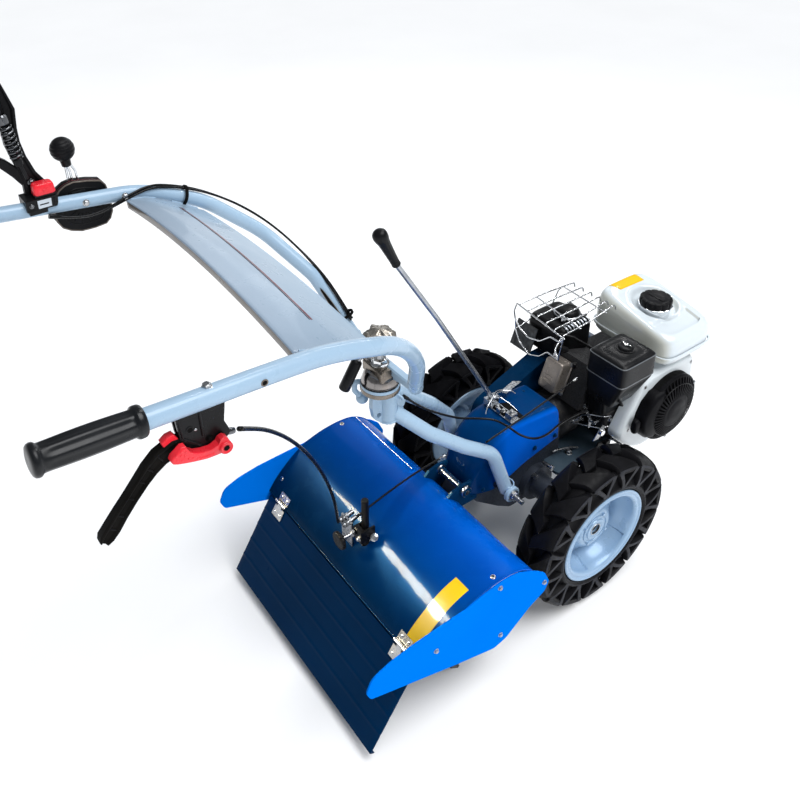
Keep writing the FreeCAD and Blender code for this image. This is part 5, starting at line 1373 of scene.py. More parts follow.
# top skin: from the shoulder to the filler, with the moat round the neck and a shallow flat field beside it
top = []
outer = []
for j in range(n):
    a = 2 * math.pi * (j + 0.5) / n
    ca, sa = math.cos(a), math.sin(a)
    ex = 0.34 + 17.5 * 0.004
    outer.append((CX + (HX - 17.5) * math.copysign(abs(ca) ** ex, ca), CY + (HY - 17.5) * math.copysign(abs(sa) ** ex, sa), math.atan2(0, 1), a))
def relief(x, y):
    r = math.hypot(x - 48.0, y - 349.0)
    d = 0.0
    # bowl round the filler, its far side wider than the near side
    m = max(0.0, min(1.0, (57.0 - r) / 11.0))
    bowl = m * m * (3 - 2 * m)
    d -= 9.5 * bowl
    # raised lip round the bowl
    d += 1.6 * math.exp(-((r - 60.0) / 4.0) ** 2)
    # flat field on the lower side, sunk with soft edges
    fx = max(0.0, min(1.0, (x - 92.0) / 7.0)) * max(0.0, min(1.0, (147.0 - x) / 6.0))
    fy = max(0.0, min(1.0, (y - 277.0) / 7.0)) * max(0.0, min(1.0, (404.0 - y) / 7.0))
    e = fx * fx * (3 - 2 * fx) * fy * fy * (3 - 2 * fy)
    d -= 6.2 * e * (1 - bowl)
    return d


K = 44
for i in range(K + 1):
    t = i / K
    ring = []
    for (x0, y0, _, a) in outer:
        ang = math.atan2(y0 - CAPY, x0 - CAPX)
        xi, yi = CAPX + 31.0 * math.cos(ang), CAPY + 31.0 * math.sin(ang)
        x, y = x0 + (xi - x0) * t, y0 + (yi - y0) * t
        base = 497 + (ztop(x) - 497) * (0.99 + 0.01 * min(1.0, t * 4))
        crown = 3.4 * math.sin(math.pi * min(1.0, t * 1.0)) * 0.5
        ring.append(P(x, y, base + crown * (1 - t) + relief(x, y)))
    top.append(ring)
tk.loft(top, "tank", cap=False)
# seam flange with its rolled edge
fl = []
for (zz, ins) in ((496.2, 0.0), (495.6, -2.4), (496.4, -3.9), (499.0, -4.3), (501.6, -3.9), (502.2, -2.4), (501.6, 0.0)):
    fl.append(sq_ring(51, 347.5, 112.6 - ins, 86 - ins, zz, 0.32, n))
tk.loft(fl, "tank", cap=False)
# neck ring
tk.lathe([(552, 31.0), (552, 35.0), (573.0, 35.6), (574.4, 38.2), (576.2, 38.2), (577.2, 36.6), (577.2, 31.0)], P(CAPX, CAPY, 0), (0, 0, 1), "chrome", 84, lambda i, th, x, r: (0.0, 0.9 * math.cos(12 * th) if r > 36 else 0.0))
tk.done("tank_shell", "chassis", "paint_white", ["fuel_tank"], angle=50, weld=True)

cp = B()
def scallop(i, th, x, r):
    if r > 29:
        return 0.0, -2.3 * max(0.0, math.cos(12 * th)) ** 2
    return 0.0, 0.0


cp.lathe([(576.4, 0.01), (576.4, 34.5), (578, 36.6), (580.0, 37.2), (589.0, 37.0), (592.0, 35.6), (593.8, 32.0), (594.0, 26.0), (592.6, 23.4), (592.2, 12.0), (592.8, 4.0), (592.8, 0.01)], P(CAPX, CAPY, 0), (0, 0, 1), "plastic", 144, scallop)
cp.loft([[P(CAPX + 22.5 * sx * k, CAPY + 4.2 * sy * k, z) for sx, sy in ((-1, -0.4), (-0.85, -1), (0.85, -1), (1, -0.4), (1, 0.4), (0.85, 1), (-0.85, 1), (-1, 0.4))] for z, k in ((591.8, 1.0), (593.2, 0.98), (593.9, 0.9))], "plastic")
cp.done("tank_cap_moulded", "chassis", "black_plastic", ["tank_cap"], bevel=0.0004, angle=34)

# plain sticker on the tank's high end
lab = B()
quad = [(-53.0, 303.0), (-48.0, 392.0), (-19.0, 391.0), (-22.0, 311.0)]
vs, fs = [], []
NN = 14
def tank_surf(x, y):
    # height of the tank's skin near its high end
    t = 0.0
    base = ztop(x)
    edge = min(x + 62.0, 162.0 - x, y - 262.0, 433.0 - y)
    drop = 0.0
    if edge < 20:
        drop = (20 - edge) ** 2 / 34.0
    return base - drop


for i in range(NN + 1):
    for j in range(NN + 1):
        u, v = i / NN, j / NN
        x = (quad[0][0] * (1 - u) + quad[1][0] * u) * (1 - v) + (quad[3][0] * (1 - u) + quad[2][0] * u) * v
        y = (quad[0][1] * (1 - u) + quad[1][1] * u) * (1 - v) + (quad[3][1] * (1 - u) + quad[2][1] * u) * v
        vs.append(P(x, y, tank_surf(x, y) + 1.0))
for i in range(NN):
    for j in range(NN):
        a = i * (NN + 1) + j
        fs.append([a, a + 1, a + NN + 2, a + NN + 1])
LAB_OBJ = (vs, fs)
me = bpy.data.meshes.new("blank_sticker_tank")
me.from_pydata([tuple(v) for v in vs], [], fs)
me.materials.append(M["yellow"])
for p in me.polygons:
    p.use_smooth = True
ob = bpy.data.objects.new("blank_sticker_tank", me)
bpy.context.scene.collection.objects.link(ob)
# lie on the tank's skin, then take a thickness
tank_ob = bpy.data.objects["tank_shell"]
sw_ = ob.modifiers.new("lay", "SHRINKWRAP")
sw_.target = tank_ob
sw_.wrap_method = "PROJECT"
sw_.use_project_z = True
sw_.use_negative_direction = True
sw_.use_positive_direction = True
sw_.offset = 0.0005
so = ob.modifiers.new("thick", "SOLIDIFY")
so.thickness = 0.0004
bpy.context.view_layer.update()
dg = bpy.context.evaluated_depsgraph_get()
m2 = bpy.data.meshes.new_from_object(ob.evaluated_get(dg))
ob.modifiers.clear()
ob.data = m2
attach(ob, "chassis")

# ---- air cleaner: two-part moulded housing, its seams real joints drawn as light bands whose lightness is a painted highlight on the lid's edges, knob with a wing nut
ac = B()


def ac_ring(x0, x1, y0, y1, z, ex=0.20, m=96):
    return sq_ring((x0 + x1) / 2.0, (y0 + y1) / 2.0, (x1 - x0) / 2.0, (y1 - y0) / 2.0, z, ex, m)


AXB = (60.2, 164.8, 111.2, 224.8)
def lid(z, i, ex=0.20):
    return ac_ring(AXB[0] + i, AXB[1] - i, AXB[2] + i, AXB[3] - i, z, ex)


ac.loft([ac_ring(68, 136, 120, 194, 420.4), ac_ring(66, 140, 118, 198, 423), ac_ring(63.5, 150, 114.5, 206, 448), ac_ring(62.4, 158, 113.4, 216, 470), ac_ring(61.6, 163, 112.6, 222.6, 484), ac_ring(61.4, 163.6, 112.4, 223.6, 490.5)], "plastic_fine")
ac.loft([lid(490.6, 1.0), lid(491.0, -0.2), lid(493.0, -0.3), lid(493.6, 0.4)], "seam")
ac.loft([lid(493.8, 0.5), lid(520, 0.9), lid(541.0, 1.3)], "plastic_fine")
ac.loft([lid(541.2, 1.4), lid(541.6, 0.9), lid(542.8, 1.3), lid(543.4, 2.2)], "seam")
ac.loft([lid(543.4, 2.3, 0.20), lid(546.0, 4.4, 0.22), lid(548.0, 8.0, 0.26), lid(548.9, 13.0, 0.32), lid(549.0, 22.0, 0.42), lid(548.2, 24.0, 0.44), lid(548.0, 34.0, 0.55), lid(548.0, 44.0, 0.7)], "plastic_fine")
# intake elbow box below
rings = []
for (z, ins) in ((372.5, 4), (374, 1.2), (378, 0.0), (421, 0.0)):
    rings.append(sq_ring(90, 162, 24 - ins, 34 - ins, z, 0.36, 48))
ac.loft(rings, "plastic_fine")
ac.lathe([(547, 0.01), (547, 20.5), (548.6, 21.6), (549.8, 21.0), (550.0, 17.0), (553.6, 16.6), (555.4, 15.0), (556.2, 11.5), (556.4, 0.01)], P(112, 176, 0), (0, 0, 1), "plastic_fine", 96, lambda i, th, x, r: (0.0, -0.7 * max(0.0, math.cos(20 * th)) if 15 < r < 20 and x > 549.9 else 0.0))
# wing nut
wn = P(112, 176, 556.2)
ac.ngon(wn, (0, 0, 1), 5.4, 3.2, 6, "chrome")
for s in (-1, 1):
    ac.loft([[wn + Vector((0.0045 * s * 0.2, 0, 0.0005)) + Vector((s * x / 1000.0, y / 1000.0, z / 1000.0)) for x, y, z in
              ((2.0, -1.3 * k, 0.2), (11.2, -1.3 * k, 1.0), (13.0, -1.0 * k, 3.6), (10.0, -1.0 * k, 4.8), (4.0, -1.2 * k, 3.0), (2.0, -1.3 * k, 2.6))] for k in (1, -1)], "chrome")
# clip and pipe stub on its lower side
ac.tube([P(p.x, p.y, p.z) for p in steel_bend([(140, 130, 452), (156.0, 128, 446), (157.0, 136, 434), (146, 140, 428)], [0, 5, 5, 0])], 0.0030, "plastic_fine", 12)
ac.done("air_filter", "chassis", "black_plastic", ["air_cleaner"], bevel=0.0004, angle=44)

# ---- fan housing: pressed and painted, with its blower ring
fs_ = B()
cyy, czz = 303.5, 355.0
key = [(214, 455), (204, 427), (193, 403), (176, 372), (161, 342), (155.5, 326), (161, 309), (184, 284), (214, 260), (250, 247), (303, 252), (350, 262), (384, 294), (402, 338), (403, 385), (400, 432), (392, 454), (366, 463), (303, 464), (240, 463)]
op = []
for i in range(len(key)):
    p0, p1, p2, p3 = key[i - 1], key[i], key[(i + 1) % len(key)], key[(i + 2) % len(key)]
    for q in range(6):
        t = q / 6.0
        op.append(tuple(0.5 * ((2 * p1[k]) + (-p0[k] + p2[k]) * t + (2 * p0[k] - 5 * p1[k] + 4 * p2[k] - p3[k]) * t * t + (-p0[k] + 3 * p1[k] - 3 * p2[k] + p3[k]) * t ** 3) for k in (0, 1)))
rings = []
for (x, k) in ((116.6, 0.985), (117.2, 1.0), (136, 1.0), (141, 0.992), (145.2, 0.972), (148.2, 0.94), (149.4, 0.90), (149.6, 0.80)):
    rings.append([P(x, cyy + (y - cyy) * k, czz + (z - czz) * k) for y, z in op])
fs_.loft(rings, "white")
for (y, z) in ((222, 440), (385, 440), (186, 330), (377, 284)):
    fs_.hexbolt(P(149.2 if False else 146.4, y, z), (1, 0, 0), 8, 3.4, "zinc", 1.2)
fs_.done("fan_housing", "chassis", "paint_white", ["fan_shroud"], bevel=0.0004, angle=44)

# ---- recoil starter: dark grille dome with radial vanes and a plain centre
rs = B()
O = P(149.6, cyy, czz)
# painted shade: the near-black inner dome under the vanes stands in for the shaded inside seen between them
rs.lathe([(0, 0.01), (0, 89.0), (3.0, 89.4), (5.0, 88.6), (19.0, 88.6), (21.0, 87.0), (22.0, 84.4), (22.4, 81.5), (20.0, 80.6), (24.0, 74.0), (27.5, 66.0), (30.5, 56.0), (32.4, 46.0), (33.4, 43.5), (36.0, 42.0), (37.0, 40.0), (37.4, 36.0), (37.6, 30.0), (38.4, 29.0), (38.8, 10.0), (38.8, 0.01)],
         O, (1, 0, 0), "dark", 120)
rs.lathe([(0.1, 0.01), (0.1, 89.1), (19.0, 88.7), (22.6, 82.6), (24.0, 74.0), (27.5, 66.0), (30.5, 56.0), (32.4, 46.0), (32.4, 0.01)], O, (1, 0, 0), "dark", 120)
rs.lathe([(0.2, 0.01), (0.2, 89.2), (3.0, 89.6), (5.0, 88.8), (19.0, 88.8), (21.2, 87.2), (22.6, 84.8), (22.8, 82.6), (20.0, 82.0), (20.0, 0.01)], O, (1, 0, 0), "starter_black", 120)
rs.lathe([(30.0, 0.01), (30.0, 44.5), (34.8, 44.6), (36.4, 43.0), (37.4, 40.4), (37.8, 36.0), (38.0, 30.4), (38.8, 29.2), (39.2, 10.0), (39.2, 0.01)], O, (1, 0, 0), "starter_black", 100)
for k in range(44):
    a = 2 * math.pi * k / 44
    pts = []
    for (x, r) in ((22.0, 84.0), (25.4, 79.5), (29.2, 72.0), (32.4, 63.0), (34.6, 53.0), (36.0, 43.5)):
        sweep = a + (84 - r) * 0.0028
        pts.append(O + Vector((x / 1000.0, r * math.cos(sweep) / 1000.0, r * math.sin(sweep) / 1000.0)))
    ringsv = []
    for q, p in enumerate(pts):
        tn = (pts[min(q + 1, 5)] - pts[max(q - 1, 0)]).normalized()
        w = tn.cross(Vector((1, 0, 0))).normalized()
        nn = w.cross(tn).normalized()
        if nn.x < 0:
            nn = -nn
        wd = 0.0019
        ringsv.append([p + w * wd + nn * 0.0010, p - w * wd + nn * 0.0010, p - w * wd - nn * 0.005, p + w * wd - nn * 0.005])
    rs.loft(ringsv, "starter_black")
for rr0 in (70.0,):
    rs.tube([O + Vector((0.0305, rr0 * math.cos(a) / 1000.0, rr0 * math.sin(a) / 1000.0)) for a in [2 * math.pi * k / 96 for k in range(96)]], 0.0011, "plastic_fine", 8, closed=True)
# handle housing at the lower front, with the pull grip standing on it
hp = [(262, 428), (236, 424), (214, 404), (202, 378), (198, 354), (204, 330), (220, 306), (244, 296), (262, 300), (246, 322), (238, 350), (244, 384)]
rings = []
cy1, cz1 = 230.0, 358.0
for (x, k) in ((150.0, 1.0), (168, 1.0), (174, 0.97), (178.5, 0.90), (180.5, 0.80)):
    rings.append([P(x, cy1 + (y - cy1) * k, cz1 + (z - cz1) * k) for y, z in hp])
rs.loft(rings, "starter_black")
rings = []
for (y, hx, hz, xo) in ((179, 5.0, 13, 165), (181, 7.4, 17, 165), (186, 8.8, 19.6, 165), (192, 8.6, 19.0, 165), (197, 6.0, 12, 165), (202, 4.6, 8, 165)):
    ring = []
    for j in range(24):
        a = 2 * math.pi * j / 24
        ring.append(P(xo + hx * math.copysign(abs(math.cos(a)) ** 0.7, math.cos(a)), y, 352 + hz * math.copysign(abs(math.sin(a)) ** 0.7, math.sin(a))))
    rings.append(ring)
rs.loft(rings, "starter_black")
for k in range(3):
    a = math.radians(30 + 120 * k)
    rs.hexbolt(O + Vector((0.0215, 0.0850 * math.cos(a), 0.0850 * math.sin(a))), (1, 0, 0), 7, 3.0, "zinc", 0.8)
rs.done("starter_grille", "chassis", "black_plastic", ["recoil_starter"], bevel=0.0, angle=34)

# ---- muffler: black shell, louvred side, round dome under the guard
mf = B()
rings = []
for (z, ins) in ((424.5, 12), (425.4, 7), (428, 3.4), (433, 1.0), (440, 0.2), (494, 0.2), (503, 1.4), (509, 4.2), (513, 9.0), (514.8, 15.0), (515.0, 22.0), (514.0, 26.0), (514.0, 40.0)):
    rings.append(sq_ring(-101, 201.5, 59 - ins, 54.5 - ins, z, 0.30, 84))
mf.loft(rings, "black")
# round cap on top, with two bright clips
mf.lathe([(513, 0.01), (513, 30), (516, 31.0), (524, 30.4), (530, 27.6), (534.4, 22.0), (536.6, 14.0), (537.4, 0.01)], P(-92, 214, 0), (0, 0, 1), "black", 56)
mf.lathe([(519, 30.4), (519, 32.0), (522, 32.2), (523, 30.4)], P(-92, 214, 0), (0, 0, 1), "steel", 56)
for a in (math.radians(-60), math.radians(120)):
    c = P(-92 + 32 * math.cos(a), 214 + 32 * math.sin(a), 521)
    d = Vector((math.cos(a), math.sin(a), 0))
    mf.box(c + d * 0.003, (9, 12, 7), "zinc", Matrix.Rotation(a, 3, "Z"))
    mf.hexbolt(c + d * 0.0078, d, 7, 3.0, "chrome", 0.8)
# louvre plate with eight raised bright lips on the side nearest the air cleaner
for k in range(8):
    y = 165 + 10.6 * k
    mf.loft([[P(-52.0 + dx, y + dy + sl, 513.6 + dz) for dx, dz in ((-9, 2.0), (-2, 3.4), (6, 0.8), (10.4, -6.5), (9.0, -7.5), (4.4, -0.6), (-2, 1.6), (-9, 0.6))] for dy, sl in ((0.0, 0.0), (4.2, 0.0))], "louvre")
mf.tube(W([(-62, 160, 515.6), (-62, 250, 515.6)]), 0.0022, "black", 8)
# header pipe and its flange
mf.tube([P(p.x, p.y, p.z) for p in steel_bend([(-64, 172, 430), (-64, 172, 398), (-40, 179, 385)], [0, 12, 0], 12)], 0.0120, "rust", 28)
mf.hexbolt(P(-52, 146.6, 436), (0, -1, 0), 9, 4, "zinc", 1.2)
mf.hexbolt(P(-150, 146.6, 436), (0, -1, 0), 9, 4, "zinc", 1.2)
# light heat deflector in front
dp_ = [(116, 424), (119, 423), (142, 488), (139, 489)]
rings = []
for x in (-178, -176, -114, -112):
    rings.append([P(x, y, z) for y, z in dp_])
mf.loft(rings, "deflect")
mf.prism([(128, 458), (150, 458), (150, 462), (128, 462)], "x", -158, -132, "zinc")
for x in (-168, -122):
    mf.tube(W([(x, 117.0, 426), (x, 139.0, 486)]), 0.0012, "deflect", 8)
mf.done("muffler_shell", "chassis", "paint_black", ["muffler"], bevel=0.0005, angle=40)

# ---- valve cover: ribbed pressed lid with its four bolts and gasket line
vc = B()
ca20, sa20 = math.cos(math.radians(-20)), math.sin(math.radians(-20))


def vrot(x, y, z):
    dy, dz = y - 299.0, z - 353.0
    return P(x, 299.0 + dy * ca20 - dz * sa20, 353.0 + dy * sa20 + dz * ca20)


def vring(hx, hz, y, ex=0.22, cx=-24.0, cz=352.0, n=56):
    out = []
    for j in range(n):
        a = 2 * math.pi * (j + 0.5) / n
        c, s_ = math.cos(a), math.sin(a)
        out.append(vrot(cx + hx * math.copysign(abs(c) ** ex, c), y, cz + hz * math.copysign(abs(s_) ** ex, s_)))
    return out


vc.loft([vring(*q) for q in ((29, 42, 120), (29, 42, 116.4), (28.4, 41.4, 115.8), (27.0, 40.0, 115.4), (26.4, 39.4, 114.6), (26.2, 39.2, 94), (25.8, 38.8, 88), (25.0, 38.0, 85.2), (23.4, 36.4, 83.6), (21, 34, 83.2), (12, 20, 83.2))], "valve")
vc.loft([vring(*q) for q in ((29.3, 42.3, 121.2), (29.6, 42.6, 120.6), (29.6, 42.6, 119.8), (29.2, 42.2, 119.4))], "dark")
for sx in (-1, 1):
    for sz in (-1, 1):
        c = vrot(-24 + sx * 26.0, 116.0, 352 + sz * 39.0)
        d = (vrot(0, 0, 0) - vrot(0, 1, 0)).normalized()
        vc.hexbolt(c, d, 8, 3.6, "zinc", 1.2)
for k in (-1, 0, 1):
    vc.tube([vrot(-24 + 14 * t, 83.4, 342 + 9 * k) for t in (-1, -0.5, 0, 0.5, 1)], 0.0010, "valve", 8)
vc.lathe([(0, 0.01), (0, 4.5), (10, 4.2), (12, 5.4), (16, 5.4), (17, 4.2), (17, 0.01)], vrot(22, 96, 396), (0.2, -0.2, 0.96), "plastic", 20)
vc.done("valve_lid", "chassis", "valve_cover_metal", ["valve_cover"], bevel=0.0003, angle=40)

# ---- finned barrel and head, standing proud on the cast block's shoulder
fnb = B()
for k in range(7):
    y = 130 + 13 * k
    fnb.loft([vring(47.6, 54, y + 1.2, 0.22, 8.5, 354.0), vring(48.8, 55.2, y + 1.6, 0.22, 8.5, 354.0), vring(48.8, 55.2, y + 2.8, 0.22, 8.5, 354.0), vring(47.6, 54, y + 3.2, 0.22, 8.5, 354.0)], "cast")
# spark plug boot and lead
fnb.lathe([(0, 0.01), (0, 8), (4, 8.6), (16, 7.6), (20, 6.0), (34, 5.4), (36, 4.2), (36, 0.01)], vrot(-34, 128, 409), (-0.35, -0.75, 0.56), "plastic", 28)
fnb.tube([vrot(-46, 104, 428), vrot(-52, 96, 436), vrot(-50, 104, 446), vrot(-30, 130, 447), vrot(0, 158, 436), vrot(24, 190, 424)], 0.0034, "cable", 12)
fnb.done("cylinder_fins", "chassis", "engine_cast", angle=40)

# ---- carburettor side: bowl, choke and fuel levers, governor rod, springs, drain
cb = B()
cb.lathe([(0, 0.01), (0, 6.0), (2.0, 11.0), (5.0, 15.6), (20.0, 16.9), (23, 17.4), (25.6, 17.4), (25.6, 0.01)], P(96, 172, 300.4), (0, 0, 1), "steel", 44)
cb.ngon(P(96, 172, 300.6), (0, 0, -1), 5.6, 0.6, 6, "zinc")
cb.hexbolt(P(113.3, 160, 352), (1, 0, 0), 8, 4, "zinc", 1.2)
cb.hexbolt(P(113.3, 182, 358), (1, 0, 0), 7, 3.4, "brass", 1.0)
cb.lathe([(0, 0.01), (0, 4.4), (18, 4.4), (18, 5.8), (21, 5.8), (21, 0.01)], P(96, 146, 346), (0, -1, 0), "zinc", 24)
cb.prism([(118, 330), (124, 330), (128, 352), (122, 360), (116, 354)], "x", 88, 90, "zinc")
cb.spring(P(92, 122, 352), P(58, 134, 372), 3.6, 1.1, 11, "chrome")
cb.spring(P(64, 128, 336), P(40, 116, 318), 3.4, 1.0, 9, "chrome")
cb.tube([P(p.x, p.y, p.z) for p in steel_bend([(120, 150, 340), (112, 132, 338), (80, 118, 332), (40, 108, 320), (10, 100, 308)], [0, 8, 10, 10, 0])], 0.0014, "chrome", 10)
cb.tube([P(p.x, p.y, p.z) for p in steel_bend([(118, 158, 366), (114, 136, 372), (88, 122, 368), (66, 120, 352), (52, 112, 330)], [0, 8, 8, 8, 0])], 0.0012, "chrome", 10)
cb.prism([(104, 318), (122, 316), (134, 326), (140, 346), (132, 352), (118, 338)], "x", 117.6, 119.6, "zinc")
cb.lathe([(0, 0.01), (0, 7), (1, 8), (5, 8), (6, 7), (6, 0.01)], P(119.4, 128, 334), (1, 0, 0), "chrome", 24)
cb.prism([(120, 292), (148, 288), (152, 296), (124, 301)], "x", 116.8, 120.8, "plastic")
cb.lathe([(0, 0.01), (0, 8), (8, 9), (9, 8), (9, 0.01)], P(119, 150, 292), (1, 0, 0), "plastic", 24)
cb.tube([P(p.x, p.y, p.z) for p in steel_bend([(110, 180, 322), (124, 186, 316), (132, 200, 318), (130, 214, 330)], [0, 8, 8, 0])], 0.0032, "cable", 12)
# oil fillers and drain at the block's foot
for (x, y) in ((40, 206), (-40, 206)):
    cb.lathe([(0, 0.01), (0, 11), (2, 12), (9, 12), (10, 10.6), (10, 7), (14, 7), (14.6, 6), (14.6, 0.01)], P(x, y - 4, 262), (0, -0.93, 0.36), "plastic", 36, lambda i, th, xx, r: (0.0, -0.6 * max(0.0, math.cos(14 * th)) if r > 10.9 else 0.0))
cb.hexbolt(P(0, 198.6, 262), (0, -0.99, 0.1), 12, 6, "brass", 1.6)
for (x, y, z) in ((-60, 212, 256), (98, 212, 256), (-60, 203, 330)):
    cb.hexbolt(P(x, y - 1.0, z), (0, -0.95, 0.3), 10, 5, "zinc", 1.4)
cb.done("carb_fittings", "chassis", "zinc_steel", bevel=0.0003)

# ---- engine bed fittings: bolts, washers and the front stand-off
eb = B()
for (x, y) in ((-58, 96), (62, 96), (-58, 196), (66, 196), (-58, 330), (62, 330), (0, 66), (34, 66), (-34, 66)):
    eb.hexbolt(P(x, y, 244.0), (0, 0, 1), 13, 7, "zinc", 2.2)
eb.tube([P(p.x, p.y, p.z) for p in steel_bend([(50, 52, 262), (52, 66, 262), (60, 104, 256), (66, 122, 250)], [0, 8, 12, 0])], 0.0030, "zinc", 12)
eb.lathe([(0, 0.01), (0, 5), (22, 5), (22, 7), (28, 7), (28, 0.01)], P(62.2, 8, 262), (1, 0.1, 0), "zinc", 20)
eb.lathe([(0, 0.01), (0, 6), (12, 6), (12, 0.01)], P(62.2, -22, 240), (1, 0, 0), "zinc", 20)
eb.done("bed_fittings", "chassis", "zinc_steel", bevel=0.0004)


# ---- wire guard over the muffler: six bars on cross wires, a wavy curtain in front
mg = B()
XS = (-122, -94, -66, -38, -11, 15)
XR = (-116, -89, -62, -36, -12, 10)
def zt(x):
    return 582.0 - (x + 122.0) * 15.0 / 137.0


for x, xr in zip(XS, XR):
    pts = [(x, 78.5, zt(x) - 7), (x, 80, zt(x)), (x + (xr - x) * 0.5, 165, zt(x) + 1.5), (xr, 246, 579), (xr, 256, 577), (xr + 0.5, 258.5, 566)]
    mg.tube([P(p.x, p.y, p.z) for p in steel_bend(pts, [0, 5, 60, 14, 4, 0])], 0.00185, "chrome", 10)
mg.tube(W([(-131, 78, 583.4 - 4), (22, 78, 565.0 - 3)]), 0.0020, "chrome", 10)
mg.tube(W([(-125, 134, 580), (17, 134, 565)]), 0.0017, "chrome", 10)
mg.tube(W([(-122, 222, 577), (16, 222, 572)]), 0.0017, "chrome", 10)
for pts in ([(-131, 78, 579), (-141, 82, 552), (-139, 86, 528), (-118, 84, 512), (-84, 79, 506), (-50, 79, 516), (-20, 79, 545), (9, 79, 545), (17, 79, 560)],
            [(-139, 86, 530), (-136, 88, 500), (-116, 84, 474), (-78, 79, 461), (-46, 79, 475), (-24, 79, 500), (9, 79, 497)]):
    mg.tube([P(p.x, p.y, p.z) for p in steel_bend(pts, [0] + [12] * (len(pts) - 2) + [0])], 0.0018, "chrome", 10)
mg.tube(W([(18, 78.5, 563), (9, 79, 496)]), 0.0020, "chrome", 10)
mg.tube([P(p.x, p.y, p.z) for p in steel_bend([(9, 79, 497), (-20, 100, 499), (-44, 146, 502)], [0, 20, 0])], 0.0018, "chrome", 10)
mg.tube([P(p.x, p.y, p.z) for p in steel_bend([(-136, 88, 500), (-140, 118, 500), (-146, 148, 502)], [0, 20, 0])], 0.0018, "chrome", 10)
mg.tube([P(p.x, p.y, p.z) for p in steel_bend([(-122, 222, 577), (-134, 222, 560), (-146, 222, 520), (-150, 222, 505)], [0, 12, 12, 0])], 0.0018, "chrome", 10)
mg.done("muffler_guard_wires", "chassis", "chrome_wire", ["muffler_guard"], angle=60)


# ===========================================================================
# swivel head, mast, gear lever, gate, drive fittings
# ===========================================================================
SW = P(0, -417, 0)
sw = B()
# reflective bearing dome with a flat lens and a knurled lower disc
sw.lathe([(663.9, 0.01), (663.9, 36.4), (664.6, 37.0), (667.0, 37.0), (668.0, 36.0), (670.0, 35.6), (676.0, 34.6), (682.0, 32.6), (687.0, 29.6), (690.6, 26.0), (692.4, 21.0), (693.2, 17.0), (693.4, 0.01)], SW, (0, 0, 1), "dome", 84)
sw.lathe([(693.2, 0.01), (693.2, 18.0), (694.2, 18.2), (695.2, 17.4), (695.6, 15.0), (695.6, 0.01)], SW, (0, 0, 1), "steel", 60)
sw.lathe([(664.2, 36.8), (664.2, 37.4), (666.6, 37.4), (666.6, 36.8)], SW, (0, 0, 1), "dark", 120, lambda i, th, x, r: (0.0, 0.35 * math.cos(40 * th) if r > 37 else 0.0))
# cross bar between the two tubes, with rounded edges, and the rear tongue
def bar(b, x0, x1, y0, y1, z0, z1, e, mat):
    sec = [(y0 + e, z0), (y1 - e, z0), (y1, z0 + e), (y1, z1 - e), (y1 - e, z1), (y0 + e, z1), (y0, z1 - e), (y0, z0 + e)]
    b.loft([[P(x, y, z) for y, z in sec] for x in (x0, x1)], mat)


bar(sw, -99, 99, -412, -394, 688, 706, 3.0, "blue_grey")
bar(sw, -30, 30, -436, -411, 681, 706, 3.0, "brownmetal")
sw.lathe([(690, 0.01), (690, 8.0), (738, 8.0), (741.6, 7.0), (741.6, 0.01)], SW, (0, 0, 1), "zinc", 32)
sw.lathe([(705.4, 0.01), (705.4, 17.6), (706.2, 18.0), (707.8, 18.0), (708.4, 17.0), (708.4, 0.01)], SW, (0, 0, 1), "zinc", 40)
sw.ngon(SW + Vector((0, 0, 0.7082)), (0, 0, 1), 14.6, 9.0, 6, "chrome")
sw.ngon(SW + Vector((0, 0, 0.7172)), (0, 0, 1), 14.2, 1.4, 6, "chrome", 0.0, 11.0)
# gusset plates welded under the cross bar
for s in (-1, 1):
    sw.prism([(s * 30, 688.5), (s * 62, 688.5), (s * 30, 681.5)] if s > 0 else [(-30, 688.5), (-30, 681.5), (-62, 688.5)], "y", -409, -397, "blue_grey")
sw.done("swivel_parts", "handlebar", "paint_silver", ["swivel_head"], bevel=0.0006, angle=36)

# clamp knob: bright crumpled cap
kn = B()
prof = [(742.4, 0.01), (742.4, 15), (744.0, 20.5), (749.0, 27.5), (754.0, 30.0), (759.0, 31.2), (764.5, 31.4), (769.5, 30.4), (774.0, 27.6), (778.0, 23.0), (781.0, 17.0), (783.4, 10.0), (784.2, 4.0), (784.4, 0.01)]


def crumple(i, th, x, r):
    if r < 3:
        return 0.0, 0.0
    v = Vector((math.cos(th) * r * 0.05, math.sin(th) * r * 0.05, x * 0.05))
    a = noise.noise(v * 2.1)
    b2 = abs(noise.noise(v * 4.3 + Vector((3.1, 1.7, 0.4))))
    return a * 2.6 * min(1.0, r / 14.0) - b2 * 1.2, 1.6 * math.cos(6 * th + 0.7) * min(1.0, r / 20.0) + a * 2.6 - b2 * 2.8


kn.lathe(prof, SW, (0, 0, 1), "foil", 120, crumple)
kn.done("knob_cap", "handlebar", "paint_silver", ["clamp_knob"], angle=24)

lh = B()
lh.tube([P(p.x, p.y, p.z) for p in steel_bend([(-18, -424, 703), (-21, -436, 721), (-22, -450, 717), (-23.6, -470, 684)], [0, 8, 8, 0])], 0.0045, "steel", 16)
a, b = P(-22.3, -452.5, 714.8), P(-24.7, -486.0, 656.2)
L = (b - a).length * 1000
lh.lathe([(0, 0.01), (0, 6.5), (1.0, 9.0), (3.0, 10.6), (6.0, 11.0), (L * 0.5, 11.2), (L - 5, 11.2), (L - 2.4, 10.2), (L - 0.8, 7.8), (L, 4.0), (L, 0.01)], a, (b - a), "plastic_fine", 40,
         lambda i, th, x, r: (0.0, -0.35 * max(0, math.cos(10 * th)) if 10.5 < r and 5 < x < L - 4 else 0.0))
lh.done("lock_handle", "handlebar", "black_plastic", ["locking_handle"], angle=50)

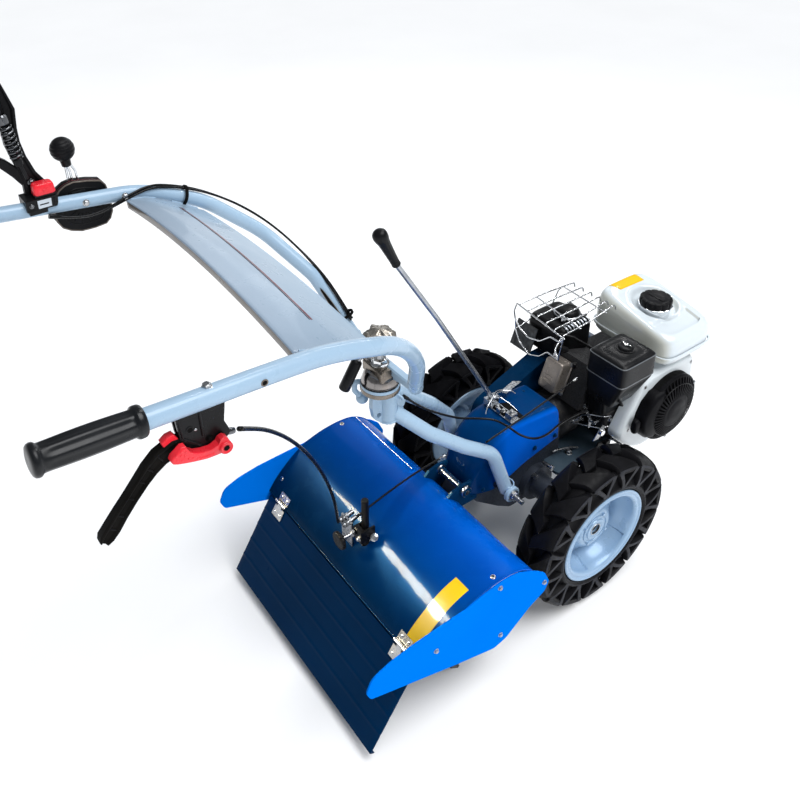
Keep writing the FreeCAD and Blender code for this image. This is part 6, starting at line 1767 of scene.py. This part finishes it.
# light-rimmed slot at the foot of each tube, where it is notched over the cross bar: the slot is a near-black strip
# laid on the tube, painted shade
ts = B()
for s in (-1, 1):
    a, b = P(s * 147.0, -448.5, 818), P(s * 103.0, -411.6, 727)
    d = (b - a).normalized()
    out = Vector((0.62 if s > 0 else 0.62, -0.66, 0.30))
    nn = (out - d * out.dot(d)).normalized()
    w = d.cross(nn).normalized()
    n = 22
    for (hw, lift, mat, thick) in ((4.4, 0.0133, "brownmetal", 0.0006), (3.1, 0.01345, "dark", 0.0006)):
        vs, fs = [], []
        for i in range(n + 1):
            t = i / n
            e = math.sin(math.pi * min(max(t, 0.0), 1.0)) ** 0.35 if 0 < t < 1 else 0.05
            c = a + (b - a) * t
            for q in range(7):
                an = (q - 3) / 3.0 * hw * e / 13.25
                vs.append(c + (nn * math.cos(an) + w * math.sin(an)) * (lift + 0.00025))
            for q in range(7):
                an = (3 - q) / 3.0 * hw * e / 13.25
                vs.append(c + (nn * math.cos(an) + w * math.sin(an)) * (lift - 0.001))
        for i in range(n):
            o = i * 14
            for q in range(14):
                q2 = (q + 1) % 14
                fs.append([o + q, o + q2, o + 14 + q2, o + 14 + q])
        fs.append(list(range(14))[::-1])
        fs.append([n * 14 + q for q in range(14)])
        ts.add(vs, fs, mat)
ts.done("tube_slots", "handlebar", "paint_black", angle=50)

# ---- mast: weld beads and the ear plate's beaded edge
mw = B()
def bead(pts, r, closed=False, mat="blue_grey", seed=0.0):
    rr = [(r + 0.28 * r * math.sin(i * 2.3 + seed)) / 1000.0 for i in range(len(pts))]
    mw.tube(pts, rr, mat, 8, closed=closed)


for (zc, rad) in ((644.6, 19.6), (563.5, 19.4)):
    bead([P(rad * math.cos(a), -399 + rad * math.sin(a), zc) for a in [2 * math.pi * k / 44 for k in range(44)]], 2.0, True)
for s in (-1, 1):
    bead([P(s * 6.6, -436 + 50 * t, 640 - 6 * t + 1.2 * math.sin(9 * t)) for t in [k / 16 for k in range(17)]], 1.7)
    bead([P(s * 6.8, -404 + 38 * t, 563 + 14 * t) for t in [k / 14 for k in range(15)]], 1.7)
# spot welds on the ear's near face and beads round the tubes' upper ends
for (y, z) in ((-381, 618), (-384, 596), (-402, 634), (-372, 606)):
    mw.dome(P(6.0, y, z), (1, 0, 0), 3.2, 1.6, "blue_grey", 14)
bead([P(14 + 5 * math.sin(7 * t), -389 + 14 * math.cos(t * 2.2), 606 + 16 * math.sin(t * 2.2)) for t in [k / 20 for k in range(21)]], 2.2)
for s in (-1, 1):
    bead([P(s * 87 + 16.2 * math.cos(a), -136 + 16.2 * math.sin(a), 300) for a in [2 * math.pi * k / 36 for k in range(36)]], 1.6, True)
# bush in the ear's hole, bead round the rim
mw.lathe([(-6.6, 5.6), (-6.6, 7.6), (-6.1, 8.0), (6.1, 8.0), (6.6, 7.6), (6.6, 5.6)], P(0, -425, 586), (1, 0, 0), "blue_grey", 32)
# knurled clamp ring under the bearing dome
mw.lathe([(647, 38.1), (647, 38.6), (651, 38.9), (655, 38.9), (656.5, 38.3), (656.5, 38.0)], SW, (0, 0, 1), "brownmetal", 150, lambda i, th, x, r: (0.0, 0.28 * math.cos(50 * th) if r > 38.5 else 0.0))
mw.done("mast_welds", "chassis", "paint_blue_grey", angle=60)

# ---- mast feet: painted round boss, washer, nut and threaded stud
ms = B()
for s in (-1, 1):
    o = P(s * 66, -136, 281)
    d = Vector((s, 0, 0))
    ms.lathe([(34, 0.01), (34, 17.8), (35.2, 19.2), (43.0, 19.2), (44.2, 18.0), (44.2, 0.01)], o, d, "blue_grey", 44)
    ms.lathe([(44.0, 0.01), (44.0, 14.0), (46.4, 14.0), (46.4, 0.01)], o, d, "zinc", 36)
    ms.ngon(o + d * 0.0463, d, 10.6, 7.0, 6, "zinc")
    prof = [(2, 0.01), (2, 5.8)]
    k = 50.0
    while k < 73:
        prof += [(k, 5.9), (k + 0.7, 5.1), (k + 1.4, 5.9)]
        k += 1.4
    prof += [(73.6, 5.0), (74, 4.0), (74, 0.01)]
    ms.lathe(prof, o, d, "zinc", 28)
ms.done("mast_stud_set", "chassis", "zinc_steel", ["mast_studs"], bevel=0.0003)

# ---- gear lever rod, its grip and the gate on top of the cover
gl = B()
gl.tube([P(p.x, p.y, p.z) for p in steel_bend([(-34, -80, 438), (-34, -250, 722), (-34, -352, 882), (-34, -386, 949)], [0, 150, 150, 0], 2.0)], 0.0055, "steel", 24)
gl.lathe([(0, 0.01), (0, 9.5), (1.4, 10.2), (7.0, 10.2), (8.0, 9.0), (9.5, 6.2), (9.5, 0.01)], P(-34, -77, 432), (0, -0.51, 0.86), "zinc", 32)
# gate: channel plate with its lug blocks, slot and screws
gl.prism([(-44, -92), (44, -92), (46, -88), (46, -70), (44, -66), (-44, -66), (-46, -70), (-46, -88)], "z", 417.6, 420.6, "steel")
gl.prism([(-42, -96), (-26, -96), (-26, -64), (-42, -64)], "z", 420.4, 439, "steel")
gl.prism([(22, -90), (40, -90), (40, -70), (22, -70)], "z", 420.4, 436, "zinc")
# painted shade: the slot is a near-black block between the lugs
gl.prism([(-20, -88), (16, -88), (16, -72), (-20, -72)], "z", 420.2, 424.5, "dark")
gl.prism([(-4, -93), (8, -93), (8, -88), (-4, -88)], "z", 420.0, 434, "zinc")
gl.hexbolt(P(31, -80, 436), (0, 0, 1), 10, 5, "zinc", 1.4)
gl.hexbolt(P(-12, -80, 424), (0, 0, 1), 8, 4, "zinc", 1.0)
gl.hexbolt(P(6, -80, 424), (0, 0, 1), 8, 4, "zinc", 1.0)
# bright strap and the crossing shift wires beside the lever
gl.prism([(-44, -40), (-31, -34), (-42, 22), (-55, 6)], "z", 428.5, 430.5, "zinc")
gl.prism([(-44, -40), (-31, -34), (-30, -36.5), (-43, -42.5)], "z", 417.5, 429.5, "zinc")
for pts in ([(-12, -116, 421), (-16, -108, 436), (-30, -76, 446), (-40, -60, 440), (-46, -36, 431)],
            [(-24, -88, 424), (-28, -84, 440), (-14, -72, 446), (2, -62, 436), (22, -54, 424)],
            [(-38, -64, 436), (-30, -48, 444), (-22, -30, 440), (-16, -22, 432)]):
    gl.tube([P(p.x, p.y, p.z) for p in steel_bend(pts, [0] + [7] * (len(pts) - 2) + [0])], 0.0013, "chrome", 10)
gl.done("shift_lever", "chassis", "zinc_steel", ["gear_lever"], bevel=0.0004, angle=34)
gg = B()
g0 = P(-34, -352, 882)
gd_ = (P(-34, -388, 953) - g0).normalized()
prof = [(0, 5.6), (0, 8.2), (1.2, 9.0), (3, 9.0), (4.2, 8.4), (20, 9.0), (40, 10.0), (56, 11.0), (66, 12.0), (71, 13.2), (76, 14.2), (82, 14.5), (87, 13.6), (91, 10.8), (93.4, 7.0), (94.4, 2.5), (94.5, 0.01), (60, 0.01)]
gg.lathe(prof, g0, gd_, "plastic_fine", 48, lambda i, th, x, r: (0.0, -0.55 * max(0, math.cos(12 * th)) if 6 < x < 68 and r > 8 else 0.0), closed=True)
gg.done("shift_grip", "chassis", "black_plastic", ["gear_lever_grip"], angle=40)

# ---- cover details: transverse slot, screws
cv = B()
# painted shade: the slot is a near-black plate laid on the cover
cv.prism([(-24, -64), (-15, -47), (41, -51), (44, -62), (20, -64)], "z", 417.4, 418.7, "dark")
for (x, y, z, d) in ((64.6, -30, 330, (1, 0, 0.1)), (-64.6, -30, 330, (-1, 0, 0.1)), (65.4, -186, 292, (1, 0, 0)), (-65.4, -186, 292, (-1, 0, 0)), (64.6, 34, 334, (1, 0, 0.1))):
    cv.hexbolt(P(x, y, z), d, 8, 3, "blue_dk", 1.0)
for (x, y) in ((-30, 20), (30, 20)):
    cv.dome(P(x, y, 409.6), (0, 0.08, 1), 3.4, 1.6, "blue_dk")
cv.done("cover_fittings", "chassis", "zinc_steel", bevel=0.0003)

# ---- hood bracket: bright coupling pin, cheeks
hb2 = B()
hb2.lathe([(0, 0.01), (0, 7.2), (1, 8.0), (94, 8.0), (96, 7.4), (96, 0.01)], P(-38, -229, 305), (1, 0, 0), "steel", 32)
hb2.lathe([(0, 8.0), (0, 12.2), (1.4, 12.6), (5.0, 12.6), (6.4, 11.8), (6.4, 8.0)], P(-31, -229, 305), (1, 0, 0), "zinc", 32)
hb2.lathe([(0, 8.0), (0, 13.0), (1.4, 13.6), (8.0, 13.6), (9.2, 12.8), (9.2, 0.01), (0, 0.01)], P(52.2, -229, 305), (1, 0, 0), "zinc", 32)
hb2.ngon(P(61.2, -229, 305), (1, 0, 0), 7.4, 2.0, 6, "zinc")
hb2.done("coupling_pin", "chassis", "zinc_steel", bevel=0.0004)

# ===========================================================================
# control cables, each whole along its real run
# ===========================================================================
def cable_mesh(name, runs, body, replaces=(), ends=()):
    dg = bpy.context.evaluated_depsgraph_get()
    bmc = bmesh.new()
    for pts, od in runs:
        cu = bpy.data.curves.new("c_" + name, "CURVE")
        cu.dimensions = "3D"
        cu.bevel_depth = od / 2000.0
        cu.bevel_resolution = 5
        cu.use_fill_caps = True
        sp = cu.splines.new("NURBS")
        sp.points.add(len(pts) - 1)
        for p, q in zip(sp.points, pts):
            v = P(*q)
            p.co = (v.x, v.y, v.z, 1.0)
        sp.order_u = 3
        sp.use_endpoint_u = True
        sp.resolution_u = 10
        tmp = bpy.data.objects.new("t_" + name, cu)
        bpy.context.scene.collection.objects.link(tmp)
        bpy.context.view_layer.update()
        dg = bpy.context.evaluated_depsgraph_get()
        m2 = bpy.data.meshes.new_from_object(tmp.evaluated_get(dg))
        bmc.from_mesh(m2)
        bpy.data.objects.remove(tmp)
        bpy.data.meshes.remove(m2)
        bpy.data.curves.remove(cu)
    bmesh.ops.remove_doubles(bmc, verts=bmc.verts, dist=1e-6)
    me = bpy.data.meshes.new(name)
    bmc.to_mesh(me)
    bmc.free()
    me.materials.clear()
    me.materials.append(M["cable"])
    for p in me.polygons:
        p.use_smooth = True
    ob = bpy.data.objects.new(name, me)
    bpy.context.scene.collection.objects.link(ob)
    if replaces:
        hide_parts(*replaces)
    if body:
        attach(ob, body)
    return ob


A_PTS = [(303, -852, 983), (258.1, -808.2, 929.7), (217.1, -764.8, 872.7), (179.7, -723.2, 812), (145.5, -683.8, 748), (113.9, -647, 681.2), (84.4, -613.1, 612), (56.4, -582.4, 540.7), (29.4, -555.1, 467.6), (2.8, -531.6, 393.1), (-24, -512, 317.5)]
B_PTS = [(-8, -474, 324), (-8, -440, 334), (-6, -396, 348), (-2, -346, 364), (4, -296, 378), (8, -252, 384)]
C_PTS = [(14, -367, 608), (14, -330, 566), (12, -291, 531), (9, -250, 498), (5, -208, 466), (6, -162, 444), (26, -128, 438), (58, -118, 436), (92, -113, 430), (113, -88, 421), (111, -46, 412), (98, -2, 406), (90, 48, 400), (90, 98, 393)]
D_PTS = [(78, -200, 447), (74, -140, 450), (71, -82, 454), (66, -24, 457), (61, 34, 461), (57, 92, 467)]
E1 = [(-298.2, -877.3, 1038.4), (-292.4, -835.3, 1024.2), (-290.8, -790.5, 1025.9), (-285.9, -748, 1039.2), (-287.6, -703.5, 1047.4), (-288.6, -660.4, 1035.3), (-284.7, -618.7, 1018.4), (-277.9, -579.7, 996.9), (-265.1, -544.1, 972.4), (-248.3, -512.7, 944.8), (-226.4, -486.4, 915.5),
      (-198.4, -466.5, 886.5), (-165.5, -452.5, 859), (-138, -439, 826.1), (-119, -425.1, 787.7), (-98, -414.1, 749.5)]
E2 = [(-293.7, -876.9, 1041.2), (-287.6, -835.2, 1026.7), (-286.5, -791.3, 1029.1), (-285.3, -749.8, 1044.2), (-291.7, -703.5, 1050.9), (-293.8, -659.4, 1036.4), (-290.1, -618.3, 1018.7), (-283.1, -579, 995.4), (-270.1, -543.4, 970.6), (-253.2, -511.4, 942.9), (-230.9, -484.3, 913.4),
      (-202.2, -463.9, 883.7), (-168.7, -448.7, 856.9), (-141.4, -434.8, 826), (-121.9, -420.5, 787.3), (-100.2, -409.3, 750.6)]
ca_ = cable_mesh("cable_long", [(A_PTS, 6.5)], None, ["cable_right"])
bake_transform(ca_)
cable_mesh("cables_engine", [(B_PTS, 4.5), (C_PTS, 5.0), (D_PTS, 4.0)], "chassis", ["control_cables"])
cable_mesh("cables_pair", [(E1, 4.2), (E2, 4.2)], "handlebar", ["cables_left"])
# end sleeves
es = B()
def sleeve(b, p, d, r, L, mat="plastic_fine"):
    b.lathe([(0, 0.01), (0, r * 0.92), (0.8, r), (L * 0.7, r), (L * 0.75, r * 0.82), (L, r * 0.70), (L, 0.01)], P(*p), d, mat, 24)


sleeve(es, (-8, -478, 323.2), (0, 1, 0.28), 3.6, 20)
sleeve(es, (14, -371, 612.5), (0, 1, -1.1), 3.9, 22)
sleeve(es, (90, 101, 392.6), (0, -1, 0.13), 3.9, 20)
sleeve(es, (8, -249, 384.4), (-0.1, -1, -0.13), 3.6, 16, "zinc")
sleeve(es, (57, 95, 467.3), (0.05, -1, -0.09), 3.2, 14, "zinc")
es.done("cable_sleeves", "chassis", "black_plastic", angle=50)
eh = B()
sleeve(eh, (-299.4, -884, 1041.0), (0.1, 1, -0.32), 3.8, 20)
sleeve(eh, (-294.8, -884, 1043.6), (0.1, 1, -0.32), 3.8, 20)
eh.done("cable_sleeves_bar", "handlebar", "black_plastic", angle=50)


# ---- dark bell between the gearbox and the engine, and its flange
bh = B()
bh.lathe([(0, 0.01), (0, 52), (3, 56), (60, 60), (66, 63), (72, 63), (74, 60), (122, 60), (122, 0.01)], P(-22, 28, 300), (0, 1, 0), "cast", 72)
for k in range(8):
    a = 2 * math.pi * (k + 0.5) / 8
    bh.hexbolt(P(-22 + 56 * math.cos(a), 101.5, 300 + 56 * math.sin(a)), (0, -1, 0), 7, 3.6, "dark", 0.8)
bh.done("clutch_bell", "chassis", "engine_cast", bevel=0.0006)


# pressed cover over the transmission: soft shoulders and a round tail
def cover_w(z):
    return 66 - 3 * (z - 250) / 80.0 if z < 330 else (63 - 9.0 * ((z - 330) / 84.0) ** 1.5)


cs = B()
tops = [(46.0, 398.0), (45.2, 403.0), (43.0, 406.4), (38.0, 408.2), (20.0, 410.0), (-10.0, 412.2), (-40.0, 414.6), (-66.0, 416.0), (-90.0, 416.4), (-108.0, 415.0),
        (-124.0, 411.4), (-138.0, 406.4), (-151.0, 399.6), (-163.0, 391.0), (-174.0, 380.6), (-184.0, 368.2), (-193.0, 353.6), (-200.5, 337.0), (-206.5, 319.0), (-210.5, 302.0), (-212.5, 288.0)]
rings = []
for (y, zt) in tops:
    zb = 322 - 22 * (46 - y) / 106.0 if y > -60 else (300 - 32 * (-60 - y) / 90.0 if y > -150 else 268.0)
    tail = 0.0 if y > -96 else min(1.0, (-96 - y) / 118.0)
    kw = 1.0 - 0.40 * tail ** 2.6
    R = 13.0 + 20.0 * min(1.0, tail * 1.3)
    R = min(R, max(4.0, (zt - zb) * 0.8))
    z1 = zt - R
    side = []
    for q in range(7):
        z = zb + (z1 - zb) * q / 6.0
        side.append((cover_w(z) * kw, z))
    w1 = cover_w(z1) * kw
    for q in range(1, 9):
        a = math.pi / 2 * q / 8.0
        side.append((w1 - R * (1 - math.cos(a)) - 1.2 * math.sin(a), z1 + R * math.sin(a)))
    ring = [P(x, y, z) for (x, z) in side] + [P(-x, y, z) for (x, z) in side[::-1]]
    rings.append(ring)
cs.loft(rings, "blue_cover")
cs.done("cover_shell", "chassis", "paint_blue", replaces=("gearbox_cover",), angle=50)


# ===========================================================================
# camera, floor, light
# ===========================================================================
scene = bpy.context.scene
cam_d = bpy.data.cameras.new("camera")
cam = bpy.data.objects.new("camera", cam_d)
scene.collection.objects.link(cam)
right = Vector((0.5603, 0.8276, -0.0330)).normalized()
down = Vector((0.4195, -0.3179, -0.8503))
down = (down - right * down.dot(right)).normalized()
fwd = right.cross(down)
rot = Matrix((right, -down, -fwd)).transposed()
cam.matrix_world = Matrix.Translation((1.03969, -0.84496, 1.67251)) @ rot.to_4x4()
cam_d.sensor_width = 36.0
cam_d.sensor_fit = "HORIZONTAL"
cam_d.lens = 38.075
cam_d.shift_x = 0.0753
cam_d.shift_y = -0.1423
cam_d.clip_start = 0.02
cam_d.clip_end = 100.0
scene.camera = cam

bmf = bmesh.new()
bmesh.ops.create_grid(bmf, x_segments=80, y_segments=80, size=40.0)
for v in bmf.verts:
    d = math.hypot(v.co.x, v.co.y)
    v.co.z = -0.0005 + 0.10 * max(0.0, (d - 24.0) / 4.0) ** 2
mef = bpy.data.meshes.new("floor")
bmf.to_mesh(mef)
bmf.free()
for p in mef.polygons:
    p.use_smooth = True
floor = bpy.data.objects.new("floor", mef)
scene.collection.objects.link(floor)
mfl, ntf, bsf, cof = nodes_of("floor_pale")
nf = noise_tex(ntf, cof, 1.2, 4.0)
ntf.links.new(ramp(ntf, nf, [(0.3, (0.92, 0.92, 0.925)), (0.7, (0.95, 0.95, 0.955))]), bsf.inputs["Base Color"])
bsf.inputs["Roughness"].default_value = 0.85
bsf.inputs["Specular IOR Level"].default_value = 0.15
mef.materials.append(mfl)

world = bpy.data.worlds.new("studio")
scene.world = world
world.use_nodes = True
bg = world.node_tree.nodes["Background"]
bg.inputs[0].default_value = (0.90, 0.95, 1.0, 1.0)
bg.inputs[1].default_value = 0.24


def area(name, loc, aim, sx, sy, power, col=(1, 1, 1)):
    ld = bpy.data.lights.new(name, "AREA")
    ld.shape = "RECTANGLE"
    ld.size, ld.size_y = sx, sy
    ld.energy = power
    ld.color = col
    ob = bpy.data.objects.new(name, ld)
    scene.collection.objects.link(ob)
    ob.location = loc
    ob.rotation_euler = (Vector(aim) - Vector(loc)).to_track_quat("-Z", "Y").to_euler()
    return ob


sd_ = bpy.data.lights.new("sky_sun", "SUN")
sd_.energy = 2.8
sd_.angle = math.radians(42.0)
sd_.color = (0.98, 0.99, 1.0)
so_ = bpy.data.objects.new("sky_sun", sd_)
scene.collection.objects.link(so_)
so_.rotation_euler = (Vector((0, 0, 0)) - Vector((0.50, 0.30, 1.30))).to_track_quat("-Z", "Y").to_euler()
kr_ = area("key_right", (3.2, -0.3, 1.5), (0, 0, 0.35), 1.2, 1.4, 34)
kr_.visible_glossy = False
area("back_left", (-2.6, 1.8, 2.2), (0, 0, 0.5), 1.4, 2.0, 14, (0.9, 0.95, 1.0))
area("strip_a", (-0.55, 1.25, 2.5), (0, -0.25, 0.3), 0.08, 2.2, 16)
sb_ = area("strip_b", (-1.20, -1.62, 1.85), (0.10, -0.135, 0.288), 0.90, 0.30, 300, (1.0, 0.86, 0.58))
# this lamp is flagged onto the hood and what is mounted on it, so that it draws one streak there
lit = bpy.data.collections.new("streak_on_hood")
for o in list(scene.objects):
    if o.type in {"MESH", "CURVE"} and any(w in o.name for w in ("hood", "label", "hinge", "depth", "spur", "coupling")):
        lit.objects.link(o)
sb_.light_linking.receiver_collection = lit
sb_.visible_diffuse = False
scene.view_settings.view_transform = "Standard"
scene.view_settings.look = "None"
scene.view_settings.exposure = 0.0
scene.view_settings.gamma = 1.0
